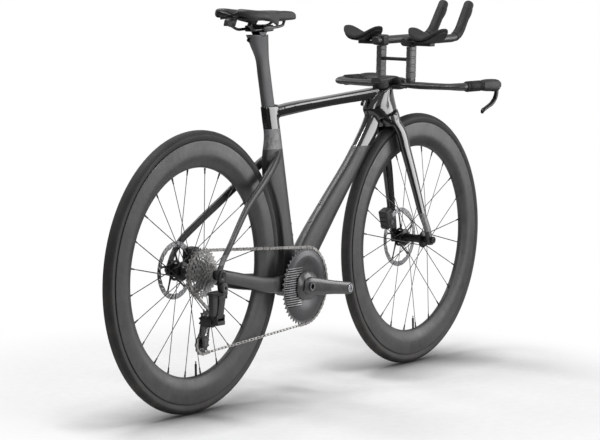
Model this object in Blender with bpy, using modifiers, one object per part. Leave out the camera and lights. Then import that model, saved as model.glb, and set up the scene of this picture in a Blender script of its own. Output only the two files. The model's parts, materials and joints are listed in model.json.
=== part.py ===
"""Time-trial bicycle with electronic shifting and disc brakes.

Metres. +X points forward, +Y to the rider's left, +Z up, and the floor is z = 0. The origin is on the
floor below the middle of the wheelbase. The chain side is the right side, at negative Y.
"""

import math

import bmesh
import bpy
from mathutils import Matrix, Vector

# Driving dimensions
WHEELBASE = 0.985
TYRE_RADIUS = 0.339
TYRE_HALF = 0.0138
RIM_OUTER = 0.3143
RIM_INNER = 0.250
WHEEL_STEPS = 28
SPOKES_PER_SIDE = 12
DISC_ARMS = 5
GAP = 0.0003
CRANK = Vector((-0.0887, 0, 0.2716))
CRANK_LENGTH = 0.165
CRANK_DROP = 7.0
PEDAL_FACE = 0.0756
PITCH = 0.0127
RING_TEETH = 48
RING_Y = -0.045
COG_TEETH = (10, 11, 12, 13, 14, 15, 17, 19, 21, 24, 27, 30)
COG_STEP = 0.00365
COG_FIRST_Y = -0.0605
DRIVEN_COG = 10
PULLEY_TEETH = 12
CHAIN_LINKS = 116
SPAN_STRAIGHT = 0.06
FRONT_DISC = 0.080
FRONT_DISC_Y = 0.0405
REAR_DISC = 0.070
REAR_DISC_Y = 0.057
STEER_LEAN = 17.5
HEAD_X = 0.4453
SADDLE_LEAN = 4.3

X = Vector((1, 0, 0))
Y = Vector((0, 1, 0))
Z = Vector((0, 0, 1))
REAR_AXLE = Vector((-WHEELBASE / 2, 0, TYRE_RADIUS))
FRONT_AXLE = Vector((WHEELBASE / 2, 0, TYRE_RADIUS))
STEER = Vector((-math.sin(math.radians(STEER_LEAN)), 0, math.cos(math.radians(STEER_LEAN))))
STEER_AHEAD = Vector((STEER.z, 0, -STEER.x))
CHAIN_Y = COG_FIRST_Y + DRIVEN_COG * COG_STEP
SIDES = (("left", 1), ("right", -1))
HANGER_BOLT = Vector((-0.4970, 0, 0.3110))
REAR_HUB_HALF = 0.0713
HEAD_TOP = 0.7530
HEAD_LOW = 0.6860

FINISHES = {
    "gloss_carbon": ((0.012, 0.012, 0.013), 0.12, 0.0),
    "satin_carbon": ((0.030, 0.030, 0.032), 0.40, 0.0),
    "matt_post": ((0.045, 0.045, 0.048), 0.55, 0.0),
    "matt_black": ((0.018, 0.018, 0.019), 0.60, 0.0),
    "anodised_black": ((0.030, 0.030, 0.032), 0.35, 0.9),
    "rim_carbon": ((0.040, 0.041, 0.044), 0.38, 0.0),
    "tyre_rubber": ((0.020, 0.020, 0.021), 0.75, 0.0),
    "grip_rubber": ((0.022, 0.022, 0.023), 0.80, 0.0),
    "pad_foam": ((0.020, 0.020, 0.021), 0.85, 0.0),
    "saddle_cover": ((0.024, 0.024, 0.025), 0.70, 0.0),
    "steel": ((0.55, 0.56, 0.58), 0.28, 1.0),
    "cog_steel": ((0.50, 0.50, 0.50), 0.30, 1.0),
    "chain_steel": ((0.42, 0.42, 0.43), 0.30, 1.0),
    "disc_steel": ((0.62, 0.63, 0.65), 0.25, 1.0),
}


# Scene and object helpers


def clear_scene():
    for item in list(bpy.data.objects):
        bpy.data.objects.remove(item, do_unlink=True)


def new_collection(name, hidden):
    made = bpy.data.collections.new(name)
    bpy.context.scene.collection.children.link(made)
    made.hide_render = hidden
    return made


def make_material(name):
    colour, roughness, metallic = FINISHES[name]
    made = bpy.data.materials.new(name)
    made.use_nodes = True
    shader = made.node_tree.nodes["Principled BSDF"]
    shader.inputs["Base Color"].default_value = (*colour, 1)
    shader.inputs["Roughness"].default_value = roughness
    shader.inputs["Metallic"].default_value = metallic
    made.diffuse_color = (*colour, 1)
    return made


clear_scene()
PARTS = new_collection("time_trial_bicycle", False)
TOOLS = new_collection("cutters", True)
MATERIALS = {name: make_material(name) for name in FINISHES}


def link(item, finish):
    """Puts an object among the parts, or among the hidden tools when it has no finish."""
    if finish is None:
        TOOLS.objects.link(item)
        item.hide_render = True
        item.display_type = "WIRE"
    else:
        PARTS.objects.link(item)
        item.data.materials.clear()
        item.data.materials.append(MATERIALS[finish])
    return item


def smooth(item, angle=35):
    """Smooth shading with sharp edges where faces meet at more than the angle."""
    for face in item.data.polygons:
        face.use_smooth = True
    item.data.set_sharp_from_angle(angle=math.radians(angle))
    return item


def from_bmesh(name, mesh, finish, pivot=None, flat=False):
    """An object from world-space geometry, with its origin on the pivot."""
    bmesh.ops.recalc_face_normals(mesh, faces=mesh.faces[:])
    place = Vector(pivot) if pivot is not None else Vector((0, 0, 0))
    bmesh.ops.translate(mesh, vec=-place, verts=mesh.verts[:])
    data = bpy.data.meshes.new(name)
    mesh.to_mesh(data)
    mesh.free()
    item = bpy.data.objects.new(name, data)
    item.location = place
    link(item, finish)
    return item if flat else smooth(item)


def combine(item, other, operation):
    """A live Boolean: UNION, DIFFERENCE or INTERSECT with a hidden tool."""
    modifier = item.modifiers.new(other.name, "BOOLEAN")
    modifier.operation = operation
    modifier.solver = "EXACT"
    modifier.object = other
    return item


# Shape helpers, all in world space


def oval(centre, first, second, half_first, half_second, count=12, power=2.0):
    """A ring of points: an ellipse, or a squarer outline as the power grows."""
    points = []
    for step in range(count):
        turn = 2 * math.pi * step / count
        along = math.copysign(abs(math.cos(turn)) ** (2 / power), math.cos(turn))
        across = math.copysign(abs(math.sin(turn)) ** (2 / power), math.sin(turn))
        points.append(centre + first * (half_first * along) + second * (half_second * across))
    return points


def aero(rear, front, half_width, middle_y=0.0, count=10, tail=3.4):
    """A wing section with a round nose and a blunt tail, between two points."""
    rear = Vector(rear)
    front = Vector(front)
    centre = rear.lerp(front, 0.55)
    points = []
    for step in range(count):
        turn = 2 * math.pi * step / count
        along = math.cos(turn)
        across = math.sin(turn)
        if along >= -1e-9:
            place = centre + (front - centre) * along
        else:
            place = centre + (centre - rear) * -(abs(along) ** (2 / tail))
            across = math.copysign(abs(across) ** (2 / tail), across)
        points.append(place + Y * (half_width * across + middle_y))
    return points


def loft(name, rings, finish, pivot=None, flat=False):
    """A closed skin through rings of equal point counts."""
    mesh = bmesh.new()
    loops = [[mesh.verts.new(point) for point in ring] for ring in rings]
    count = len(loops[0])
    for low, high in zip(loops, loops[1:]):
        for here in range(count):
            after = (here + 1) % count
            mesh.faces.new((low[here], low[after], high[after], high[here]))
    mesh.faces.new(loops[0][::-1])
    mesh.faces.new(loops[-1])
    return from_bmesh(name, mesh, finish, pivot, flat)


def tangents(path):
    """Unit directions along a list of points."""
    found = []
    for here in range(len(path)):
        before = path[max(here - 1, 0)]
        after = path[min(here + 1, len(path) - 1)]
        found.append((after - before).normalized())
    return found


def tube_rings(path, heights, widths, count=10, power=2.0, up=Z):
    """Rings across a path. Heights lie near the up direction, widths across it."""
    rings = []
    for place, ahead, high, wide in zip(path, tangents(path), heights, widths):
        side = ahead.cross(up).normalized()
        over = side.cross(ahead).normalized()
        rings.append(oval(place, over, side, high / 2, wide / 2, count, power))
    return rings


def turned(name, profile, centre, axis, finish, steps=24, closed=False):
    """A turned piece. The profile lists (radius, height along the axis)."""
    area = 0
    pairs = list(zip(profile, profile[1:] + profile[:1]))
    for (r0, h0), (r1, h1) in pairs:
        area += r0 * h1 - r1 * h0
    if area > 0:
        profile = profile[::-1]
    mesh = bmesh.new()
    points = [mesh.verts.new((radius, 0, height)) for radius, height in profile]
    for low, high in zip(points, points[1:]):
        mesh.edges.new((low, high))
    if closed:
        mesh.edges.new((points[-1], points[0]))
    data = bpy.data.meshes.new(name)
    mesh.to_mesh(data)
    mesh.free()
    item = bpy.data.objects.new(name, data)
    item.location = centre
    item.rotation_euler = Z.rotation_difference(Vector(axis)).to_euler()
    screw = item.modifiers.new("turn", "SCREW")
    screw.axis = "Z"
    screw.steps = steps
    screw.render_steps = steps
    screw.use_merge_vertices = True
    screw.merge_threshold = 0.00001
    screw.use_smooth_shade = True
    link(item, finish)
    return item


def cylinder(name, centre, axis, radius, low, high, finish=None, steps=16):
    """A plain rod between two heights along its axis."""
    profile = [(0, low), (radius, low), (radius, high), (0, high)]
    return turned(name, profile, centre, axis, finish, steps)


def sleeve(name, centre, axis, inner, outer, low, high, finish=None, steps=16):
    profile = [(inner, low), (outer, low), (outer, high), (inner, high)]
    return turned(name, profile, centre, axis, finish, steps, closed=True)


def block(name, low, high, finish=None, turn=None, pivot=None, edge=0.0):
    """A box between two corners, turned about its own centre when asked, with bevelled edges."""
    low = Vector(low)
    high = Vector(high)
    centre = (low + high) / 2
    mesh = bmesh.new()
    bmesh.ops.create_cube(mesh, size=1)
    size = high - low
    bmesh.ops.scale(mesh, vec=size, verts=mesh.verts[:])
    if edge:
        bmesh.ops.bevel(
            mesh, geom=mesh.edges[:], offset=edge, segments=1, profile=0.5, affect="EDGES"
        )
    if turn is not None:
        bmesh.ops.rotate(mesh, matrix=turn, verts=mesh.verts[:])
    bmesh.ops.translate(mesh, vec=centre, verts=mesh.verts[:])
    return from_bmesh(name, mesh, finish, pivot, flat=True)


def plate(name, outline, y_low, y_high, finish=None, pivot=None):
    """A flat piece: an outline of (x, z) points carried between two Y values."""
    mesh = bmesh.new()
    near = [mesh.verts.new((x, y_low, z)) for x, z in outline]
    far = [mesh.verts.new((x, y_high, z)) for x, z in outline]
    count = len(outline)
    for here in range(count):
        after = (here + 1) % count
        mesh.faces.new((near[here], near[after], far[after], far[here]))
    mesh.faces.new(near[::-1])
    mesh.faces.new(far)
    return from_bmesh(name, mesh, finish, pivot, flat=True)


def steer_point(height, ahead=0.0, y=0.0):
    """A point by its height on the steering axis and its distance ahead of the axis, square to it."""
    on_axis = Vector((HEAD_X - (height - TYRE_RADIUS) * math.tan(math.radians(STEER_LEAN)), y, height))
    return on_axis + STEER_AHEAD * ahead


# Frame


def post_slice(z):
    """Rear and front edge of the seatpost at a height. Both edges share one slope, so it can slide."""
    slope = -0.2527
    return -0.2235 + slope * (z - 0.722), -0.1775 + slope * (z - 0.727)


def make_frame():
    """The moulded frame: lofted tubes joined into one body, then cut for what it carries."""
    seat_slices = (
        (0.724, -0.2270, -0.1610, 0.0112),
        (0.690, -0.2190, -0.1570, 0.0112),
        (0.652, -0.2100, -0.1475, 0.0112),
        (0.600, -0.2160, -0.1345, 0.0118),
        (0.435, -0.1900, -0.0950, 0.0135),
        (0.360, -0.1750, -0.0780, 0.0155),
        (0.285, -0.1400, -0.0700, 0.0190),
    )
    rings = [aero((rear, 0, z), (front, 0, z), half) for z, rear, front, half in seat_slices]
    frame = loft("frame", rings, "gloss_carbon")

    down_slices = (
        ((0.266, 0.708), (0.300, 0.700), 0.0160),
        ((0.247, 0.676), (0.303, 0.650), 0.0145),
        ((0.192, 0.608), (0.247, 0.583), 0.0140),
        ((0.0505, 0.4755), (0.105, 0.428), 0.0150),
        ((-0.018, 0.413), (0.045, 0.360), 0.0160),
        ((-0.080, 0.345), (-0.035, 0.275), 0.0185),
        ((-0.105, 0.310), (-0.075, 0.243), 0.0200),
    )
    rings = []
    for upper, lower, half in down_slices:
        rings.append(aero((upper[0], 0, upper[1]), (lower[0], 0, lower[1]), half))
    combine(frame, loft("down_tube", rings, None), "UNION")

    top_slices = (
        (-0.190, 0.718, 0.690, 0.0100),
        (-0.145, 0.7245, 0.695, 0.0150),
        (0.040, 0.7375, 0.7110, 0.0160),
        (0.285, 0.7535, 0.7240, 0.0170),
    )
    rings = []
    for x, top, low, half in top_slices:
        middle = Vector((x, 0, (top + low) / 2))
        rings.append(oval(middle, Z, Y, (top - low) / 2, half, 10, 3.2))
    combine(frame, loft("top_tube", rings, None), "UNION")

    head_slices = (
        (HEAD_TOP, -0.052, 0.0425, 0.0255),
        (0.7200, -0.087, 0.0437, 0.0258),
        (HEAD_LOW, -0.066, 0.0450, 0.0275),
    )
    rings = []
    for z, behind, ahead, half in head_slices:
        rings.append(aero(steer_point(z, behind), steer_point(z, ahead), half, tail=2.2))
    combine(frame, loft("head_tube", rings, None), "UNION")

    shell = cylinder("bottom_bracket_shell", CRANK, Y, 0.0325, -0.034, 0.034, steps=16)
    combine(frame, shell, "UNION")

    chain_stay = (
        (-0.095, 0.020, 0.280, 0.046, 0.018),
        (-0.150, 0.0285, 0.281, 0.044, 0.014),
        (-0.190, 0.0320, 0.283, 0.042, 0.0125),
        (-0.235, 0.0455, 0.287, 0.040, 0.014),
        (-0.370, 0.0640, 0.313, 0.032, 0.014),
        (-0.450, 0.0735, 0.329, 0.030, 0.0095),
        (-0.5000, 0.0748, 0.3395, 0.026, 0.0070),
    )
    seat_stay = (
        (-0.160, 0.006, 0.6060, 0.026, 0.012),
        (-0.195, 0.0190, 0.5840, 0.025, 0.014),
        (-0.250, 0.0320, 0.5480, 0.023, 0.013),
        (-0.345, 0.0460, 0.4870, 0.021, 0.012),
        (-0.400, 0.0600, 0.4470, 0.020, 0.0115),
        (-0.460, 0.0742, 0.3970, 0.020, 0.009),
        (-0.484, 0.0748, 0.3680, 0.020, 0.0072),
        (-0.4985, 0.0748, 0.3340, 0.022, 0.0070),
    )
    for side_name, side in SIDES:
        for piece_name, stay in (("chain_stay", chain_stay), ("seat_stay", seat_stay)):
            path = [Vector((x, y * side, z)) for x, y, z, high, wide in stay]
            heights = [row[3] for row in stay]
            widths = [row[4] for row in stay]
            rings = tube_rings(path, heights, widths, 8, 2.6)
            combine(frame, loft(f"{piece_name}_{side_name}", rings, None), "UNION")
        pad = cylinder(f"dropout_{side_name}", REAR_AXLE, Y * side, 0.0145, REAR_HUB_HALF, 0.0785, steps=12)
        combine(frame, pad, "UNION")
    caliper_mount = block(
        "caliper_mount", (-0.452, 0.0640, 0.330), (-0.408, 0.0715, 0.3445), edge=0.002
    )
    combine(frame, caliper_mount, "UNION")

    wheel_space = cylinder("rear_wheel_space", REAR_AXLE, Y, 0.352, -0.0245, 0.0245, steps=36)
    combine(frame, wheel_space, "DIFFERENCE")
    socket_rings = []
    for z in (0.745, 0.590):
        rear, front = post_slice(z)
        socket_rings.append(aero((rear - GAP, 0, z), (front + GAP, 0, z), 0.0092))
    combine(frame, loft("post_socket", socket_rings, None), "DIFFERENCE")
    pocket = block("wedge_pocket", (-0.1783, -0.0058, 0.702), (-0.1665, 0.0058, 0.740))
    combine(frame, pocket, "DIFFERENCE")
    base = steer_point(0.72)
    upper = steer_point(HEAD_TOP)
    lower = steer_point(HEAD_LOW)
    cuts = (
        ("steerer_bore", base, STEER, 0.0182, -0.06, 0.06, 10),
        ("upper_bearing_seat", upper, STEER, 0.0239, -0.0085, 0.02, 12),
        ("lower_bearing_seat", lower, STEER, 0.0250, -0.02, 0.0085, 12),
        ("cup_bore", CRANK, Y, 0.0206, -0.05, 0.05, 12),
        ("rear_hub_space", REAR_AXLE, Y, 0.022, -REAR_HUB_HALF, REAR_HUB_HALF, 12),
        ("rear_axle_bore", REAR_AXLE, Y, 0.0065, -0.1, 0.1, 8),
    )
    for name, centre, axis, radius, low, high, steps in cuts:
        combine(frame, cylinder(name, centre, axis, radius, low, high, steps=steps), "DIFFERENCE")
    return frame


def make_frame_fittings():
    """Bearings, clamp wedge, rear axle and derailleur hanger."""
    cup = [
        (0.0124, 0.0200),
        (0.0200, 0.0200),
        (0.0200, 0.0344),
        (0.0225, 0.0344),
        (0.0225, 0.0420),
        (0.0124, 0.0420),
    ]
    for side_name, side in SIDES:
        turned(f"bottom_bracket_cup_{side_name}", cup, CRANK, Y * side, "anodised_black", 12, True)
    upper = steer_point(HEAD_TOP)
    sleeve("headset_bearing_upper", upper, STEER, 0.0149, 0.0235, -0.0081, -0.0006, "steel", 12)
    lower = steer_point(HEAD_LOW)
    sleeve("headset_bearing_lower", lower, STEER, 0.0149, 0.0246, 0.0006, 0.0081, "steel", 12)
    low_z = 0.7035
    high_z = 0.7262
    corners = [
        (post_slice(low_z)[1] + 0.0008, low_z),
        (-0.1669, low_z),
        (-0.1669, high_z),
        (post_slice(high_z)[1] + 0.0008, high_z),
    ]
    wedge = plate("seat_clamp_wedge", corners, -0.0055, 0.0055, "anodised_black")
    key = cylinder("wedge_key", Vector((-0.1715, 0, high_z)), Z, 0.0022, -0.003, 0.003, steps=6)
    combine(wedge, key, "DIFFERENCE")
    axle = cylinder("rear_axle", REAR_AXLE, Y, 0.0058, -0.0860, 0.0800, "anodised_black", 8)
    head = cylinder("rear_axle_head", REAR_AXLE, Y, 0.0095, 0.0788, 0.0830, steps=12)
    combine(axle, head, "UNION")
    key = cylinder("rear_axle_key", REAR_AXLE, Y, 0.003, 0.078, 0.090, steps=6)
    combine(axle, key, "DIFFERENCE")
    hanger = plate(
        "derailleur_hanger",
        [
            (-0.4815, 0.3450),
            (-0.4860, 0.3495),
            (-0.4990, 0.3495),
            (-0.5040, 0.3440),
            (-0.5075, 0.3110),
            (-0.5040, 0.3030),
            (-0.4950, 0.3010),
            (-0.4885, 0.3060),
            (-0.4840, 0.3200),
        ],
        -0.0850,
        -0.0789,
        "anodised_black",
    )
    bore = cylinder("hanger_axle_bore", REAR_AXLE, Y, 0.0064, -0.1, -0.05, steps=10)
    combine(hanger, bore, "DIFFERENCE")
    bore = cylinder("hanger_bolt_bore", HANGER_BOLT, Y, 0.0052, -0.1, -0.05, steps=10)
    combine(hanger, bore, "DIFFERENCE")


def make_caliper(name, corner_low, corner_high, turn, disc_centre, disc_y, disc_radius):
    """A disc caliper: a block with the disc's slot and two round piston housings."""
    body = block(name, corner_low, corner_high, "matt_black", turn, edge=0.003)
    middle = (Vector(corner_low) + Vector(corner_high)) / 2
    outward = Vector((middle.x - disc_centre.x, 0, middle.z - disc_centre.z)).normalized()
    pistons = disc_centre + outward * (disc_radius - 0.0075) + Y * middle.y
    far = (corner_high[1] - corner_low[1]) / 2 + 0.0012
    for side_name, side in SIDES:
        housing = cylinder(f"{name}_piston_{side_name}", pistons, Y * side, 0.0106, 0.004, far, steps=10)
        combine(body, housing, "UNION")
    centre = Vector((disc_centre.x, disc_y, disc_centre.z))
    slot = cylinder(f"{name}_slot", centre, Y, disc_radius + 0.003, -0.0022, 0.0022, steps=48)
    combine(body, slot, "DIFFERENCE")
    return body


def leaning(degrees):
    return Matrix.Rotation(math.radians(degrees), 3, "Y")


# Fork and front end


def make_fork():
    """The fork with its steerer, cut for the wheel, disc, hub and axle, and the axle itself."""
    crown_slices = (
        (0.6835, -0.0290, 0.0448, 0.0272),
        (0.6700, -0.0300, 0.0448, 0.0310),
        (0.6560, -0.0270, 0.0430, 0.0330),
    )
    rings = []
    for z, behind, ahead, half in crown_slices:
        rings.append(aero(steer_point(z, behind), steer_point(z, ahead), half, tail=2.6))
    fork = loft("fork", rings, "gloss_carbon")
    leg = (
        (0.346, 0.018, 0.6700, 0.056, 0.024),
        (0.371, 0.0285, 0.6390, 0.049, 0.018),
        (0.394, 0.0335, 0.5850, 0.045, 0.0165),
        (0.417, 0.0375, 0.5310, 0.042, 0.016),
        (0.440, 0.0430, 0.4700, 0.037, 0.0145),
        (0.460, 0.0480, 0.4150, 0.033, 0.0135),
        (0.482, 0.0545, 0.3650, 0.028, 0.0125),
        (0.493, 0.0575, 0.3250, 0.023, 0.0125),
    )
    for side_name, side in SIDES:
        rings = []
        for x, y, z, depth, thick in leg:
            middle = Vector((x, y * side, z))
            rings.append(oval(middle, X, Y, depth / 2, thick / 2, 8, 2.3))
        combine(fork, loft(f"fork_leg_{side_name}", rings, None), "UNION")
    steerer = cylinder("steerer", steer_point(0.70), STEER, 0.0142, -0.03, 0.078, steps=10)
    combine(fork, steerer, "UNION")
    crown_race = cylinder("crown_race", steer_point(HEAD_LOW), STEER, 0.0200, -0.006, 0.0003, steps=10)
    combine(fork, crown_race, "UNION")
    mount = block(
        "front_caliper_mount", (0.4402, 0.0440, 0.401), (0.4560, 0.0530, 0.425), None, leaning(-20)
    )
    combine(fork, mount, "UNION")
    cuts = (
        ("front_wheel_space", 0.3475, -0.0185, 0.0185, 28),
        ("front_disc_space", FRONT_DISC + 0.004, 0.0370, 0.0432, 20),
        ("front_hub_space", 0.017, -0.0503, 0.0503, 12),
        ("front_axle_bore", 0.0065, -0.1, 0.1, 8),
    )
    for name, radius, low, high, steps in cuts:
        combine(fork, cylinder(name, FRONT_AXLE, Y, radius, low, high, steps=steps), "DIFFERENCE")
    axle = cylinder("front_axle", FRONT_AXLE, Y, 0.0058, -0.0655, 0.0640, "anodised_black", 8)
    head = cylinder("front_axle_head", FRONT_AXLE, Y, 0.0095, -0.0690, -0.0645, steps=12)
    combine(axle, head, "UNION")
    key = cylinder("front_axle_key", FRONT_AXLE, Y, 0.003, -0.08, -0.066, steps=6)
    combine(axle, key, "DIFFERENCE")


def bar_ring(place, ahead, chord, thick, power, grow=0.0):
    """A ring across the base bar, which runs level in the direction given."""
    side = Z.cross(ahead).normalized()
    return oval(place, side, Z, chord / 2 + grow, thick / 2 + grow, 10, power)


def bar_stations():
    """The base bar from its middle to the left end: place, direction, chord, thickness, squareness."""
    rows = (
        (0.3865, 0.000, 0.7590, 90, 0.050, 0.0140, 2.2),
        (0.3875, 0.130, 0.7590, 88, 0.050, 0.0150, 2.2),
        (0.3930, 0.160, 0.7592, 72, 0.046, 0.0170, 2.2),
        (0.4050, 0.182, 0.7595, 35, 0.036, 0.0200, 2.1),
        (0.4200, 0.190, 0.7597, 8, 0.0250, 0.0210, 2.0),
        (0.4275, 0.190, 0.7598, 0, 0.0205, 0.0205, 2.0),
        (0.5080, 0.190, 0.7605, 0, 0.0205, 0.0205, 2.0),
    )
    return rows


def make_base_bar():
    """The wing-shaped base bar with its forward grips, and the stem that clamps it."""
    stations = []
    for x, y, z, heading, chord, thick, power in bar_stations():
        stations.append((Vector((x, y, z)), heading, chord, thick, power))
    mirrored = []
    for place, heading, chord, thick, power in stations[:0:-1]:
        mirrored.append((Vector((place.x, -place.y, place.z)), 180 - heading, chord, thick, power))
    rings = []
    for place, heading, chord, thick, power in mirrored + stations:
        turn = math.radians(heading)
        ahead = Vector((math.cos(turn), math.sin(turn), 0))
        rings.append(bar_ring(place, ahead, chord, thick, power))
    loft("base_bar", rings, "satin_carbon")
    slot_rings = []
    for y in (-0.05, 0.05):
        slot_rings.append(bar_ring(Vector((0.3865, y, 0.7590)), Y, 0.050, 0.0140, 2.2, 0.0005))
    slot = loft("bar_slot", slot_rings, None)

    stem_slices = (
        (0.2905, 0.7620, 0.7785, 0.0155),
        (0.3050, 0.7620, 0.7810, 0.0190),
        (0.3590, 0.7715, 0.7830, 0.0260),
        (0.3700, 0.7480, 0.7800, 0.0300),
        (0.4020, 0.7480, 0.7760, 0.0300),
        (0.4160, 0.7530, 0.7690, 0.0280),
    )
    rings = []
    for x, low, high, half in stem_slices:
        middle = Vector((x, 0, (low + high) / 2))
        rings.append(oval(middle, Z, Y, (high - low) / 2, half, 10, 3.6))
    stem = loft("stem", rings, "satin_carbon")
    head_top = steer_point(HEAD_TOP)
    collar = cylinder("stem_collar", head_top, STEER, 0.0215, 0.0012, 0.020, steps=12)
    combine(stem, collar, "UNION")
    combine(stem, slot, "DIFFERENCE")
    bore = cylinder("stem_bore", head_top, STEER, 0.0149, -0.05, 0.0262, steps=10)
    combine(stem, bore, "DIFFERENCE")
    for side_name, side in SIDES:
        start = Vector((0.4290, side * 0.190, 0.7598))
        rings = []
        count = 5
        for step in range(count):
            share = step / (count - 1)
            place = start.lerp(Vector((0.5075, side * 0.190, 0.7605)), share)
            swell = 0.0132 + 0.0014 * math.sin(math.pi * share)
            swell -= 0.0006 * (step % 2)
            rings.append(oval(place, Y, Z, swell, swell, 10))
        grip = loft(f"base_grip_{side_name}", rings, "grip_rubber")
        along = Vector((0.5080, side * 0.190, 0.7605)) - Vector((0.4275, side * 0.190, 0.7598))
        bore = cylinder(f"grip_bore_{side_name}", start, along.normalized(), 0.0110, -0.02, 0.12, steps=10)
        combine(grip, bore, "DIFFERENCE")
        make_brake_lever(side_name, side)


def make_brake_lever(side_name, side):
    """A bar-end brake lever: the body on the bar, and a blade that swings about a cross pin."""
    y = side * 0.190
    slices = (
        (0.5090, 0.7605, 0.0130, 0.0130),
        (0.5250, 0.7605, 0.0150, 0.0140),
        (0.5600, 0.7600, 0.0165, 0.0140),
        (0.5900, 0.7590, 0.0150, 0.0130),
        (0.6035, 0.7600, 0.0085, 0.0090),
    )
    rings = []
    for x, z, tall, wide in slices:
        rings.append(oval(Vector((x, y, z)), Z, Y, tall, wide, 10, 2.4))
    body = loft(f"lever_body_{side_name}", rings, "grip_rubber")
    place = Vector((0.523, y, 0.7605))
    button = cylinder(f"button_{side_name}", place, Y * -side, 0.0060, 0.008, 0.0175, steps=8)
    combine(body, button, "UNION")
    slot = block(f"lever_slot_{side_name}", (0.5730, y - 0.0052, 0.7350), (0.6150, y + 0.0052, 0.7590))
    combine(body, slot, "DIFFERENCE")
    pivot = Vector((0.5900, y, 0.7535))
    pin = cylinder(f"pin_hole_{side_name}", pivot, Y, 0.0025, -0.03, 0.03, steps=6)
    combine(body, pin, "DIFFERENCE")
    path = [
        Vector((0.5925, y, 0.7560)),
        Vector((0.5940, y, 0.7450)),
        Vector((0.5895, y, 0.7290)),
        Vector((0.5760, y, 0.7150)),
        Vector((0.5400, y, 0.7000)),
        Vector((0.5230, y, 0.6930)),
        Vector((0.5195, y, 0.6870)),
    ]
    tall = (0.0120, 0.0130, 0.0120, 0.0105, 0.0085, 0.0085, 0.0060)
    wide = (0.0096, 0.0096, 0.0112, 0.0125, 0.0120, 0.0110, 0.0070)
    rings = tube_rings(path, tall, wide, 6, 2.4, up=X)
    blade = loft(f"brake_lever_{side_name}", rings, "anodised_black", pivot)
    hub = cylinder(f"lever_hub_{side_name}", pivot, Y, 0.0048, -0.0049, 0.0049, steps=8)
    combine(blade, hub, "UNION")
    rod = cylinder(f"lever_pin_{side_name}", pivot, Y, 0.0021, -0.0125, 0.0125, steps=6)
    combine(blade, rod, "UNION")


def extension_path(side):
    """The centre line of an extension bar: straight, then an upward bend to the tip."""
    start = Vector((0.3510, side * 0.0450, 0.8730))
    straight_end = Vector((0.5900, side * 0.0440, 0.8790))
    tip = Vector((0.6960, side * 0.0400, 0.9780))
    corner = Vector((0.6280, side * 0.0425, 0.8800))
    points = [start]
    for share in (0.5, 0.9):
        points.append(start.lerp(straight_end, share))
    bend_end = corner.lerp(tip, 0.33)
    for step in range(5):
        share = step / 4
        one = straight_end.lerp(corner, share)
        two = corner.lerp(bend_end, share)
        points.append(one.lerp(two, share))
    points.append(tip)
    return points


def make_cockpit():
    """Risers on the stem, and the clamps, extension bars and grips above them."""
    for side_name, side in SIDES:
        y = side * 0.0465
        rings = []
        for z in (0.7768, 0.8600):
            rings.append(oval(Vector((0.3870, y, z)), X, Y, 0.018, 0.0078, 10, 2.6))
        riser = loft(f"riser_{side_name}", rings, "satin_carbon")
        foot_low = (0.3740, y - 0.0072, 0.7668)
        foot_high = (0.4000, y + 0.0072, 0.7785)
        foot = block(f"riser_foot_{side_name}", foot_low, foot_high, None, edge=0.001)
        combine(riser, foot, "UNION")
        inner = y - side * 0.0095
        notch_low = (0.3780, inner - 0.0035, 0.8213)
        notch_high = (0.3920, inner + 0.0035, 0.8307)
        combine(riser, block(f"brace_notch_{side_name}", notch_low, notch_high), "DIFFERENCE")

        path = extension_path(side)
        pivot = path[0]
        clamp_y = y - side * 0.0015
        clamp_low = (0.3690, clamp_y - 0.0140, 0.8604)
        clamp_high = (0.4010, clamp_y + 0.0140, 0.8890)
        clamp = block(f"extension_clamp_{side_name}", clamp_low, clamp_high, "matt_black", edge=0.003)
        direction = (path[2] - pivot).normalized()
        bore = cylinder(f"extension_bore_{side_name}", pivot, direction, 0.0116, -0.05, 0.15, steps=12)
        combine(clamp, bore, "DIFFERENCE")

        full = [0.0222] * len(path)
        loft(f"extension_{side_name}", tube_rings(path, full, full, 8), "satin_carbon", pivot)
        last = (path[-1] - path[-2]).normalized()
        grip_path = path[4:-1] + [path[-1] + last * 0.006]
        across = [0.0285 - 0.0008 * (step % 2) for step in range(len(grip_path))]
        rings = tube_rings(grip_path, across, across, 8)
        grip = loft(f"extension_grip_{side_name}", rings, "grip_rubber", pivot)
        first = (path[5] - path[4]).normalized()
        hollow_path = [path[4] - first * 0.01] + path[4:-1] + [path[-1] + last * 0.0006]
        across = [0.0228] * len(hollow_path)
        hollow = loft(f"grip_hollow_{side_name}", tube_rings(hollow_path, across, across, 8), None)
        combine(grip, hollow, "DIFFERENCE")
    block("riser_brace", (0.3783, -0.0400, 0.8216), (0.3917, 0.0400, 0.8304), "matt_black", edge=0.001)


# Wheels


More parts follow.
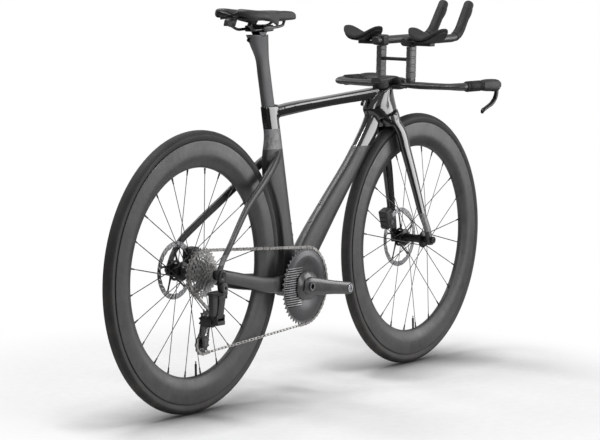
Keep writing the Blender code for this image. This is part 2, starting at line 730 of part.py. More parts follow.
def make_wheel(end, axle, hub_profile, flanges, disc_y, disc_radius, valve_turn):
    """One wheel: tyre, rim, hub with its spokes, brake disc and valve, all centred on the axle."""
    half = TYRE_HALF
    tyre_profile = [
        (0.3090, -0.0104),
        (0.3155, -0.0108),
        (0.3265, -half),
        (TYRE_RADIUS, -0.0045),
        (TYRE_RADIUS, 0.0045),
        (0.3265, half),
        (0.3155, 0.0108),
        (0.3090, 0.0104),
        (0.3090, 0.0080),
        (0.3350, 0.0),
        (0.3090, -0.0080),
    ]
    turned(f"{end}_tyre", tyre_profile, axle, Y, "tyre_rubber", WHEEL_STEPS, True)
    rim_profile = [
        (RIM_INNER, -0.0035),
        (0.2780, -0.0142),
        (RIM_OUTER, -0.0130),
        (RIM_OUTER, -0.0112),
        (0.3075, -0.0109),
        (0.3075, 0.0109),
        (RIM_OUTER, 0.0112),
        (RIM_OUTER, 0.0130),
        (0.2780, 0.0142),
        (RIM_INNER, 0.0035),
    ]
    rim = turned(f"{end}_rim", rim_profile, axle, Y, "rim_carbon", WHEEL_STEPS, True)
    turn = math.radians(valve_turn)
    outward = Vector((math.cos(turn), 0, math.sin(turn)))
    drilled = cylinder(f"{end}_valve_hole", axle, outward, 0.0036, 0.20, 0.33, steps=6)
    combine(rim, drilled, "DIFFERENCE")
    valve = [
        (0, 0.2150),
        (0.0018, 0.2150),
        (0.0018, 0.2210),
        (0.0030, 0.2230),
        (0.0030, 0.3075),
        (0, 0.3075),
    ]
    turned(f"{end}_valve", valve, axle, outward, "anodised_black", 6)

    hub = turned(f"{end}_hub", hub_profile, axle, Y, "anodised_black", 12, True)
    mesh = bmesh.new()
    for flange_y, phase in flanges:
        for number in range(SPOKES_PER_SIDE):
            rim_turn = 2 * math.pi * (number + phase) / SPOKES_PER_SIDE
            lead = 1 if number % 2 else -1
            hub_turn = rim_turn + lead * 0.95
            low = Vector((0.0205 * math.cos(hub_turn), 0, 0.0205 * math.sin(hub_turn)))
            low.y = flange_y + lead * 0.0011
            side = 1 if flange_y > 0 else -1
            reach = RIM_INNER * math.cos(math.pi / WHEEL_STEPS) - GAP
            high = Vector((reach * math.cos(rim_turn), side * 0.0012, reach * math.sin(rim_turn)))
            along = (high - low).normalized()
            wide = along.cross(Y).normalized() * 0.0011
            thick = along.cross(wide).normalized() * 0.0006
            rings = []
            for place in (low, high):
                ring = []
                for corner in (wide - thick * 0.6, thick * 1.2, -wide - thick * 0.6):
                    ring.append(mesh.verts.new(axle + place + corner))
                rings.append(ring)
            for here in range(3):
                after = (here + 1) % 3
                mesh.faces.new((rings[0][here], rings[0][after], rings[1][after], rings[1][here]))
            mesh.faces.new(rings[0][::-1])
            mesh.faces.new(rings[1])
    spokes = from_bmesh(f"{end}_spokes", mesh, None, flat=True)
    combine(hub, spokes, "UNION")
    make_disc(f"{end}_rotor", axle, disc_y, disc_radius)


def make_disc(name, axle, disc_y, radius):
    """A brake disc: the braking ring on raking arms round a carrier."""
    centre = Vector((axle.x, disc_y, axle.z))
    disc = sleeve(name, centre, Y, radius - 0.0135, radius, -0.0009, 0.0009, "disc_steel", 24)
    carrier = sleeve(name + "_carrier", centre, Y, 0.0186, 0.0250, -0.0016, 0.0016, steps=10)
    combine(disc, carrier, "UNION")
    mesh = bmesh.new()
    for number in range(DISC_ARMS):
        start_turn = 2 * math.pi * number / DISC_ARMS
        end_turn = start_turn + 0.42
        low = Vector((math.cos(start_turn), 0, math.sin(start_turn))) * 0.0215
        high = Vector((math.cos(end_turn), 0, math.sin(end_turn))) * (radius - 0.0105)
        across = (high - low).cross(Y).normalized() * 0.0036
        corners = [low + across, low - across, high - across * 0.7, high + across * 0.7]
        near = [mesh.verts.new(centre + corner - Y * 0.0008) for corner in corners]
        far = [mesh.verts.new(centre + corner + Y * 0.0008) for corner in corners]
        for here in range(4):
            after = (here + 1) % 4
            mesh.faces.new((near[here], near[after], far[after], far[here]))
        mesh.faces.new(near[::-1])
        mesh.faces.new(far)
    arms = from_bmesh(name + "_arms", mesh, None, flat=True)
    combine(disc, arms, "UNION")
    return disc


def make_wheels():
    """The two wheels, each with its own hub outline and spoke flanges."""
    front_hub = [
        (0.0064, -0.0500),
        (0.0095, -0.0500),
        (0.0095, -0.0400),
        (0.0230, -0.0375),
        (0.0230, -0.0335),
        (0.0115, -0.0290),
        (0.0125, 0.0190),
        (0.0230, 0.0215),
        (0.0230, 0.0255),
        (0.0170, 0.0280),
        (0.0170, 0.0440),
        (0.0095, 0.0500),
        (0.0064, 0.0500),
    ]
    flanges = ((0.0235, 0.25), (-0.0355, 0.75))
    make_wheel("front", FRONT_AXLE, front_hub, flanges, FRONT_DISC_Y, FRONT_DISC, -86)
    rear_hub = [
        (0.0064, -0.0710),
        (0.0098, -0.0710),
        (0.0098, -0.0170),
        (0.0235, -0.0150),
        (0.0235, -0.0110),
        (0.0130, -0.0060),
        (0.0130, 0.0300),
        (0.0235, 0.0330),
        (0.0235, 0.0370),
        (0.0170, 0.0400),
        (0.0170, 0.0600),
        (0.0098, 0.0710),
        (0.0064, 0.0710),
    ]
    flanges = ((0.0350, 0.25), (-0.0130, 0.75))
    make_wheel("rear", REAR_AXLE, rear_hub, flanges, REAR_DISC_Y, REAR_DISC, -87)


# Drivetrain


def pitch_radius(teeth):
    return PITCH / (2 * math.sin(math.pi / teeth))


def toothed_outline(centre, teeth, phase, sharp, root_half=0.0021):
    """A sprocket outline. A sharp tooth stands on its own narrow root, other teeth are a plain zigzag."""
    radius = pitch_radius(teeth)
    points = []
    for number in range(teeth):
        middle = phase + 2 * math.pi * (number + 0.5) / teeth
        if sharp:
            root = radius - 0.0046
            spread = root_half / root
            spots = ((middle - spread, root), (middle, radius + 0.0032), (middle + spread, root))
        else:
            spots = ((middle - math.pi / teeth, radius - 0.0045), (middle, radius + 0.0018))
        for turn, reach in spots:
            points.append((centre.x + reach * math.cos(turn), centre.z + reach * math.sin(turn)))
    return points


def cage_points(swing):
    """Guide and tension pulley centres for a swing of the cage about its pivot."""
    matrix = Matrix.Rotation(swing, 3, "Y")
    guide = CAGE_PIVOT + matrix @ (GUIDE_START - CAGE_PIVOT)
    tension = CAGE_PIVOT + matrix @ (TENSION_START - CAGE_PIVOT)
    return guide, tension


CAGE_PIVOT = Vector((-0.4965, CHAIN_Y, 0.2255))
GUIDE_START = Vector((-0.4780, CHAIN_Y, 0.2280))
TENSION_START = Vector((-0.4850, CHAIN_Y, 0.1700))


def chain_route(swing):
    """The closed chain line as spans and arcs, each with its length counted in links."""
    guide, tension = cage_points(swing)
    wheels = (
        (CRANK, RING_TEETH, 1, RING_Y),
        (tension, PULLEY_TEETH, 1, CHAIN_Y),
        (guide, PULLEY_TEETH, -1, CHAIN_Y),
        (REAR_AXLE, COG_TEETH[DRIVEN_COG], 1, CHAIN_Y),
    )
    touches = []
    for here in range(4):
        centre_a, teeth_a, sign_a, _ = wheels[here]
        centre_b, teeth_b, sign_b, _ = wheels[(here + 1) % 4]
        across = centre_b.x - centre_a.x
        rise = centre_b.z - centre_a.z
        offset = pitch_radius(teeth_a) * sign_a - pitch_radius(teeth_b) * sign_b
        span = math.sqrt(across * across + rise * rise - offset * offset)
        turn = math.atan2(rise, across) - math.atan2(offset, span)
        normal = turn + math.pi / 2
        leave = normal if sign_a > 0 else normal + math.pi
        arrive = normal if sign_b > 0 else normal + math.pi
        touches.append((leave, arrive, span))
    route = []
    for here in range(4):
        centre, teeth, sign, y = wheels[here]
        arrive = touches[here - 1][1]
        leave, next_arrive, span = touches[here]
        sweep = ((arrive - leave) * sign) % (2 * math.pi)
        route.append(("arc", centre, teeth, sign, y, arrive, sweep * teeth / (2 * math.pi)))
        centre_b, teeth_b, _, y_b = wheels[(here + 1) % 4]
        radius_a = pitch_radius(teeth)
        radius_b = pitch_radius(teeth_b)
        begin = Vector((centre.x + radius_a * math.cos(leave), y, centre.z + radius_a * math.sin(leave)))
        finish_x = centre_b.x + radius_b * math.cos(next_arrive)
        finish = Vector((finish_x, y_b, centre_b.z + radius_b * math.sin(next_arrive)))
        route.append(("span", begin, finish, (finish - begin).length / PITCH))
    return route


def route_links(route):
    return sum(piece[-1] for piece in route)


def solve_cage_swing():
    """The cage swing that makes the chain close at its whole number of links."""
    low = math.radians(-25)
    high = math.radians(25)
    rising = route_links(chain_route(high)) > route_links(chain_route(low))
    for _ in range(50):
        middle = (low + high) / 2
        if (route_links(chain_route(middle)) > CHAIN_LINKS) == rising:
            high = middle
        else:
            low = middle
    return (low + high) / 2


def route_point(route, count):
    """The place and direction of travel at a number of links along the route."""
    count %= CHAIN_LINKS
    for piece in route:
        if count <= piece[-1]:
            break
        count -= piece[-1]
    if piece[0] == "span":
        _, begin, finish, length = piece
        place = begin.lerp(finish, count / length)
        share = min(max((count / length - SPAN_STRAIGHT) / (1 - 2 * SPAN_STRAIGHT), 0), 1)
        place.y = begin.y + (finish.y - begin.y) * share
        return place, (finish - begin).normalized()
    _, centre, teeth, sign, y, arrive, _ = piece
    turn = arrive - sign * 2 * math.pi * count / teeth
    reach = pitch_radius(teeth)
    place = Vector((centre.x + reach * math.cos(turn), y, centre.z + reach * math.sin(turn)))
    return place, Vector((math.sin(turn) * sign, 0, -math.cos(turn) * sign))


def roller_phase(route, index):
    """The angle of the first chain roller that lies on one of the route's arcs."""
    before = sum(piece[-1] for piece in route[:index])
    _, centre, teeth, sign, y, arrive, length = route[index]
    first = math.ceil(before) - before
    return arrive - sign * 2 * math.pi * first / teeth


def needs_window(route, number):
    """True for a link that meets teeth: one on an arc, or within three links of one."""
    count = number + 0.5
    for piece in route:
        if count < piece[-1]:
            break
        count -= piece[-1]
    return piece[0] == "arc" or min(count, piece[-1] - count) < 3.2


def make_chain(route):
    """The chain as one closed body: a block for each roller between two side plates, open for the teeth."""
    rollers = [route_point(route, number) for number in range(CHAIN_LINKS)]
    tall = 0.0040
    outer = 0.0028
    inner = 0.00118
    block_half = 0.0029
    mesh = bmesh.new()
    rows = []
    open_links = [needs_window(route, number) for number in range(CHAIN_LINKS)]
    for number in range(CHAIN_LINKS):
        place, along = rollers[number]
        over = along.cross(Y).normalized()
        before = rollers[number - 1][0]
        after = rollers[(number + 1) % CHAIN_LINKS][0]
        to_before = (before - place).normalized()
        to_after = (after - place).normalized()
        over_before = (-to_before).cross(Y).normalized()
        over_after = to_after.cross(Y).normalized()
        row = {}
        for level, rise in (("low", -tall), ("high", tall)):
            for side, y in (("a", -outer), ("b", outer)):
                row["edge", level, side] = mesh.verts.new(place + over * rise + Y * y)
            for side, y in (("a", -inner), ("b", inner)):
                back = place + to_before * block_half + over_before * rise + Y * y
                front = place + to_after * block_half + over_after * rise + Y * y
                if open_links[number - 1]:
                    row["back", level, side] = mesh.verts.new(back)
                if open_links[number]:
                    row["front", level, side] = mesh.verts.new(front)
        rows.append(row)
    for number in range(CHAIN_LINKS):
        row = rows[number]
        following = rows[(number + 1) % CHAIN_LINKS]
        for side in ("a", "b"):
            mesh.faces.new(
                (
                    row["edge", "low", side],
                    following["edge", "low", side],
                    following["edge", "high", side],
                    row["edge", "high", side],
                )
            )
        for level in ("low", "high"):
            edge_a = row["edge", level, "a"]
            edge_b = row["edge", level, "b"]
            next_a = following["edge", level, "a"]
            next_b = following["edge", level, "b"]
            if not open_links[number]:
                mesh.faces.new((edge_a, edge_b, next_b, next_a))
                continue
            front_a = row["front", level, "a"]
            front_b = row["front", level, "b"]
            back_a = following["back", level, "a"]
            back_b = following["back", level, "b"]
            mesh.faces.new((edge_a, edge_b, front_b, front_a))
            mesh.faces.new((back_a, back_b, next_b, next_a))
            mesh.faces.new((edge_a, front_a, back_a, next_a))
            mesh.faces.new((edge_b, next_b, back_b, front_b))
        if not open_links[number]:
            continue
        for side in ("a", "b"):
            mesh.faces.new(
                (
                    row["front", "low", side],
                    row["front", "high", side],
                    following["back", "high", side],
                    following["back", "low", side],
                )
            )
        for place_name, source in (("front", row), ("back", following)):
            mesh.faces.new(
                (
                    source[place_name, "low", "a"],
                    source[place_name, "low", "b"],
                    source[place_name, "high", "b"],
                    source[place_name, "high", "a"],
                )
            )
    bmesh.ops.recalc_face_normals(mesh, faces=mesh.faces[:])
    flat = math.radians(0.1)
    bmesh.ops.dissolve_limit(mesh, angle_limit=flat, verts=mesh.verts[:], edges=mesh.edges[:])
    return from_bmesh("chain", mesh, "chain_steel", flat=True)


def make_cassette(phase):
    """The cassette: toothed discs joined by a core. Only the cog in use has teeth that fit the chain."""
    core = [
        (0.0100, -0.0622),
        (0.0142, -0.0622),
        (0.0142, -0.0560),
        (0.0250, -0.0400),
        (0.0400, -0.0190),
        (0.0100, -0.0190),
    ]
    centre = REAR_AXLE
    cassette = turned("cassette", core, centre, Y, "cog_steel", 6, True)
    for number, teeth in enumerate(COG_TEETH):
        y = COG_FIRST_Y + number * COG_STEP
        engaged = number == DRIVEN_COG
        turn = phase if engaged else 0.37 * number
        outline = toothed_outline(centre, teeth, turn, engaged)
        combine(cassette, plate(f"cog_{teeth}", outline, y - 0.0007, y + 0.0007), "UNION")
    bore = cylinder("cassette_bore", centre, Y, 0.0118, -0.07, -0.01, steps=6)
    combine(cassette, bore, "DIFFERENCE")
    return cassette


def make_crankset(phase):
    """The chainring, and the two crank arms with spider, spindle and pedal holes."""
    outline = toothed_outline(CRANK, RING_TEETH, phase, True)
    ring = plate("chainring", outline, RING_Y - 0.0007, RING_Y + 0.0007, "anodised_black", CRANK)
    face = [(0, -0.0498), (0.0780, -0.0498), (0.0885, -0.0470), (0.0885, -0.0432), (0, -0.0432)]
    disc = turned("ring_disc", face, CRANK, Y, None, 20)
    combine(ring, disc, "UNION")
    combine(ring, cylinder("ring_bore", CRANK, Y, 0.0308, -0.06, -0.03, steps=12), "DIFFERENCE")

    drop = math.radians(CRANK_DROP)
    forward = Vector((math.cos(drop), 0, -math.sin(drop)))
    over = Vector((math.sin(drop), 0, math.cos(drop)))
    arm_rows = (
        (-0.026, 0.0565, 0.0130, 0.0065),
        (0.030, 0.0600, 0.0235, 0.0085),
        (0.090, 0.0645, 0.0185, 0.0078),
        (0.150, 0.0672, 0.0160, 0.0073),
        (0.172, 0.0675, 0.0155, 0.0072),
        (0.182, 0.0675, 0.0105, 0.0065),
    )
    for side_name, side in SIDES:
        ahead = forward * -side
        rings = []
        for reach, y, tall, thick in arm_rows:
            centre = CRANK + ahead * reach + Y * (side * y)
            rings.append(oval(centre, over, Y, tall, thick, 8, 3.4))
        arm = loft(f"crank_arm_{side_name}", rings, "gloss_carbon", CRANK)
        pedal = CRANK + ahead * CRANK_LENGTH
        face = cylinder(f"pedal_face_{side_name}", pedal, Y * side, 0.0120, 0.0670, PEDAL_FACE, steps=12)
        combine(arm, face, "UNION")
        hole = cylinder(f"pedal_hole_{side_name}", pedal, Y, 0.0071, -0.09, 0.09, steps=10)
        if side < 0:
            spider = []
            for step in range(8):
                turn = -drop + 2 * math.pi * step / 8 + math.pi / 8
                reach = 0.0790 if step % 2 else 0.0430
                spider.append((CRANK.x + reach * math.cos(turn), CRANK.z + reach * math.sin(turn)))
            combine(arm, plate("spider", spider, -0.0560, -0.0502), "UNION")
            combine(arm, cylinder("spider_boss", CRANK, Y, 0.0298, -0.0545, -0.0434, steps=12), "UNION")
            combine(arm, cylinder("spindle", CRANK, Y, 0.0119, -0.0500, 0.0560, steps=14), "UNION")
            key = cylinder("crank_key", CRANK, Y, 0.0065, -0.0800, -0.0600, steps=6)
            combine(arm, key, "DIFFERENCE")
        else:
            combine(arm, cylinder("arm_boss", CRANK, Y, 0.0180, 0.0435, 0.0600, steps=14), "UNION")
            combine(arm, cylinder("spindle_bore", CRANK, Y, 0.0126, 0.0300, 0.0600, steps=14), "DIFFERENCE")
        combine(arm, hole, "DIFFERENCE")


def make_pulley(name, centre, phase):
    """A small toothed wheel that turns on a bolt of the cage."""
    outline = toothed_outline(centre, PULLEY_TEETH, phase, True, root_half=0.0016)
    pivot = Vector((centre.x, CHAIN_Y, centre.z))
    pulley = plate(name, outline, CHAIN_Y - 0.0007, CHAIN_Y + 0.0007, "matt_black", pivot)
    combine(pulley, cylinder(name + "_boss", centre, Y, 0.0080, -0.0040, 0.0040, steps=8), "UNION")
    combine(pulley, cylinder(name + "_bore", centre, Y, 0.0034, -0.01, 0.01, steps=8), "DIFFERENCE")
    return pulley


def capsule_outline(spots, count=4):
    """A rounded outline round circles given as (x, z, radius), in order, as their convex hull."""
    cloud = []
    for x, z, radius in spots:
        for step in range(count * 2):
            turn = math.pi * step / count
            cloud.append((x + radius * math.cos(turn), z + radius * math.sin(turn)))
    cloud.sort()

    def half(points):
        chain = []
        for point in points:
            while len(chain) > 1:
                (ax, az), (bx, bz) = chain[-2], chain[-1]
                if (bx - ax) * (point[1] - az) - (bz - az) * (point[0] - ax) > 1e-10:
                    break
                chain.pop()
            chain.append(point)
        return chain[:-1]

    return half(cloud) + half(cloud[::-1])


def link_plate(name, top, bottom, thick):
    """A parallelogram link: a plate that lies along X, with a pin at its top and its bottom."""
    mesh = bmesh.new()
    along = (bottom - top).normalized()
    side = X.cross(along).normalized()
    ring_low = []
    ring_high = []
    outline = []
    for centre, direction in ((top, -thick), (bottom, thick)):
        for step in range(3):
            turn = -math.pi / 2 + math.pi * step / 2
            outline.append(centre + (along * math.cos(turn) + side * math.sin(turn)) * direction)
    for point in outline:
        ring_low.append(mesh.verts.new(Vector((LINK_LOW_X, point.y, point.z))))
        ring_high.append(mesh.verts.new(Vector((LINK_HIGH_X, point.y, point.z))))
    count = len(outline)
    for here in range(count):
        after = (here + 1) % count
        mesh.faces.new((ring_low[here], ring_low[after], ring_high[after], ring_high[here]))
    mesh.faces.new(ring_low[::-1])
    mesh.faces.new(ring_high)
    item = from_bmesh(name, mesh, "matt_black", top, flat=True)
    middle = (LINK_LOW_X + LINK_HIGH_X) / 2
    reach = (LINK_HIGH_X - LINK_LOW_X) / 2 + 0.0042
    for end_name, centre in (("top", top), ("bottom", bottom)):
        place = Vector((middle, centre.y, centre.z))
        combine(item, cylinder(f"{name}_{end_name}_pin", place, X, 0.0022, -reach, reach, steps=6), "UNION")
    return item


LINK_TOP = Vector((-0.4870, -0.0770, 0.2880))
LINK_BOTTOM = Vector((-0.4870, -0.0710, 0.2380))
LINK_APART = Vector((0, 0.0150, 0))
LINK_LOW_X = -0.4990
LINK_HIGH_X = -0.4750
CHEEKS = ((-0.5035, -0.4994), (-0.4746, -0.4705))


def make_derailleur(route, swing):
    """The rear derailleur: mount with its battery, two links, knuckle, cage and two pulleys."""
    guide, tension = cage_points(swing)
    arm = capsule_outline(((HANGER_BOLT.x, HANGER_BOLT.z, 0.0120), (-0.4960, 0.2990, 0.0060)))
    body = plate("derailleur_body", arm, -0.0950, -0.0854, "matt_black")
    yoke = block("mount_yoke", (-0.5285, -0.0950, 0.2926), (-0.4705, -0.0560, 0.3003))
    combine(body, yoke, "UNION")
    for number, (low_x, high_x) in enumerate(CHEEKS):
        cheek = block(f"mount_cheek_{number}", (low_x, -0.0825, 0.2825), (high_x, -0.0565, 0.2960))
        combine(body, cheek, "UNION")
    combine(body, cylinder("mount_bolt", HANGER_BOLT, Y, 0.0046, -0.0900, -0.0800, steps=8), "UNION")
    combine(body, cylinder("mount_key", HANGER_BOLT, Y, 0.0034, -0.1000, -0.0900, steps=6), "DIFFERENCE")
    for number, top in enumerate((LINK_TOP, LINK_TOP + LINK_APART)):
        hole = cylinder(f"mount_pin_hole_{number}", top, X, 0.0027, -0.03, 0.03, steps=6)
        combine(body, hole, "DIFFERENCE")
    battery = block("battery", (-0.5285, -0.0800, 0.2430), (-0.5048, -0.0650, 0.2950), edge=0.0015)
    combine(body, battery, "UNION")
    link_plate("derailleur_outer_link", LINK_TOP, LINK_BOTTOM, 0.0042)
    link_plate("derailleur_inner_link", LINK_TOP + LINK_APART, LINK_BOTTOM + LINK_APART, 0.0032)
    knuckle_low = (-0.5035, -0.0780, 0.2190)
    knuckle_high = (-0.4705, -0.0336, 0.2300)
    knuckle = block("derailleur_knuckle", knuckle_low, knuckle_high, "matt_black", pivot=LINK_BOTTOM)
    for number, (low_x, high_x) in enumerate(CHEEKS):
        cheek = block(f"knuckle_cheek_{number}", (low_x, -0.0765, 0.2250), (high_x, -0.0505, 0.2440))
        combine(knuckle, cheek, "UNION")
    barrel = cylinder("knuckle_barrel", CAGE_PIVOT, Y, 0.0120, -0.0380, -0.0096, steps=10)
    combine(knuckle, barrel, "UNION")
    combine(knuckle, cylinder("knuckle_bore", CAGE_PIVOT, Y, 0.0050, -0.0200, 0.0, steps=8), "DIFFERENCE")
    lower = ((LINK_BOTTOM, 0.0027), (LINK_BOTTOM + LINK_APART, 0.0037))
    for number, (place, radius) in enumerate(lower):
        hole = cylinder(f"knuckle_pin_hole_{number}", place, X, radius, -0.03, 0.03, steps=6)
        combine(knuckle, hole, "DIFFERENCE")

    pivot = CAGE_PIVOT
    outline = capsule_outline(
        ((pivot.x, pivot.z, 0.0110), (guide.x, guide.z, 0.0085), (tension.x, tension.z, 0.0115))
    )
    cage = plate("derailleur_cage", outline, CHAIN_Y - 0.0088, CHAIN_Y - 0.0070, "matt_black", pivot)
    inner = capsule_outline(((guide.x, guide.z, 0.0080), (tension.x, tension.z, 0.0105)))
    combine(cage, plate("cage_inner", inner, CHAIN_Y + 0.0060, CHAIN_Y + 0.0074), "UNION")
    for name, centre in (("guide", guide), ("tension", tension)):
        combine(cage, cylinder(f"{name}_bolt", centre, Y, 0.0029, -0.0095, 0.0070, steps=8), "UNION")
    upper = guide.lerp(tension, 0.40)
    lower = guide.lerp(tension, 0.66)
    window = capsule_outline(((upper.x - 0.004, upper.z, 0.0055), (lower.x, lower.z, 0.0045)), 3)
    combine(cage, plate("cage_window", window, CHAIN_Y - 0.02, CHAIN_Y - 0.002), "DIFFERENCE")
    combine(cage, cylinder("cage_stub", CAGE_PIVOT, Y, 0.0044, -0.0190, -0.0080, steps=8), "UNION")
    make_pulley("guide_pulley", guide, roller_phase(route, 4))
    make_pulley("tension_pulley", tension, roller_phase(route, 2))


def make_drivetrain():
    """Everything that the chain runs over. Each toothed wheel is turned to mesh with the chain."""
    swing = solve_cage_swing()
    route = chain_route(swing)
    make_chain(route)
    make_cassette(roller_phase(route, 6))
    make_crankset(roller_phase(route, 0))
    make_derailleur(route, swing)


# Seatpost and saddle

CLAMP = Vector((-0.2460, 0, 0.9147))
RAIL_TURN = Matrix.Rotation(math.radians(-SADDLE_LEAN), 3, "Y")
RAIL_ALONG = RAIL_TURN @ X


def make_seatpost():
    """The wing-shaped post, and the clamp that rocks in its rounded top and holds the rails."""
    slices = (
        (0.6250, 0, 0, 0.0088),
        (0.8000, 0, 0, 0.0088),
        (0.8400, -0.0005, 0.0010, 0.0090),
        (0.8720, -0.0140, 0.0060, 0.0105),
        (0.8990, -0.0250, 0.0100, 0.0130),
    )
    rings = []
    for z, rear_more, front_more, half in slices:
        rear, front = post_slice(z)
        rings.append(aero((rear + rear_more, 0, z), (front + front_more, 0, z), half))
    post = loft("seatpost", rings, "matt_post", Vector((-0.2005, 0, 0.722)))
    cradle = cylinder("post_cradle", CLAMP, Y, 0.0203, -0.03, 0.03, steps=24)
    combine(post, cradle, "DIFFERENCE")
    clamp = cylinder("saddle_clamp", CLAMP, Y, 0.0192, -0.0125, 0.0125, "anodised_black", 18)
    box_low = CLAMP + Vector((-0.021, -0.0290, -0.0075))
    box_high = CLAMP + Vector((0.021, 0.0290, 0.0075))
    combine(clamp, block("clamp_box", box_low, box_high, None, RAIL_TURN, edge=0.002), "UNION")
    flat_low = CLAMP + Vector((-0.03, -0.03, 0.0075))
    flat_high = CLAMP + Vector((0.03, 0.03, 0.03))
    combine(clamp, block("clamp_flat", flat_low, flat_high, None, RAIL_TURN), "DIFFERENCE")
    for side_name, side in SIDES:
        place = CLAMP + Y * (0.022 * side)
        hole = cylinder(f"rail_hole_{side_name}", place, RAIL_ALONG, 0.0041, -0.05, 0.05, steps=8)
        combine(clamp, hole, "DIFFERENCE")


def make_saddle():
    """The rails, bent from one rod, the shell that they spring into, and the padding."""
    half_path = [
        Vector((-0.3260, 0.0300, 0.9225)),
        Vector((-0.3080, 0.0240, 0.9125)),
        CLAMP + Y * 0.022 - RAIL_ALONG * 0.050,
        CLAMP + Y * 0.022 + RAIL_ALONG * 0.058,
        Vector((-0.1700, 0.0185, 0.9215)),
        Vector((-0.1500, 0.0120, 0.9240)),
        Vector((-0.1420, 0.0000, 0.9250)),
    ]
    mirrored = [Vector((place.x, -place.y, place.z)) for place in half_path[-2::-1]]
    path = half_path + mirrored
    curve = bpy.data.curves.new("saddle_rails", "CURVE")
    curve.dimensions = "3D"
    curve.bevel_depth = 0.0035
    curve.bevel_resolution = 2
    curve.use_fill_caps = True
    spline = curve.splines.new("POLY")
    spline.points.add(len(path) - 1)
    for point, place in zip(spline.points, path):
        point.co = (*(place - CLAMP), 1)
    rails = bpy.data.objects.new("saddle_rails", curve)
    rails.location = CLAMP
    link(rails, "steel")

    shell_rows = (
        (-0.3700, 0.0440, 0.9390, 0.9330, 0.006),
        (-0.3400, 0.0590, 0.9370, 0.9260, 0.007),
        (-0.2850, 0.0525, 0.9360, 0.9260, 0.004),
        (-0.2300, 0.0340, 0.9370, 0.9270, 0.003),
        (-0.1700, 0.0205, 0.9385, 0.9300, 0.002),
        (-0.1220, 0.0140, 0.9395, 0.9335, 0.002),
    )
    rings = []
    for x, half, top, low, drop in shell_rows:
        ring = []
        for share in (-1.0, -0.55, 0.0, 0.55, 1.0):
            ring.append(Vector((x, half * share, top - drop * abs(share) ** 2)))
        for share in (0.96, 0.5, 0.0, -0.5, -0.96):
            height = low - drop * abs(share) ** 2 + 0.0065 * (1 - abs(share))
            ring.append(Vector((x, half * share, height)))
        rings.append(ring)
    shell = loft("saddle_shell", rings, "matt_black", CLAMP)
    for side_name, side in SIDES:
        end = Vector((-0.3260, 0.0300 * side, 0.9225))
        along = (end - Vector((-0.3080, 0.0240 * side, 0.9125))).normalized()
        socket = cylinder(f"rail_socket_{side_name}", end, along, 0.0062, -0.003, 0.015, steps=8)
        combine(shell, socket, "UNION")
        bore = cylinder(f"socket_bore_{side_name}", end, along, 0.0040, -0.02, 0.0004, steps=8)
        combine(shell, bore, "DIFFERENCE")
    make_saddle_pad()


def make_saddle_pad():
    """The padded cover: sections from tail to nose, smoothed by subdivision, with a relief channel."""
    rows = (
        (-0.3790, 0.0420, 0.0100, 0.9490, 0.9420, 0.0110),
        (-0.3660, 0.0600, 0.0080, 0.9555, 0.9400, 0.0100),
        (-0.3300, 0.0690, 0.0030, 0.9585, 0.9385, 0.0060),
        (-0.2850, 0.0630, 0.0030, 0.9575, 0.9380, 0.0060),
        (-0.2350, 0.0440, 0.0020, 0.9575, 0.9390, 0.0070),
        (-0.1850, 0.0280, 0.0010, 0.9590, 0.9400, 0.0080),
        (-0.1350, 0.0225, 0.0010, 0.9590, 0.9410, 0.0060),
        (-0.1120, 0.0185, 0.0000, 0.9540, 0.9425, 0.0030),
    )
    mesh = bmesh.new()
    loops = []
    for x, half, notch, top, low, groove in rows:
        spots = (
            (-1.00, low - 0.0120, 0.0),
            (-1.00, top - 0.0110, 0.0),
            (-0.62, top, 0.0),
            (-0.22, top - 0.0020, notch * 0.6),
            (0.00, top - groove, notch),
            (0.22, top - 0.0020, notch * 0.6),
            (0.62, top, 0.0),
            (1.00, top - 0.0110, 0.0),
            (1.00, low - 0.0120, 0.0),
            (0.90, low - 0.0120, 0.0),
            (0.55, low, 0.0),
            (0.00, low, notch),
            (-0.55, low, 0.0),
            (-0.90, low - 0.0120, 0.0),
        )
        skirt = 0.6 if half > 0.03 else 0.2
        ring = []
        for share, z, ahead in spots:
            height = z if z >= low else low - 0.0120 * skirt
            ring.append(mesh.verts.new(Vector((x + ahead, half * share, height))))
        loops.append(ring)
    count = len(loops[0])
    for low_loop, high_loop in zip(loops, loops[1:]):
        for here in range(count):
            after = (here + 1) % count
            mesh.faces.new((low_loop[here], low_loop[after], high_loop[after], high_loop[here]))
    mesh.faces.new(loops[0][::-1])
    mesh.faces.new(loops[-1])
    pad = from_bmesh("saddle_pad", mesh, "saddle_cover", CLAMP)
    soften(pad)
    return pad


def soften(item, levels=1):
    modifier = item.modifiers.new("soft", "SUBSURF")
    modifier.levels = levels
    modifier.render_levels = levels
    return item


def make_arm_rests():
    """A cupped rest and its thicker pad over each clamp, outboard of the extension bar."""
    rows = ((0.3320, 0.0440), (0.3520, 0.0500), (0.4060, 0.0500), (0.4260, 0.0430))
    shares = (-1.0, -0.78, -0.4, 0.0, 0.4, 0.78, 1.0)
    for side_name, side in SIDES:
        middle = side * 0.1010
        layers = {"rest": ([], 0.8700, 0.8732), "pad": ([], 0.8748, 0.8840)}
        for x, half in rows:
            for rings, low, high in layers.values():
                upper = []
                lower = []
                for share in shares:
                    rise = 0.0320 * abs(share) ** 2.2
                    lower.append(Vector((x, middle + half * share, low + rise)))
                    edge = 0.0040 if abs(share) == 1 and high - low > 0.005 else 0
                    upper.append(Vector((x, middle + half * share, high - edge + rise)))
                rings.append(upper + lower[::-1])
        rest = loft(f"arm_rest_{side_name}", layers["rest"][0], "matt_black")
        near = side * 0.0600
        far = side * 0.1120
        bracket_low = (0.3720, min(near, far), 0.8630)
        bracket_high = (0.3980, max(near, far), 0.8715)
        combine(rest, block(f"rest_bracket_{side_name}", bracket_low, bracket_high), "UNION")
        loft(f"arm_pad_{side_name}", layers["pad"][0], "pad_foam")


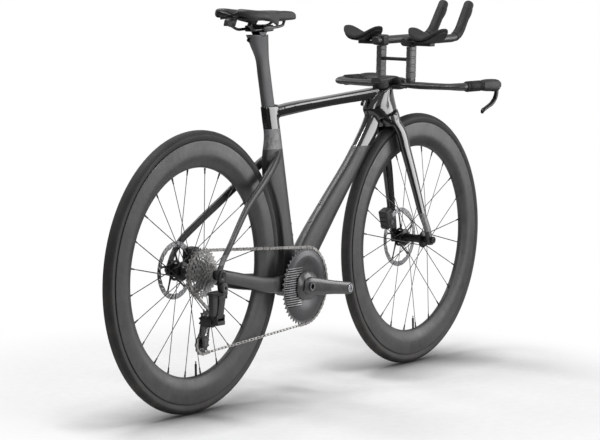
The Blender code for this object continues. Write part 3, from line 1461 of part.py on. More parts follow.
def carry(name, place, members):
    """Hangs pieces from an empty that lies on their joint axis, without moving them."""
    bpy.context.view_layer.update()
    holder = bpy.data.objects.new(name, None)
    holder.location = place
    holder.empty_display_size = 0.05
    PARTS.objects.link(holder)
    for member in members:
        item = bpy.data.objects[member]
        item.parent = holder
        item.matrix_parent_inverse = Matrix.Translation(-Vector(place))


make_frame()
make_frame_fittings()
make_caliper(
    "rear_brake_caliper",
    (-0.449, 0.0440, 0.3450),
    (-0.412, 0.0708, 0.3900),
    leaning(0),
    REAR_AXLE,
    REAR_DISC_Y,
    REAR_DISC,
)
make_fork()
make_caliper(
    "front_brake_caliper",
    (0.409, 0.0290, 0.368),
    (0.440, 0.0550, 0.421),
    leaning(-20),
    FRONT_AXLE,
    FRONT_DISC_Y,
    FRONT_DISC,
)
make_base_bar()
make_cockpit()
make_arm_rests()
make_wheels()
make_drivetrain()
make_seatpost()
make_saddle()

STEERED = ["fork", "front_axle", "front_brake_caliper", "base_bar", "stem", "riser_brace"]
for side_name, _ in SIDES:
    STEERED += [f"base_grip_{side_name}", f"lever_body_{side_name}", f"riser_{side_name}"]
    STEERED += [f"extension_clamp_{side_name}", f"arm_rest_{side_name}", f"arm_pad_{side_name}"]
carry("steering_axis", steer_point(HEAD_LOW), STEERED)
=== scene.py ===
# %% [markdown]
# # A time-trial bicycle in Blender
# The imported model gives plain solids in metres: +X forward, +Y to the rider's left, +Z up, floor at zero.
# This lesson dresses those solids. Each piece is made again at a finer step from the same measurements,
# gets a procedural material, and rides on the body that carries it, so that it can be posed later.

import json
from math import atan2, ceil, copysign, cos, degrees, exp, pi, radians, sin, sqrt, tan

import bmesh
import bpy
from mathutils import Matrix, Vector

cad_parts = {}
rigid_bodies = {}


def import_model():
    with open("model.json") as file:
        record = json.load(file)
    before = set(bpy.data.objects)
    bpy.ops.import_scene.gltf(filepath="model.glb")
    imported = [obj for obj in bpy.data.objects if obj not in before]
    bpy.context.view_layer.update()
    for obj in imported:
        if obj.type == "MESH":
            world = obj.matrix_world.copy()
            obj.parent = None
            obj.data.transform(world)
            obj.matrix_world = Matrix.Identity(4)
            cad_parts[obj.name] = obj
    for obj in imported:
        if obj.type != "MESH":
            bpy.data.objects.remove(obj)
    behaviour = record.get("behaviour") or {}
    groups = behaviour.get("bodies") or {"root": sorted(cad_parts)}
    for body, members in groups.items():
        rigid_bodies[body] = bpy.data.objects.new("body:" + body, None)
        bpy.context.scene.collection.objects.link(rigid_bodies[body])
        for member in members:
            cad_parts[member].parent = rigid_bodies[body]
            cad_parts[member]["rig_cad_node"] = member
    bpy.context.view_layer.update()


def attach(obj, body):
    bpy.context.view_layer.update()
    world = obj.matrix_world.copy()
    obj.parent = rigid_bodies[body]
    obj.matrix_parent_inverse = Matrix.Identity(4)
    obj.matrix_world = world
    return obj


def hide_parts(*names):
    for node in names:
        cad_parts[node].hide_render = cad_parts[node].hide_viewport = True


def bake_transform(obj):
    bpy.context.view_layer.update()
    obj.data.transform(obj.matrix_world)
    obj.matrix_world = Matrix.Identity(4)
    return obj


for item in list(bpy.data.objects):
    bpy.data.objects.remove(item, do_unlink=True)
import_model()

# %% [markdown]
# The driving sizes are those of the real object: wheels 678 mm across, a wheelbase of 985 mm, chain with
# a pitch of half an inch. Naming them once keeps every later piece in step with the solids.

# %% Driving sizes
def at(x, y, z):
    """A place or a direction."""
    return Vector((x, y, z))


TYRE_RADIUS = 0.339
CRANK = at(-0.0887, 0, 0.2716)
CRANK_LENGTH = 0.165
CRANK_DROP = 7.0
PITCH = 0.0127
RING_TEETH = 48
RING_Y = -0.045
COG_TEETH = (10, 11, 12, 13, 14, 15, 17, 19, 21, 24, 27, 30)
COG_STEP = 0.00365
COG_FIRST_Y = -0.0605
DRIVEN_COG = 10
PULLEY_TEETH = 12
CHAIN_LINKS = 116
SPAN_STRAIGHT = 0.06
STEER_LEAN = 17.5
HEAD_X = 0.4453
HEAD_TOP = 0.753
HEAD_LOW = 0.686
X = at(1, 0, 0)
Y = at(0, 1, 0)
Z = at(0, 0, 1)
REAR_AXLE = at(-0.4925, 0, TYRE_RADIUS)
FRONT_AXLE = at(0.4925, 0, TYRE_RADIUS)
STEER = at(-sin(radians(STEER_LEAN)), 0, cos(radians(STEER_LEAN)))
STEER_AHEAD = at(STEER.z, 0, -STEER.x)
CHAIN_Y = COG_FIRST_Y + DRIVEN_COG * COG_STEP
CLAMP = at(-0.246, 0, 0.9147)
RAIL_TURN = Matrix.Rotation(radians(-4.3), 3, "Y")
RAIL_ALONG = RAIL_TURN @ X
HANGER_BOLT = at(-0.497, 0, 0.311)
SIDES = (("left", 1), ("right", -1))
BARS = "fork_and_bars"
print("chain line at y =", round(CHAIN_Y, 4))

# %% [markdown]
# A finished piece is one mesh object at the origin, with its place in its mesh. The helper `dress` gives it
# a material, puts it on the body that it rides on and hides the solids that it stands for. `baked` turns
# modifiers into plain faces, because what is posed later has to be a plain mesh.


# %% Helpers for pieces
def piece_from(mesh, name, angle=35):
    """A smooth-shaded object from world-space geometry, edges sharper than the angle kept crisp."""
    bmesh.ops.recalc_face_normals(mesh, faces=mesh.faces[:])
    data = bpy.data.meshes.new(name)
    mesh.to_mesh(data)
    mesh.free()
    item = bpy.data.objects.new(name, data)
    bpy.context.scene.collection.objects.link(item)
    return softly_shaded(item, angle)


def softly_shaded(item, angle=35):
    for face in item.data.polygons:
        face.use_smooth = True
    item.data.set_sharp_from_angle(angle=radians(angle))
    return item


def baked(item, angle=35):
    """The evaluated shape as the object's own plain mesh, with no modifier left."""
    bpy.context.view_layer.update()
    graph = bpy.context.evaluated_depsgraph_get()
    data = bpy.data.meshes.new_from_object(item.evaluated_get(graph))
    data.transform(item.matrix_world)
    item.modifiers.clear()
    item.matrix_world = Matrix.Identity(4)
    old = item.data
    item.data = data
    data.name = item.name
    if old.users == 0:
        bpy.data.meshes.remove(old)
    return softly_shaded(item, angle)


def combined(item, operation, tools, angle):
    """Joins or cuts with tools, which are then removed."""
    for tool in tools:
        modifier = item.modifiers.new(tool.name, "BOOLEAN")
        modifier.operation = operation
        modifier.solver = "EXACT"
        modifier.object = tool
    baked(item, angle)
    for tool in tools:
        bpy.data.objects.remove(tool, do_unlink=True)
    return item


def unite(item, *tools, angle=35):
    return combined(item, "UNION", tools, angle)


def cut(item, *tools, angle=35):
    return combined(item, "DIFFERENCE", tools, angle)


def joined(name, items):
    """Several closed bodies as one object."""
    mesh = bmesh.new()
    for item in items:
        mesh.from_mesh(item.data)
        bpy.data.objects.remove(item, do_unlink=True)
    return piece_from(mesh, name)


def bevelled(item, width, segments=2, angle=35):
    modifier = item.modifiers.new("edges", "BEVEL")
    modifier.width = width
    modifier.segments = segments
    modifier.limit_method = "ANGLE"
    modifier.angle_limit = radians(angle)
    modifier.use_clamp_overlap = True
    return baked(item)


def dress(item, material, body, slot, *nodes, bend=()):
    """Material, body (a pair when bend is given, and then neither: the piece stays in world space), record
    slot, which is not used, and the solids it stands for, which it hides.
    """
    item.data.materials.clear()
    item.data.materials.append(material)
    for face in item.data.polygons:
        face.material_index = 0
    if bend:
        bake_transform(item)
    else:
        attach(item, body)
    if nodes:
        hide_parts(*nodes)
    print(item.name, "faces", len(item.data.polygons), "on", body)
    return item


# %% [markdown]
# Most of this bicycle is lofted: a row of cross-sections with a skin over them. `eased` puts smooth
# in-between rows among the few measured ones, `wing` draws the aero section with a round nose and a
# blunt tail, and `oval` draws a superellipse. A loft was chosen over sculpting because it keeps the sizes.


# %% Helpers for lofted shapes
def eased(rows, between=6):
    """Measured rows of numbers with smooth rows between them."""
    steps = list(zip(rows, rows[1:]))
    gaps = [max(sqrt(sum((b - a) ** 2 for a, b in zip(low, high))), 1e-9) for low, high in steps]
    rates = [[(b - a) / gap for a, b in zip(low, high)] for (low, high), gap in zip(steps, gaps)]
    slopes = [rates[0]]
    for before, after, slow, fast in zip(gaps, gaps[1:], rates, rates[1:]):
        slopes.append([(m * after + n * before) / (before + after) for m, n in zip(slow, fast)])
    slopes.append(rates[-1])
    made = []
    for here, gap in enumerate(gaps):
        for step in range(between):
            t = step / between
            row = []
            for a, b, m, n in zip(rows[here], rows[here + 1], slopes[here], slopes[here + 1]):
                value = a * (2 * t**3 - 3 * t**2 + 1) + b * (3 * t**2 - 2 * t**3)
                row.append(value + gap * (m * (t**3 - 2 * t**2 + t) + n * (t**3 - t**2)))
            made.append(tuple(row))
    return made + [tuple(rows[-1])]


def oval(centre, first, second, half_first, half_second, count=40, power=2.0):
    points = []
    for step in range(count):
        turn = 2 * pi * step / count
        along = copysign(abs(cos(turn)) ** (2 / power), cos(turn))
        across = copysign(abs(sin(turn)) ** (2 / power), sin(turn))
        points.append(centre + first * (half_first * along) + second * (half_second * across))
    return points


def wing(rear, front, half_width, tail=3.4, count=48):
    """A wing section between two points: round nose, blunt tail."""
    rear = Vector(rear)
    front = Vector(front)
    centre = rear.lerp(front, 0.55)
    points = []
    for step in range(count):
        turn = 2 * pi * step / count
        along = cos(turn)
        across = sin(turn)
        if along >= -1e-9:
            place = centre + (front - centre) * along
        else:
            place = centre + (centre - rear) * -(abs(along) ** (2 / tail))
            across = copysign(abs(across) ** (2 / tail), across)
        points.append(place + Y * (half_width * across))
    return points


def add_skin(mesh, rings):
    """A skin through rings of equal point counts, capped at both ends."""
    loops = [[mesh.verts.new(point) for point in ring] for ring in rings]
    count = len(loops[0])
    for low, high in zip(loops, loops[1:]):
        for here in range(count):
            after = (here + 1) % count
            mesh.faces.new((low[here], low[after], high[after], high[here]))
    mesh.faces.new(loops[0][::-1])
    mesh.faces.new(loops[-1])


def loft(name, rings, angle=35):
    mesh = bmesh.new()
    add_skin(mesh, rings)
    return piece_from(mesh, name, angle)


def tube_rings(path, heights, widths, count=24, power=2.0, up=Z):
    rings = []
    for here, (place, high, wide) in enumerate(zip(path, heights, widths)):
        ahead = (path[min(here + 1, len(path) - 1)] - path[max(here - 1, 0)]).normalized()
        side = ahead.cross(up).normalized()
        over = side.cross(ahead).normalized()
        rings.append(oval(place, over, side, high / 2, wide / 2, count, power))
    return rings


def smooth_tube(name, rows, count, power, between):
    """A tube from rows of x, y, z, height and width."""
    rows = eased(rows, between)
    path = [Vector(row[:3]) for row in rows]
    return loft(name, tube_rings(path, [r[3] for r in rows], [r[4] for r in rows], count, power))


# %% [markdown]
# Turned pieces such as rims, hubs and bolts are a profile of radius and height spun about an axis. Boxes
# and flat plates get small bevels, since light catching an edge is what makes a part look machined.


# %% Helpers for turned and flat shapes
def turned(name, profile, centre, axis, steps=64, angle=35):
    """A closed profile of (radius, height) spun about an axis. Points on the axis close to a pole."""
    turn = Z.rotation_difference(Vector(axis)).to_matrix()
    centre = Vector(centre)
    mesh = bmesh.new()
    columns = []
    for radius, height in profile:
        if radius < 1e-7:
            columns.append([mesh.verts.new(centre + turn @ at(0, 0, height))] * steps)
            continue
        ring = []
        for step in range(steps):
            spin = 2 * pi * step / steps
            ring.append(mesh.verts.new(centre + turn @ at(radius * cos(spin), radius * sin(spin), height)))
        columns.append(ring)
    pairs = list(zip(columns, columns[1:]))
    if profile[0][0] > 1e-7 and profile[-1][0] > 1e-7:
        pairs.append((columns[-1], columns[0]))
    for low, high in pairs:
        for here in range(steps):
            after = (here + 1) % steps
            corners = []
            for vertex in (low[here], low[after], high[after], high[here]):
                if vertex not in corners:
                    corners.append(vertex)
            if len(corners) > 2:
                mesh.faces.new(corners)
    return piece_from(mesh, name, angle)


def rod(name, centre, axis, radius, low, high, steps=32, edge=0.0):
    """A solid rod, with chamfered rims when an edge width is given."""
    profile = [(radius, low), (radius, high)]
    if edge:
        profile = [(radius - edge, low), (radius, low + edge), (radius, high - edge), (radius - edge, high)]
    profile = [(0, low), *profile, (0, high)]
    return turned(name, profile, centre, axis, steps)


def ring(name, centre, axis, inner, outer, low, high, steps=48, edge=0.0003):
    profile = [(inner, low), (outer - edge, low), (outer, low + edge), (outer, high - edge),
        (outer - edge, high), (inner, high)]
    return turned(name, profile, centre, axis, steps)


def block(name, low, high, edge=0.0, turn=None, segments=2):
    """A box between two corners, turned about its own centre when asked."""
    low = Vector(low)
    high = Vector(high)
    mesh = bmesh.new()
    bmesh.ops.create_cube(mesh, size=1)
    bmesh.ops.scale(mesh, vec=high - low, verts=mesh.verts[:])
    if edge:
        bmesh.ops.bevel(mesh, geom=mesh.edges[:], offset=edge, segments=segments, profile=0.5, affect="EDGES")
    if turn is not None:
        bmesh.ops.rotate(mesh, matrix=turn, verts=mesh.verts[:])
    bmesh.ops.translate(mesh, vec=(low + high) / 2, verts=mesh.verts[:])
    return piece_from(mesh, name)


def plate(name, outline, y_low, y_high, edge=0.0):
    """A flat piece: an outline of (x, z) points carried between two Y values."""
    item = loft(name, [[at(x, y, z) for x, z in outline] for y in (y_low, y_high)])
    return bevelled(item, edge) if edge else item


def steer_point(height, ahead=0.0):
    """A point by its height on the steering axis and its distance ahead of it, square to the axis."""
    on_axis = at(HEAD_X - (height - TYRE_RADIUS) * tan(radians(STEER_LEAN)), 0, height)
    return on_axis + STEER_AHEAD * ahead


# %% [markdown]
# Many parts repeat round an axle: spokes, disc holes, windows, notches. A Geometry Nodes tree does that: it
# puts copies of one shape on points, turns each by its share of a full turn, and makes them real faces. One
# tree serves every ring of copies, because count and phase are named inputs. The class `Graph` wires nodes
# by name, and a `Wire` can be added and multiplied, so that a tree reads like the sum that it stands for.


# %% The ring-of-copies node tree
class Wire:
    """The output of a node, which can be added, taken away and multiplied like a number."""

    def __init__(self, graph, socket):
        self.graph = graph
        self.socket = socket

    def __add__(self, other):
        return self.graph.maths("ADD", self, other)

    def __sub__(self, other):
        return self.graph.maths("SUBTRACT", self, other)

    def __rsub__(self, other):
        return self.graph.maths("SUBTRACT", other, self)

    def __mul__(self, other):
        return self.graph.maths("MULTIPLY", self, other)


class Graph:
    """Shorthand for wiring a node tree."""

    def __init__(self, tree):
        self.tree = tree

    def feed(self, source, socket):
        """A wire, the first output of a node, a colour or a plain number into an input."""
        if isinstance(source, Wire):
            source = source.socket
        elif isinstance(source, bpy.types.Node):
            source = source.outputs[0]
        if isinstance(source, bpy.types.NodeSocket):
            self.tree.links.new(source, socket)
        else:
            socket.default_value = source

    def node(self, kind, values=(), **settings):
        """A node with its settings, and with its inputs fed by name or number."""
        made = self.tree.nodes.new(kind)
        for key, value in settings.items():
            setattr(made, key, value)
        for key, value in dict(values).items():
            self.feed(value, made.inputs[key])
        return made

    def wires(self, node):
        return {socket.name: Wire(self, socket) for socket in node.outputs}

    def maths(self, operation, *values, clamp=False):
        made = self.node("ShaderNodeMath", enumerate(values), operation=operation, use_clamp=clamp)
        return Wire(self, made.outputs[0])

    def spread(self, value, low, high, to_low=0.0, to_high=1.0, smooth=False):
        """A value from one range to another, held at both ends."""
        values = enumerate((value, low, high, to_low, to_high))
        made = self.node("ShaderNodeMapRange", values,
            interpolation_type="SMOOTHSTEP" if smooth else "LINEAR")
        return Wire(self, made.outputs["Result"])

    def noise(self, scale, detail=3.0, rough=0.5, vector=None, distortion=0.0):
        values = {"Scale": scale, "Detail": detail, "Roughness": rough, "Distortion": distortion}
        if vector is not None:
            values["Vector"] = vector
        return Wire(self, self.node("ShaderNodeTexNoise", values).outputs["Fac"])

    def place(self):
        return self.node("ShaderNodeTexCoord").outputs["Object"]

    def split(self, vector):
        return [Wire(self, socket) for socket in self.node("ShaderNodeSeparateXYZ", {0: vector}).outputs]

    def join(self, *values):
        return self.node("ShaderNodeCombineXYZ", enumerate(values))

    def blend(self, share, low, high):
        """A colour mix. A colour is a wire or a tuple."""
        low, high = ((*colour, 1.0) if isinstance(colour, tuple) else colour for colour in (low, high))
        made = self.node("ShaderNodeMix", {"Factor": share, "A": low, "B": high}, data_type="RGBA")
        return made.outputs["Result"]


def geometry_tree(name, *inputs):
    """A tree that takes geometry, some named inputs and a finish, and the wires of these."""
    tree = bpy.data.node_groups.new(name, "GeometryNodeTree")
    for label, kind, value in (("Geometry", "Geometry", None), *inputs, ("Finish", "Material", None)):
        socket = tree.interface.new_socket(label, in_out="INPUT", socket_type="NodeSocket" + kind)
        if value is not None:
            socket.default_value = value
    tree.interface.new_socket("Geometry", in_out="OUTPUT", socket_type="NodeSocketGeometry")
    graph = Graph(tree)
    return graph, graph.wires(tree.nodes.new("NodeGroupInput"))


def finished(graph, copies, given):
    """Ends a tree: the copies become real faces and take the finish."""
    real = graph.node("GeometryNodeRealizeInstances", {0: copies})
    finish = graph.node("GeometryNodeSetMaterial", {"Geometry": real, "Material": given["Finish"]})
    graph.feed(finish, graph.tree.nodes.new("NodeGroupOutput").inputs[0])
    return graph.tree


def ring_of_copies_tree():
    graph, given = geometry_tree("ring_of_copies", ("Count", "Int", 6), ("Phase", "Float", 0.0))
    points = graph.node("GeometryNodePoints", {"Count": given["Count"]})
    share = graph.maths("DIVIDE", graph.node("GeometryNodeInputIndex"), given["Count"])
    turn = graph.maths("MULTIPLY_ADD", share, 2 * pi, given["Phase"])
    rotation = graph.node("FunctionNodeEulerToRotation", {0: graph.join(0.0, turn, 0.0)})
    values = {"Points": points, "Instance": given["Geometry"], "Rotation": rotation}
    return finished(graph, graph.node("GeometryNodeInstanceOnPoints", values), given)


RING_OF_COPIES = ring_of_copies_tree()


def grown(item, tree, **values):
    """A node tree run on an object. Its inputs are set by the identifiers of their sockets, then baked."""
    modifier = item.modifiers.new(tree.name, "NODES")
    modifier.node_group = tree
    for entry in tree.interface.items_tree:
        key = entry.name.replace(" ", "_")
        if entry.item_type == "SOCKET" and entry.in_out == "INPUT" and key in values:
            modifier[entry.identifier] = values[key]
    return baked(item)


def copies_round(item, centre, count, phase=0.0, finish=None):
    """Copies of a shape modelled round the Y axis at the origin, moved to their axle."""
    grown(item, RING_OF_COPIES, Count=count, Phase=phase, Finish=finish)
    item.data.transform(Matrix.Translation(centre))
    return item


print("tree", RING_OF_COPIES.name, "takes", [s.name for s in RING_OF_COPIES.interface.items_tree])

# %% [markdown]
# No real surface is one flat value. Four shader groups are built once and used in every finish: a fine
# grain, a woven cloth, a marbled fibre and the dust and rub marks of use. Each gives a plain number,
# which the material then sends to colour, roughness and bump.


# %% Shader groups
def shader_group(name, inputs, outputs):
    """A group with float inputs and outputs, the wires of its inputs and the sockets of its end."""
    tree = bpy.data.node_groups.new(name, "ShaderNodeTree")
    for label, value in inputs:
        tree.interface.new_socket(label, in_out="INPUT", socket_type="NodeSocketFloat").default_value = value
    for label in outputs:
        tree.interface.new_socket(label, in_out="OUTPUT", socket_type="NodeSocketFloat")
    graph = Graph(tree)
    return graph, graph.wires(tree.nodes.new("NodeGroupInput")), tree.nodes.new("NodeGroupOutput").inputs


def fine_grain_group():
    """Value: broad unevenness. Height: fine grain for bump."""
    graph, given, out = shader_group("fine_grain", (("Scale", 900.0), ("Broad scale", 14.0)),
        ("Value", "Height"))
    place = graph.place()
    graph.feed(graph.noise(given["Broad scale"], 4, 0.6, place), out["Value"])
    graph.feed(graph.noise(given["Scale"], 2, 0.6, place), out["Height"])
    return graph.tree


def weave_group():
    """Twill cloth: bundles of fibre that pass over two and under two, each row a step along."""
    graph, given, out = shader_group("twill_weave", (("Threads", 420.0),), ("Over", "Height"))
    x, y, z = graph.split(graph.place())
    along = (x + z) * given["Threads"]
    across = (x - z + y) * given["Threads"]
    step = graph.maths("FLOORED_MODULO", graph.maths("FLOOR", along) + graph.maths("FLOOR", across), 4.0)
    over = graph.maths("LESS_THAN", step, 1.5)
    swell_a, swell_b = (graph.maths("SINE", graph.maths("FRACT", way) * pi) for way in (along, across))
    graph.feed(over, out["Over"])
    graph.feed(swell_a * over + swell_b * (1.0 - over), out["Height"])
    return graph.tree


def marble_group():
    """Short flakes of fibre pressed at random, as streaks between dark seams."""
    graph, given, out = shader_group("pressed_fibre", (("Scale", 60.0),), ("Flake",))
    x, y, z = graph.split(graph.place())
    bend = graph.noise(22.0, 3, 0.6) * 0.03
    place = graph.join(x + bend, y, (z + bend) * 0.55)
    values = {"Vector": place, "Scale": given["Scale"], "Randomness": 1.0}
    cells = graph.node("ShaderNodeTexVoronoi", values, feature="F1", distance="CHEBYCHEV")
    tone = graph.split(cells.outputs["Color"])[0]
    cloud = graph.noise(given["Scale"] * 1.4, 5, 0.65, place, 0.6)
    graph.feed(graph.spread(tone * 0.55 + cloud * 0.45, 0.25, 0.75, smooth=True), out["Flake"])
    return graph.tree


def use_group():
    """Dust settles low down and in patches. Rub marks are fine, short and rare."""
    graph, given, out = shader_group("dust_and_rub", (("Amount", 1.0),), ("Dust", "Rub"))
    place = graph.place()
    x, y, z = graph.split(place)
    low = graph.spread(z, 0.75, 0.0, 0.15, 1.0, smooth=True)
    patch = graph.spread(graph.noise(26.0, 6, 0.7, place), 0.42, 0.78)
    lines = graph.noise(1.0, 2, 0.5, graph.join(x * 90.0, y * 420.0, z * 520.0))
    where = graph.spread(graph.noise(9.0, 2, 0.5, place), 0.5, 0.66)
    for label, mark in (("Dust", low * patch), ("Rub", graph.spread(lines, 0.66, 0.74) * where)):
        graph.feed(graph.maths("MULTIPLY", mark, given["Amount"], clamp=True), out[label])
    return graph.tree


GRAIN = fine_grain_group()
WEAVE = weave_group()
MARBLE = marble_group()
USE = use_group()
DUST = (0.16, 0.145, 0.125)
RUBBED = (0.35, 0.35, 0.36)
print("shader groups:", [tree.name for tree in (GRAIN, WEAVE, MARBLE, USE)])

# %% [markdown]
# One maker of finishes keeps the materials alike where the real ones are alike. It starts from colour,
# roughness and metal, adds the broad unevenness to both, the fine grain to the bump, and dust and rub
# marks over all. A finish with something of its own, such as paint that changes along a tube, adds to it.


# %% The finish maker
class Finish(Graph):
    """A Principled material whose sockets are fed step by step."""

    def __init__(self, name, colour, roughness, metallic=0.0, scale=900.0, bump=0.12, uneven=0.25, dust=0.5,
            rub=0.5, coat=0.0):
        self.material = bpy.data.materials.new(name)
        self.material.use_nodes = True
        super().__init__(self.material.node_tree)
        self.shader = self.tree.nodes["Principled BSDF"]
        self.grain = self.group(GRAIN, Scale=scale)
        self.use = self.group(USE, Amount=1.0)
        self.bump, self.uneven, self.dust, self.rub = bump, uneven, dust, rub
        self.height = self.grain["Height"]
        self.colour = colour
        self.roughness = roughness
        for label, value in (("Metallic", metallic), ("Coat Weight", coat), ("Coat Roughness", 0.04)):
            self.feed(value, self.shader.inputs[label])
        self.material.diffuse_color = (0.05, 0.05, 0.05, 1)

    def group(self, tree, **values):
        return self.wires(self.node("ShaderNodeGroup", values, node_tree=tree))

    def done(self, depth=0.0004):
        """Wires colour, roughness and bump with the unevenness, dust and rub marks in them."""
        value, dust, rub = self.grain["Value"], self.use["Dust"], self.use["Rub"]
        shade = self.spread(value, 0.3, 0.7, 1 - self.uneven, 1 + self.uneven)
        scaled = self.node("ShaderNodeVectorMath", {0: self.colour, "Scale": shade}, operation="SCALE")
        colour = self.blend(dust * (self.dust * 0.3), scaled.outputs[0], DUST)
        colour = self.blend(rub * (self.rub * 0.22), colour, RUBBED)
        rough = self.spread(value, 0.3, 0.7, 0.88, 1.12) * self.roughness + dust * (self.dust * 0.22)
        rough = self.maths("ADD", rough, rub * (self.rub * 0.15), clamp=True)
        relief = self.node("ShaderNodeBump", {"Strength": self.bump, "Distance": depth,
            "Height": self.height})
        for label, source in (("Base Color", colour), ("Roughness", rough), ("Normal", relief)):
            self.feed(source, self.shader.inputs[label])
        return self.material


def plain_finish(name, colour, roughness, metallic=0.0, **settings):
    return Finish(name, colour, roughness, metallic, **settings).done()


# %% [markdown]
# The frame is moulded carbon. The photograph shows deep gloss black above, a level edge across the down
# tube where it turns matt, and a grey pressed-fibre band on the seat tube. The paint edges follow
# height, so object coordinates place them exactly, whatever the mesh below.


# %% Painted carbon
def band(graph, value, low, high, soft=0.0006):
    """One between two values, with a narrow soft edge."""
    return graph.spread(value, low - soft, low + soft) * graph.spread(value, high - soft, high + soft, 1.0,
        0.0)


def lacquered(made, gloss, under):
    """Deep black lacquer where gloss is one: its colour, its clear coat and its smoother face."""
    made.colour = made.blend(gloss, under, (0.0045, 0.0045, 0.0048))
    made.feed(gloss * 0.5, made.shader.inputs["Coat Weight"])
    made.height = made.height * made.spread(gloss, 0, 1, 1.0, 0.25)
    return made.done()


def painted_frame():
    made = Finish("gloss_and_matt_carbon", (0.01, 0.01, 0.01), 0.4, bump=0.1, uneven=0.22, dust=0.6)
    x, y, z = made.split(made.place())
    down_tube = made.spread(x, -0.0206, -0.0194) * made.spread(z, 0.6046, 0.6054)
    gloss = made.maths("MAXIMUM", down_tube, made.spread(z, 0.6666, 0.6674))
    seat_band = band(made, z, 0.617, 0.667) * made.spread(x, -0.1206, -0.1194, 1.0, 0.0)
    end_band = band(made, z, 0.3625, 0.386) * made.spread(x, -0.4605, -0.4595, 1.0, 0.0)
    marbled = made.maths("MAXIMUM", seat_band, end_band)
    flake = made.group(MARBLE, Scale=190.0)["Flake"]
    matt = made.blend(made.group(WEAVE, Threads=480.0)["Over"], (0.0165, 0.0168, 0.0175),
        (0.0215, 0.0218, 0.0228))
    grey = made.blend(flake, (0.07, 0.071, 0.073), (0.165, 0.167, 0.171))
    made.roughness = made.spread(gloss, 0, 1, 0.4, 0.1) + marbled * -0.06
    return lacquered(made, gloss, made.blend(marbled, matt, grey))


def painted_fork():
    made = Finish("gloss_fork", (0.01, 0.01, 0.01), 0.4, bump=0.08, uneven=0.2, dust=0.6)
    x, y, z = made.split(made.place())
    gloss = made.spread(z, 0.4126, 0.4134)
    grey = made.blend(made.group(MARBLE, Scale=190.0)["Flake"], (0.06, 0.061, 0.063), (0.155, 0.157, 0.162))
    made.roughness = made.spread(gloss, 0, 1, 0.34, 0.1)
    return lacquered(made, gloss, made.blend(band(made, z, 0.362, 0.413), (0.014, 0.0142, 0.0148), grey))


def woven_carbon(name, colour, roughness, coat):
    """Lacquer over cloth: the two fibre directions differ a little in tone and shine."""
    made = Finish(name, colour, roughness, bump=0.1, uneven=0.18, dust=0.4, coat=coat)
    cloth = made.group(WEAVE, Threads=480.0)
    made.colour = made.blend(cloth["Over"], colour, tuple(channel * 1.45 for channel in colour))
    made.roughness = made.spread(cloth["Over"], 0, 1, roughness, roughness * 0.82)
    made.height = made.height * 0.5 + cloth["Height"] * 0.5
    return made.done()


FRAME_PAINT = painted_frame()
FORK_PAINT = painted_fork()
SATIN_CARBON = woven_carbon("satin_cloth_carbon", (0.0225, 0.0227, 0.0238), 0.42, 0.0)
ARM_CARBON = woven_carbon("glossy_cloth_carbon", (0.018, 0.018, 0.019), 0.3, 0.25)
POST_GREY = plain_finish("matt_grey_post", (0.062, 0.063, 0.067), 0.46, scale=1400.0, bump=0.16, dust=0.4)
print("carbon finishes:", [item.name for item in (FRAME_PAINT, FORK_PAINT, SATIN_CARBON, ARM_CARBON,
    POST_GREY)])

# %% [markdown]
# The wheels turn, so what marks them runs round or out from their axles. Rim streaks, the turning marks
# of a disc and the tread bands of a tyre are all drawn from the angle and the distance to the axle,
# which a small group measures from object coordinates.


# %% Finishes that go round an axle
def polar_group(name, centre):
    """The angle round an axle that lies along Y, in radians, and the distance to it."""
    graph, given, out = shader_group(name, (), ("Angle", "Distance"))
    x, y, z = graph.split(graph.place())
    across, rise = x - centre.x, z - centre.z
    graph.feed(graph.maths("ARCTAN2", rise, across), out["Angle"])
    graph.feed(graph.maths("SQRT", across * across + rise * rise), out["Distance"])
    return graph.tree


POLAR = {"front": polar_group("round_front_axle", FRONT_AXLE),
    "rear": polar_group("round_rear_axle", REAR_AXLE), "crank": polar_group("round_crank", CRANK)}


def rim_finish(end):
    """Bare carbon with faint streaks that run outwards, softly darker and lighter round the rim."""
    made = Finish(f"rim_carbon_{end}", (0.03, 0.03, 0.03), 0.34, bump=0.08, uneven=0.15, dust=0.8)
    polar = made.group(POLAR[end])
    angle = polar["Angle"]
    sweep = made.join(made.maths("COSINE", angle), made.maths("SINE", angle), polar["Distance"] * 1.1)
    streaks = made.spread(made.noise(26.0, 5, 0.62, sweep), 0.33, 0.68)
    mixed = streaks * 0.7 + made.group(MARBLE, Scale=120.0)["Flake"] * 0.3
    made.colour = made.blend(mixed, (0.024, 0.0244, 0.0256), (0.0345, 0.035, 0.0364))
    made.roughness = made.spread(mixed, 0, 1, 0.42, 0.36)
    return made.done()


def tyre_finish(end):
    """Black rubber: a smooth worn crown, fine ribs at the shoulders and a lighter sidewall band."""
    made = Finish(f"tyre_rubber_{end}", (0.0105, 0.0105, 0.0108), 0.72, scale=1600.0, bump=0.35, uneven=0.2,
        dust=1.0)
    polar = made.group(POLAR[end])
    reach = polar["Distance"]
    wall = band(made, reach, 0.3165, 0.3285, 0.0008)
    crown = made.spread(reach, 0.3368, 0.3384)
    cords = made.maths("SINE", polar["Angle"] * 1400.0 + reach * 9000.0)
    ribs = made.maths("SINE", reach * 7200.0)
    base = made.blend(wall, (0.0085, 0.0085, 0.0088), (0.02, 0.02, 0.0206))
    made.colour = made.blend(crown * 0.8, base, (0.026, 0.0255, 0.025))
    made.roughness = made.spread(wall, 0, 1, 0.74, 0.62) + crown * 0.08
    made.height = made.height * 0.6 + (cords * (wall * 0.25) + ribs * ((1.0 - wall) * 0.12))
    return made.done()


def turning_marks(made, polar, lines):
    """The fine rings that a lathe leaves."""
    return made.noise(1.0, 3, 0.6, made.join(polar["Distance"] * lines, polar["Angle"] * 1.5, 0.0))


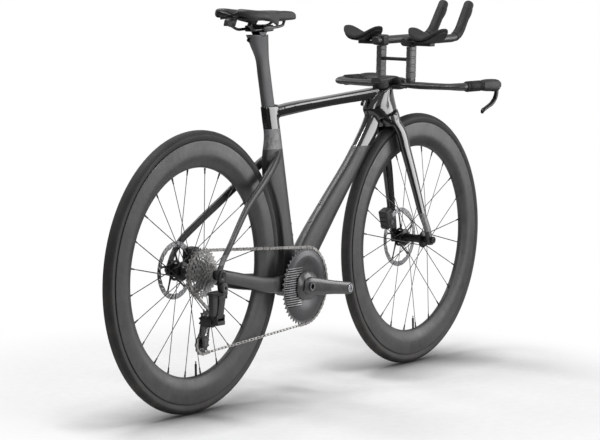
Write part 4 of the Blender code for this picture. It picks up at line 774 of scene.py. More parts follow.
def turned_metal(name, where, colour, roughness, lines=5200.0, metallic=1.0, **settings):
    """Metal with fine turning marks: rings of slightly different shine."""
    made = Finish(name, colour, roughness, metallic, **settings)
    marks = made.spread(turning_marks(made, made.group(POLAR[where]), lines), 0.3, 0.7)
    made.roughness = made.spread(marks, 0, 1, -0.07, 0.09) + roughness
    made.height = made.height * 0.3 + marks * 0.7
    return made.done(0.0001)


def ring_face_finish():
    """Black aluminium with turning marks. Behind the arm, stripes paint shade into the level slots and bare
    metal with a painted highlight on their edges.
    """
    made = Finish("ring_face", (0.04, 0.04, 0.042), 0.32, 0.8, bump=0.2, uneven=0.1, dust=0.3)
    polar = made.group(POLAR["crank"])
    x, y, z = made.split(made.place())
    rings = turning_marks(made, polar, 3600.0)
    rise = z - (CRANK.z - 0.0493)
    fin = made.spread(made.maths("FRACT", made.maths("DIVIDE", rise, 0.0058)), 0.56, 0.62)
    field = band(made, rise, 0.0, 0.0986) * band(made, x, CRANK.x - 0.09, CRANK.x - 0.02)
    field = field * made.spread(polar["Distance"], 0.089, 0.09, 1.0, 0.0)
    # Near-black stripes are painted shade in the slots; light stripes are bare metal edges with a painted
    # highlight.
    painted_slot_shade_and_bright_edges = made.blend(fin, (0.006, 0.006, 0.006), (0.3, 0.3, 0.305))
    made.colour = made.blend(field, (0.06, 0.06, 0.063), painted_slot_shade_and_bright_edges)
    made.roughness = made.spread(rings, 0.3, 0.7, -0.05, 0.08) + 0.32
    made.height = made.height * 0.3 + rings * 0.7
    return made.done(0.0001)


RIM, TYRE, DISC_STEEL, HUB_BLACK = {}, {}, {}, {}
for end in ("front", "rear"):
    RIM[end] = rim_finish(end)
    TYRE[end] = tyre_finish(end)
    DISC_STEEL[end] = turned_metal(f"disc_steel_{end}", end, (0.29, 0.292, 0.3), 0.28, bump=0.2, uneven=0.06,
        dust=0.3)
    HUB_BLACK[end] = turned_metal(f"hub_black_{end}", end, (0.03, 0.03, 0.032), 0.3, metallic=0.85, bump=0.15,
        dust=0.4)
COG_STEEL = turned_metal("cog_steel", "rear", (0.36, 0.358, 0.352), 0.28, metallic=0.58, bump=0.2,
    uneven=0.14, dust=0.9)
RING_FACE_METAL = ring_face_finish()
TOOTH_METAL = turned_metal("tooth_metal", "crank", (0.13, 0.13, 0.135), 0.28, lines=3600.0, bump=0.25,
    uneven=0.1, dust=0.6)
print("finishes round an axle:", len(RIM) + len(TYRE) + len(DISC_STEEL) + len(HUB_BLACK) + 3)

# %% [markdown]
# What hands and weight touch is soft: rubber grips, foam pads, the saddle cover. Their grain is coarser
# and their shine lower. The small hard parts are anodised, forged or moulded, each with its own grain.


# %% Other finishes
def pebbled(name, colour, roughness, size, depth, **settings):
    """A cover pressed with rounded pebbles, drawn by the borders between random cells. Its colour is darker
    in the creases between them: painted shade.
    """
    made = Finish(name, colour, roughness, **settings)
    cells = made.node("ShaderNodeTexVoronoi", {"Vector": made.place(), "Scale": size},
        feature="DISTANCE_TO_EDGE")
    pebble_bulge_and_crease_shade = made.spread(cells.outputs["Distance"], 0.0, 0.25, smooth=True)
    made.height = made.height * 0.25 + pebble_bulge_and_crease_shade * 0.75
    # Painted shade: the colour darkens towards the borders between pebbles.
    made.colour = made.blend(pebble_bulge_and_crease_shade, tuple(channel * 0.55 for channel in colour), colour)
    return made.done(depth)


MATT_BLACK = plain_finish("matt_moulded_black", (0.0125, 0.0125, 0.013), 0.52, scale=1500.0, bump=0.22)
ANODISED = plain_finish("anodised_black", (0.034, 0.034, 0.036), 0.33, 0.9, scale=2600.0, bump=0.12, dust=0.3)
BRIGHT_STEEL = plain_finish("bright_steel", (0.52, 0.53, 0.55), 0.27, 1.0, scale=2400.0, bump=0.08,
    uneven=0.08, dust=0.4)
DARK_STEEL = plain_finish("dark_steel", (0.16, 0.16, 0.17), 0.3, 1.0, scale=2200.0, bump=0.1, uneven=0.12,
    dust=0.3)
RAIL_STEEL = plain_finish("blackened_rail_steel", (0.06, 0.06, 0.063), 0.3, 1.0, scale=2200.0, bump=0.1,
    uneven=0.12, dust=0.3)
CHAIN_STEEL = plain_finish("oiled_chain_steel", (0.31, 0.302, 0.292), 0.27, 0.72, scale=1800.0, bump=0.14,
    uneven=0.22, dust=1.0, rub=0.8)
GRIP_RUBBER = pebbled("grip_rubber", (0.013, 0.013, 0.0135), 0.66, 900.0, 0.0003, bump=0.4, dust=0.3)
HOOD_RUBBER = pebbled("hood_rubber", (0.0135, 0.0135, 0.014), 0.58, 1300.0, 0.0002, bump=0.3, dust=0.3)
PAD_FOAM = pebbled("pad_foam", (0.0105, 0.0105, 0.011), 0.86, 1500.0, 0.0004, bump=0.6, dust=0.2)
SADDLE_COVER = pebbled("saddle_cover", (0.0115, 0.0115, 0.012), 0.5, 1100.0, 0.00025, bump=0.35, dust=0.3)
SHELL_GREY = plain_finish("saddle_shell_grey", (0.016, 0.016, 0.017), 0.46, scale=1500.0, bump=0.2)
RISER_GREY = plain_finish("riser_grey", (0.08, 0.08, 0.083), 0.42, scale=1500.0, bump=0.08, uneven=0.1,
    dust=0.3)
print("materials:", len(bpy.data.materials))

# %% [markdown]
# The frame is one moulding on the real bicycle, so its tubes are lofted, united, and melted into each
# other: a voxel remesh at about 2 mm and a short smoothing leave the small fillets of moulded carbon.
# The bores and the post socket are cut after that, so their edges stay true.


# %% Frame tubes
def post_slice(z):
    """Rear and front edge of the seatpost at a height."""
    slope = -0.2527
    return -0.2235 + slope * (z - 0.722), -0.1775 + slope * (z - 0.727)


SEAT_SLICES = (
    (0.724, -0.227, -0.161, 0.0112),
    (0.69, -0.219, -0.157, 0.0112),
    (0.652, -0.21, -0.1475, 0.0112),
    (0.6, -0.216, -0.1345, 0.0118),
    (0.435, -0.19, -0.095, 0.0135),
    (0.36, -0.175, -0.078, 0.0155),
    (0.285, -0.14, -0.07, 0.019),
)
DOWN_SLICES = (
    (0.266, 0.708, 0.3, 0.7, 0.016),
    (0.247, 0.676, 0.303, 0.65, 0.0145),
    (0.192, 0.608, 0.247, 0.583, 0.014),
    (0.0505, 0.4755, 0.105, 0.428, 0.015),
    (-0.018, 0.413, 0.045, 0.36, 0.016),
    (-0.08, 0.345, -0.035, 0.275, 0.0185),
    (-0.105, 0.31, -0.075, 0.243, 0.02),
)
TOP_SLICES = ((-0.19, 0.718, 0.69, 0.01), (-0.145, 0.7245, 0.695, 0.015), (0.04, 0.7375, 0.711, 0.016),
    (0.285, 0.7535, 0.724, 0.017))
HEAD_SLICES = ((HEAD_TOP, -0.052, 0.0425, 0.0255), (0.72, -0.087, 0.0437, 0.0258),
    (HEAD_LOW, -0.066, 0.045, 0.0275))
CHAIN_STAY = (
    (-0.095, 0.02, 0.28, 0.046, 0.018),
    (-0.15, 0.0285, 0.281, 0.044, 0.014),
    (-0.19, 0.032, 0.283, 0.042, 0.0125),
    (-0.235, 0.0455, 0.287, 0.04, 0.014),
    (-0.37, 0.064, 0.313, 0.032, 0.014),
    (-0.45, 0.0735, 0.329, 0.03, 0.0095),
    (-0.5, 0.0748, 0.3395, 0.026, 0.007),
)
SEAT_STAY = (
    (-0.16, 0.006, 0.606, 0.026, 0.012),
    (-0.195, 0.019, 0.584, 0.025, 0.014),
    (-0.25, 0.032, 0.548, 0.023, 0.013),
    (-0.345, 0.046, 0.487, 0.021, 0.012),
    (-0.4, 0.06, 0.447, 0.02, 0.0115),
    (-0.46, 0.0742, 0.397, 0.02, 0.009),
    (-0.484, 0.0748, 0.368, 0.02, 0.0072),
    (-0.4985, 0.0748, 0.334, 0.022, 0.007),
)


def melted(item, voxel, passes=6):
    """Unions become one moulding: remeshed at an even step and smoothed a little."""
    modifier = item.modifiers.new("melt", "REMESH")
    modifier.mode = "VOXEL"
    modifier.voxel_size = voxel
    soft = item.modifiers.new("smooth", "SMOOTH")
    soft.factor = 0.5
    soft.iterations = passes
    return baked(item, 60)


def top_section(x, top, low, half):
    """The top tube has a nearly flat top and sides that lean in towards the bottom."""
    middle = (top + low) / 2
    tall = (top - low) / 2
    points = oval(at(x, 0, middle), Z, Y, tall, half, 48, 4.0)
    return [at(p.x, p.y * (0.86 + 0.2 * (p.z - middle) / tall), p.z) for p in points]


def mirrored_rows(rows, side):
    return [(row[0], row[1] * side, *row[2:]) for row in rows]


frame_skin = loft("frame_skin", [wing((rear, 0, z), (front, 0, z), half)
    for z, rear, front, half in eased(SEAT_SLICES)])
frame_tubes = [
    loft("down_tube", [wing((a, 0, b), (c, 0, d), half) for a, b, c, d, half in eased(DOWN_SLICES)]),
    loft("top_tube", [top_section(*row) for row in eased(TOP_SLICES)]),
    loft("head_tube", [wing(steer_point(z, behind), steer_point(z, ahead), half, tail=2.2)
    for z, behind, ahead, half in eased(HEAD_SLICES)]),
    rod("bottom_bracket_shell", CRANK, Y, 0.0325, -0.034, 0.034, 64, 0.0015),
    block("caliper_mount", (-0.452, 0.064, 0.33), (-0.408, 0.0715, 0.3445), 0.002),
]
for hand, side in SIDES:
    frame_tubes.append(smooth_tube(f"chain_stay_{hand}", mirrored_rows(CHAIN_STAY, side), 32, 2.6, 8))
    frame_tubes.append(smooth_tube(f"seat_stay_{hand}", mirrored_rows(SEAT_STAY, side), 32, 2.6, 8))
    frame_tubes.append(rod(f"dropout_{hand}", REAR_AXLE, Y * side, 0.0145, 0.0713, 0.0785, 48, 0.0006))
unite(frame_skin, *frame_tubes)
cut(frame_skin, rod("rear_wheel_space", REAR_AXLE, Y, 0.352, -0.0245, 0.0245, 160))
melted(frame_skin, 0.0023)
print("frame faces after melting:", len(frame_skin.data.polygons))

# %% [markdown]
# The seatpost slides in its socket, the bearings sit in their seats and the axle in its bore. These cuts
# are exact copies of those in the solids. Four small threaded bosses show where bottle cages would be
# screwed on. They are turned from one profile with a key hole in it, as every screw here is.

# %% Frame cuts and fittings
socket_rings = []
for socket_z in (0.745, 0.59):
    socket_rear, socket_front = post_slice(socket_z)
    socket_rings.append(wing((socket_rear - 0.0003, 0, socket_z), (socket_front + 0.0003, 0, socket_z),
        0.0092))
frame_cuts = [
    loft("post_socket", socket_rings),
    block("wedge_pocket", (-0.1783, -0.0058, 0.702), (-0.1665, 0.0058, 0.74)),
    rod("steerer_bore", steer_point(0.72), STEER, 0.0182, -0.06, 0.06),
    rod("upper_seat", steer_point(HEAD_TOP), STEER, 0.0239, -0.0085, 0.02, 48),
    rod("lower_seat", steer_point(HEAD_LOW), STEER, 0.025, -0.02, 0.0085, 48),
    rod("cup_bore", CRANK, Y, 0.0206, -0.05, 0.05, 48),
    rod("hub_space", REAR_AXLE, Y, 0.022, -0.0713, 0.0713, 48),
    rod("axle_bore", REAR_AXLE, Y, 0.0065, -0.1, 0.1),
]
cut(frame_skin, *frame_cuts, angle=50)
dress(frame_skin, FRAME_PAINT, "frame", "gloss_carbon", "frame")


def cap_screw(name, centre, axis, radius, high, low=0.0, key=0.5, steps=32):
    """A screw head with a key hole. Heights run along the axis from its seat."""
    edge = radius * 0.14
    deep = (high - low) * 0.55
    profile = [(0, low), (radius, low), (radius, high - edge), (radius - edge, high), (radius * key, high),
        (radius * key, high - deep), (0, high - deep)]
    return turned(name, profile, centre, axis, steps)


BOSS_SPOTS = (
    ("down_boss_upper", (0.04, 0, 0.4665), (-0.66, 0, 0.75)),
    ("down_boss_lower", (-0.0065, 0, 0.424), (-0.66, 0, 0.75)),
    ("seat_boss_upper", (-0.094, 0, 0.425), (0.98, 0, 0.2)),
    ("seat_boss_lower", (-0.0865, 0, 0.396), (0.98, 0, 0.2)),
)
boss_items = [cap_screw(name, place, Vector(out).normalized(), 0.0048, 0.0012, -0.003, 0.45)
    for name, place, out in BOSS_SPOTS]
dress(joined("bottle_bosses", boss_items), DARK_STEEL, "frame", "anodised_black")


# %% [markdown]
# What bolts to the frame is metal. Each axle is one turned rod with a wide head, the hanger is a flat plate
# with an eased outline, and the bottom bracket cups carry a ring of sixteen notches for their tool.


# %% Axles, hanger and bottom bracket cups
def keyed_rod(name, centre, axis, radius, low, head_radius, head_low, head_high, edge=0.0006, key=0.0032):
    """An axle with a wide head that has a key hole."""
    shaft = [(0, low), (radius - edge, low), (radius, low + edge), (radius, head_low)]
    head = [(head_radius, head_low), (head_radius, head_high - edge), (head_radius - edge, head_high)]
    hole = [(key, head_high), (key, head_high - 0.003), (0, head_high - 0.003)]
    return turned(name, shaft + head + hole, centre, axis, 48)


dress(keyed_rod("rear_axle_rod", REAR_AXLE, Y, 0.0058, -0.086, 0.0095, 0.0788, 0.083), ANODISED, "frame",
    "anodised_black", "rear_axle")
dress(keyed_rod("front_axle_rod", FRONT_AXLE, -Y, 0.0058, -0.064, 0.0095, 0.0645, 0.069), ANODISED, BARS,
    "anodised_black", "front_axle")


def eased_outline(points, between=5):
    """A closed outline rounded through its corner points."""
    closed = points[-1:] + points + points[:2]
    return eased(closed, between)[between : -between - 1]


hanger_points = [(-0.4815, 0.345), (-0.486, 0.3495), (-0.499, 0.3495), (-0.504, 0.344), (-0.5075, 0.311),
    (-0.504, 0.303), (-0.495, 0.301), (-0.4885, 0.306), (-0.484, 0.32)]
hanger = plate("hanger", eased_outline(hanger_points), -0.085, -0.0789)
cut(hanger, rod("hanger_axle", REAR_AXLE, Y, 0.0064, -0.1, -0.05),
    rod("hanger_bolt", HANGER_BOLT, Y, 0.0052, -0.1, -0.05))
bevelled(hanger, 0.0006)
dress(hanger, ANODISED, "frame", "anodised_black", "derailleur_hanger")

cup_profile = [(0.0124, 0.02), (0.02, 0.02), (0.02, 0.0344), (0.0225, 0.0344), (0.0225, 0.0415),
    (0.022, 0.042), (0.0124, 0.042)]
for hand, side in SIDES:
    cup = turned(f"cup_{hand}", cup_profile, CRANK, Y * side, 64)
    notch = block("notch", (-0.0011, 0.035, 0.0213), (0.0011, 0.043, 0.024))
    copies_round(notch, at(0, 0, 0), 16)
    notch.data.transform(Matrix.Translation(CRANK) @ Matrix.Diagonal((1, side, 1, 1)))
    if side < 0:
        notch.data.flip_normals()
    cut(cup, notch)
    dress(cup, ANODISED, "frame", "anodised_black", f"bottom_bracket_cup_{hand}")

# %% [markdown]
# A disc caliper is a forged block that straddles the disc, with a round piston housing on each side, a
# bridge bolt and a hose fitting that points into the tube. The rear one lies flat on the chain stay, the
# front one leans with the fork leg.


# %% Calipers
def caliper(name, low, high, turn, disc_centre, disc_y, disc_radius, body):
    low = Vector(low)
    high = Vector(high)
    middle = (low + high) / 2
    matrix = Matrix.Rotation(radians(turn), 3, "Y")
    item = block(name, low, high, 0.0045, matrix, 3)
    outward = at(middle.x - disc_centre.x, 0, middle.z - disc_centre.z).normalized()
    pistons = disc_centre + outward * (disc_radius - 0.0075) + Y * middle.y
    far = (high.y - low.y) / 2 + 0.0012
    for side in (1, -1):
        unite(item, rod("housing", pistons, Y * side, 0.0106, 0.004, far, 64, 0.0009))
    cuts = [rod("slot", at(disc_centre.x, disc_y, disc_centre.z), Y, disc_radius + 0.003, -0.0022, 0.0022,
        128)]
    for side in (1, -1):
        cuts.append(rod("piston_face", pistons, Y * side, 0.006, far - 0.001, far + 0.01, 48))
        rib = middle + matrix @ at(0, side * (high.y - low.y) / 2, (high.z - low.z) * 0.32)
        cuts.append(block("rib_gap", rib - at(0.01, 0.0008, 0.0012), rib + at(0.01, 0.0008, 0.0012), 0,
            matrix))
    for share in (-0.3, -0.06, 0.18):
        groove = middle + matrix @ at(0, 0, (high.z - low.z) * share)
        reach = at((high.x - low.x) / 2 + 0.001, (high.y - low.y) * 0.3, 0.0011)
        for back in (1, -1):
            shift = matrix @ at(back * (high.x - low.x) * 0.94, 0, 0)
            cuts.append(block("rib_groove", groove + shift - reach, groove + shift + reach, 0, matrix))
    cut(item, *cuts)
    dress(bevelled(item, 0.0004, 2, 40), MATT_BLACK, body, "matt_black", name.replace("_", "_brake_"))
    extras = []
    for share in (-0.34, 0.34):
        place = middle + matrix @ at((high.x - low.x) * share, 0, (high.z - low.z) * -0.36)
        extras.append(cap_screw("bridge_screw", place, Y, 0.0034, (high.y - low.y) / 2 + 0.0006,
            (high.y - low.y) / 2 - 0.002))
    for side in (1, -1):
        extras.append(cap_screw("piston_cap", pistons, Y * side, 0.0054, far - 0.0002, far - 0.0022, 0.42))
    return dress(joined(f"{name}_screws", extras), DARK_STEEL, body, "anodised_black")


caliper("rear_caliper", (-0.449, 0.044, 0.345), (-0.412, 0.0708, 0.39), 0, REAR_AXLE, 0.057, 0.07, "frame")
caliper("front_caliper", (0.409, 0.029, 0.368), (0.44, 0.055, 0.421), -20, FRONT_AXLE, 0.0405, 0.08, BARS)

# %% [markdown]
# The fork follows the same way as the frame: a crown and two blades united, melted together, then cut
# clear of the wheel, the disc and the axle. The steerer stays round, since the headset turns on it.

# %% Fork
CROWN_SLICES = ((0.6835, -0.029, 0.0448, 0.0272), (0.67, -0.03, 0.0448, 0.031), (0.656, -0.027, 0.043, 0.033))
LEG = (
    (0.346, 0.018, 0.67, 0.056, 0.024),
    (0.371, 0.0285, 0.639, 0.049, 0.018),
    (0.394, 0.0335, 0.585, 0.045, 0.0165),
    (0.417, 0.0375, 0.531, 0.042, 0.016),
    (0.44, 0.043, 0.47, 0.037, 0.0145),
    (0.46, 0.048, 0.415, 0.033, 0.0135),
    (0.482, 0.0545, 0.365, 0.028, 0.0125),
    (0.493, 0.0575, 0.325, 0.023, 0.0125),
)
fork_skin = loft("fork_skin", [wing(steer_point(z, behind), steer_point(z, ahead), half, tail=2.6)
    for z, behind, ahead, half in eased(CROWN_SLICES)])
fork_parts = []
for hand, side in SIDES:
    leg_rings = [oval(at(x, y, z), X, Y, depth / 2, thick / 2, 40, 2.3)
        for x, y, z, depth, thick in eased(mirrored_rows(LEG, side), 8)]
    fork_parts.append(loft(f"leg_{hand}", leg_rings))
fork_parts.append(block("mount_pad", (0.4402, 0.044, 0.401), (0.456, 0.053, 0.425), 0.001,
    Matrix.Rotation(radians(-20), 3, "Y")))
unite(fork_skin, *fork_parts)
cut(fork_skin, rod("front_wheel_space", FRONT_AXLE, Y, 0.3475, -0.0185, 0.0185, 160))
melted(fork_skin, 0.0018, 5)
print("fork faces after melting:", len(fork_skin.data.polygons))
steerer_profile = [(0, -0.03), (0.0142, -0.03), (0.0142, 0.0775), (0.0137, 0.078), (0, 0.078)]
unite(fork_skin, turned("steerer", steerer_profile, steer_point(0.7), STEER, 48),
    rod("crown_race", steer_point(HEAD_LOW), STEER, 0.02, -0.006, 0.0003, 64))
fork_cuts = [
    rod("disc_space", FRONT_AXLE, Y, 0.084, 0.037, 0.0432, 128),
    rod("hub_space", FRONT_AXLE, Y, 0.017, -0.0503, 0.0503, 64),
    rod("axle_bore", FRONT_AXLE, Y, 0.0065, -0.1, 0.1, 48),
]
cut(fork_skin, *fork_cuts, angle=50)
dress(fork_skin, FORK_PAINT, BARS, "gloss_carbon", "fork")

# %% [markdown]
# A wheel is four things: a deep carbon rim, a tyre that bulges beyond it, a hub whose flanges hold the
# spoke heads, and the spokes themselves. Bladed spokes are thin across the wind and wide along it. Six
# copies of one leading and one trailing spoke lace each flange, which the ring-of-copies tree sets out.


# %% Wheels
def over_crown(half, crown):
    """A profile that is the same on both sides of the wheel's middle."""
    return [(radius, -height) for radius, height in half] + [(crown, 0.0)] + list(half[::-1])


def tyre_skin(end, axle):
    """Tyre section from one bead over the crown to the other, with a hollow underneath."""
    side = ((0.309, 0.0104), (0.3155, 0.0108), (0.3205, 0.0127), (0.3265, 0.0138), (0.3325, 0.012),
        (0.337, 0.0074))
    outer = eased(over_crown(side, TYRE_RADIUS), 4)
    inner = eased(over_crown(((0.309, 0.008), (0.32, 0.0098), (0.33, 0.007)), 0.3345)[::-1], 2)
    tyre = turned(f"{end}_tyre_skin", outer + inner, axle, Y, 240, 60)
    return dress(tyre, TYRE[end], f"{end}_wheel", "tyre_rubber", f"{end}_tyre")


def rim_skin(end, axle, valve_turn):
    """A toroidal rim with a nipple ridge inside and two hooked edges outside."""
    side_wall = eased(((0.25, 0.0), (0.2503, 0.003), (0.253, 0.0058), (0.26, 0.0093), (0.269, 0.0124),
        (0.278, 0.0141), (0.29, 0.0143), (0.303, 0.0136), (0.312, 0.0131)), 4)
    edge = [(0.3139, 0.0128), (0.3143, 0.0121), (0.3139, 0.0114), (0.3128, 0.0111), (0.3075, 0.0109)]
    half = side_wall + edge
    profile = [(radius, -height) for radius, height in half[::-1]] + half[1:]
    rim = turned(f"{end}_rim_skin", profile, axle, Y, 240, 40)
    turn = radians(valve_turn)
    outward = at(cos(turn), 0, sin(turn))
    cut(rim, rod("valve_hole", axle, outward, 0.0036, 0.2, 0.33))
    dress(rim, RIM[end], f"{end}_wheel", "rim_carbon", f"{end}_rim")
    stem = [(0, 0.215), (0.0012, 0.2152), (0.0016, 0.2162), (0.0016, 0.2182), (0.0011, 0.219),
        (0.0011, 0.2208), (0.0024, 0.2214), (0.0029, 0.223), (0.0029, 0.24)]
    for thread in range(12):
        stem += [(0.0029, 0.24 + thread * 0.0008), (0.0026, 0.2404 + thread * 0.0008)]
    stem += [(0.0029, 0.2496), (0.0029, 0.307), (0, 0.307)]
    valve = turned(f"{end}_valve_stem", stem, axle, outward, 24)
    return dress(valve, ANODISED, f"{end}_wheel", "anodised_black", f"{end}_valve")


def spoke(rim_turn, lead, flange_y):
    """One bladed spoke with its head in the flange and its nipple at the rim, round the origin."""
    hub_turn = rim_turn + lead * 0.95
    low = at(0.0205 * cos(hub_turn), flange_y + lead * 0.0011, 0.0205 * sin(hub_turn))
    high = at(0.2494 * cos(rim_turn), copysign(0.0012, flange_y), 0.2494 * sin(rim_turn))
    along = (high - low).normalized()
    wide = along.cross(Y).normalized()
    thick = along.cross(wide).normalized()
    mesh = bmesh.new()
    blade = ((0.0, 0.001, 0.001), (0.04, 0.001, 0.001), (0.09, 0.0013, 0.0006), (0.88, 0.0013, 0.0006),
        (0.93, 0.001, 0.001), (0.945, 0.001, 0.001))
    add_skin(mesh, [oval(low.lerp(high, share), wide, thick, half_wide, half_thick, 8)
        for share, half_wide, half_thick in blade])
    nipple = ((0.94, 0.0012), (0.944, 0.0018), (0.975, 0.0019), (0.98, 0.0023), (1.0, 0.0023))
    add_skin(mesh, [oval(low.lerp(high, share), wide, thick, radius, radius, 10) for share, radius in nipple])
    add_skin(mesh, [oval(low + Y * step, wide, along, 0.0019, 0.0019, 10) for step in (-0.0013, 0.0013)])
    return piece_from(mesh, "spoke")


def hub_with_spokes(end, axle, profile, flanges):
    """The turned hub, with twelve spokes laced to each flange."""
    hub = turned(f"{end}_hub_shell", profile, axle, Y, 96, 30)
    dress(hub, HUB_BLACK[end], f"{end}_wheel", "anodised_black", f"{end}_hub")
    laced = []
    for flange_y, phase in flanges:
        for number, lead in ((0, -1), (1, 1)):
            one = spoke(2 * pi * (number + phase) / 12, lead, flange_y)
            laced.append(copies_round(one, axle, 6, finish=ANODISED))
    spokes = joined(f"{end}_spokes", laced)
    return dress(spokes, ANODISED, f"{end}_wheel", "anodised_black", f"{end}_hub")


# %% [markdown]
# The discs are laser-cut steel: a braking band drilled with slanting rows of holes, on raking arms that
# let it swell with heat. The arms belong to a black carrier that slides on the hub's splines. The holes
# are one row of short rods, copied round by the same tree and cut in one go.


# %% Brake discs
def brake_disc(end, axle, disc_y, radius):
    centre = at(axle.x, disc_y, axle.z)
    band_ring = ring(f"{end}_disc_band", centre, Y, radius - 0.0135, radius, -0.0009, 0.0009, 180)
    drills = []
    row_of = ((0.003, 0.0, 0.0017), (0.0065, 0.045, 0.0019), (0.01, 0.09, 0.0017))
    for depth, turn, hole in row_of:
        place = at(cos(turn), 0, sin(turn)) * (radius - depth)
        drills.append(rod("drill", place, Y, hole, -0.003, 0.003, 14))
    row = copies_round(joined("holes", drills), centre, 30)
    cut(band_ring, row)
    scoop = plate("scoop", [(radius - 0.015 + 0.003 * cos(t * pi / 6), 0.0052 * sin(t * pi / 6))
        for t in range(12)], -0.003, 0.003)
    cut(band_ring, copies_round(scoop, centre, 20, phase=0.07))
    dress(band_ring, DISC_STEEL[end], f"{end}_wheel", "disc_steel", f"{end}_rotor")
    carrier = ring(f"{end}_disc_carrier", centre, Y, 0.0186, 0.025, -0.0016, 0.0016, 96)
    low = X * 0.0215
    high = at(cos(0.42), 0, sin(0.42)) * (radius - 0.0112)
    across = (high - low).cross(Y).normalized()
    widths = ((low, 0.0042), (low.lerp(high, 0.4), 0.0026), (low.lerp(high, 0.8), 0.0024), (high, 0.004))
    outline = [place + across * half for place, half in widths]
    outline += [place - across * half for place, half in widths[::-1]]
    arm = plate("disc_arm", [(point.x, point.z) for point in outline], -0.0008, 0.0008)
    bevelled(arm, 0.0003)
    copies_round(arm, centre, 5, finish=HUB_BLACK[end])
    rivet = rod("rivet", high, Y, 0.003, -0.0013, 0.0013, 24, 0.0004)
    copies_round(rivet, centre, 5, finish=BRIGHT_STEEL)
    lock = turned("lock_ring", [(0.0187, 0.0014), (0.0225, 0.0014), (0.0225, 0.0028), (0.0219, 0.0034),
        (0.0187, 0.0034)], centre, Y, 96)
    notch = block("notch", (0.0216, 0.001, -0.001), (0.024, 0.005, 0.001))
    cut(lock, copies_round(notch, centre, 12))
    core = joined(f"{end}_disc_core", [carrier, arm, lock])
    dress(core, HUB_BLACK[end], f"{end}_wheel", "anodised_black", f"{end}_rotor")
    return dress(joined(f"{end}_disc_rivets", [rivet]), BRIGHT_STEEL, f"{end}_wheel", "steel", f"{end}_rotor")


FRONT_HUB = [
    (0.0064, -0.05), (0.0091, -0.05), (0.0095, -0.0496), (0.0095, -0.0405), (0.012, -0.039),
    (0.0222, -0.0375), (0.023, -0.0368), (0.023, -0.0342), (0.0222, -0.0335), (0.015, -0.0315),
    (0.0118, -0.028), (0.0108, -0.015), (0.011, 0.005), (0.0125, 0.0185), (0.016, 0.0205), (0.0222, 0.0215),
    (0.023, 0.0222), (0.023, 0.0248), (0.0222, 0.0255), (0.0175, 0.027), (0.017, 0.0285), (0.017, 0.0436),
    (0.0166, 0.044), (0.011, 0.046), (0.0095, 0.0475), (0.0095, 0.0496), (0.0091, 0.05), (0.0064, 0.05),
]
REAR_HUB = [
    (0.0064, -0.071), (0.0094, -0.071), (0.0098, -0.0706), (0.0098, -0.0176), (0.0125, -0.016),
    (0.0227, -0.015), (0.0235, -0.0143), (0.0235, -0.0117), (0.0227, -0.011), (0.016, -0.0085),
    (0.0132, -0.005), (0.0118, 0.008), (0.0122, 0.022), (0.014, 0.031), (0.0227, 0.033), (0.0235, 0.0337),
    (0.0235, 0.0363), (0.0227, 0.037), (0.0178, 0.0385), (0.017, 0.04), (0.017, 0.0596), (0.0166, 0.06),
    (0.011, 0.064), (0.0098, 0.066), (0.0098, 0.0706), (0.0094, 0.071), (0.0064, 0.071),
]
for end, axle, profile, flanges, disc_y, disc_radius, valve_turn in (
    ("front", FRONT_AXLE, FRONT_HUB, ((0.0235, 0.25), (-0.0355, 0.75)), 0.0405, 0.08, -86),
    ("rear", REAR_AXLE, REAR_HUB, ((0.035, 0.25), (-0.013, 0.75)), 0.057, 0.07, -87),
):
    tyre_skin(end, axle)
    rim_skin(end, axle, valve_turn)
    hub_with_spokes(end, axle, profile, flanges)
    brake_disc(end, axle, disc_y, disc_radius)

# %% [markdown]
# The base bar is a wing that turns into a round tube at each end. Its sections are eased from the same
# stations as the solid. The stem clamps it from above and below, so the seam between stem and cap shows
# as a line, with four small screws.


# %% Base bar and stem
# Rows of x, y, z, heading in degrees, chord, thickness and squareness.
BAR_HALF = (
    (0.3865, 0.0, 0.759, 90, 0.05, 0.014, 2.2),
    (0.3865, 0.03, 0.759, 90, 0.05, 0.0142, 2.2),
    (0.3868, 0.05, 0.7588, 90, 0.05, 0.0172, 2.2),
    (0.3875, 0.13, 0.7588, 88, 0.05, 0.0172, 2.2),
    (0.393, 0.16, 0.7592, 72, 0.046, 0.017, 2.2),
    (0.405, 0.182, 0.7595, 35, 0.036, 0.02, 2.1),
    (0.42, 0.19, 0.7597, 8, 0.025, 0.021, 2.0),
    (0.4275, 0.19, 0.7598, 0, 0.0205, 0.0205, 2.0),
    (0.508, 0.19, 0.7605, 0, 0.0205, 0.0205, 2.0),
)
bar_right = [(x, -y, z, 180 - heading, *rest) for x, y, z, heading, *rest in BAR_HALF[:0:-1]]
# Degrees and powers are scaled down here, so that the easing goes by distance.
bar_rows = [(x, y, z, heading * 0.0005, chord, thick, power * 0.01)
    for x, y, z, heading, chord, thick, power in bar_right + list(BAR_HALF)]
bar_rings = []
for x, y, z, heading, chord, thick, power in eased(bar_rows, 7):
    turn = radians(heading * 2000)
    across = Z.cross(at(cos(turn), sin(turn), 0))
    bar_rings.append(oval(at(x, y, z), across, Z, chord / 2, thick / 2, 40, power * 100))
dress(loft("base_bar_skin", bar_rings), SATIN_CARBON, BARS, "satin_carbon", "base_bar")

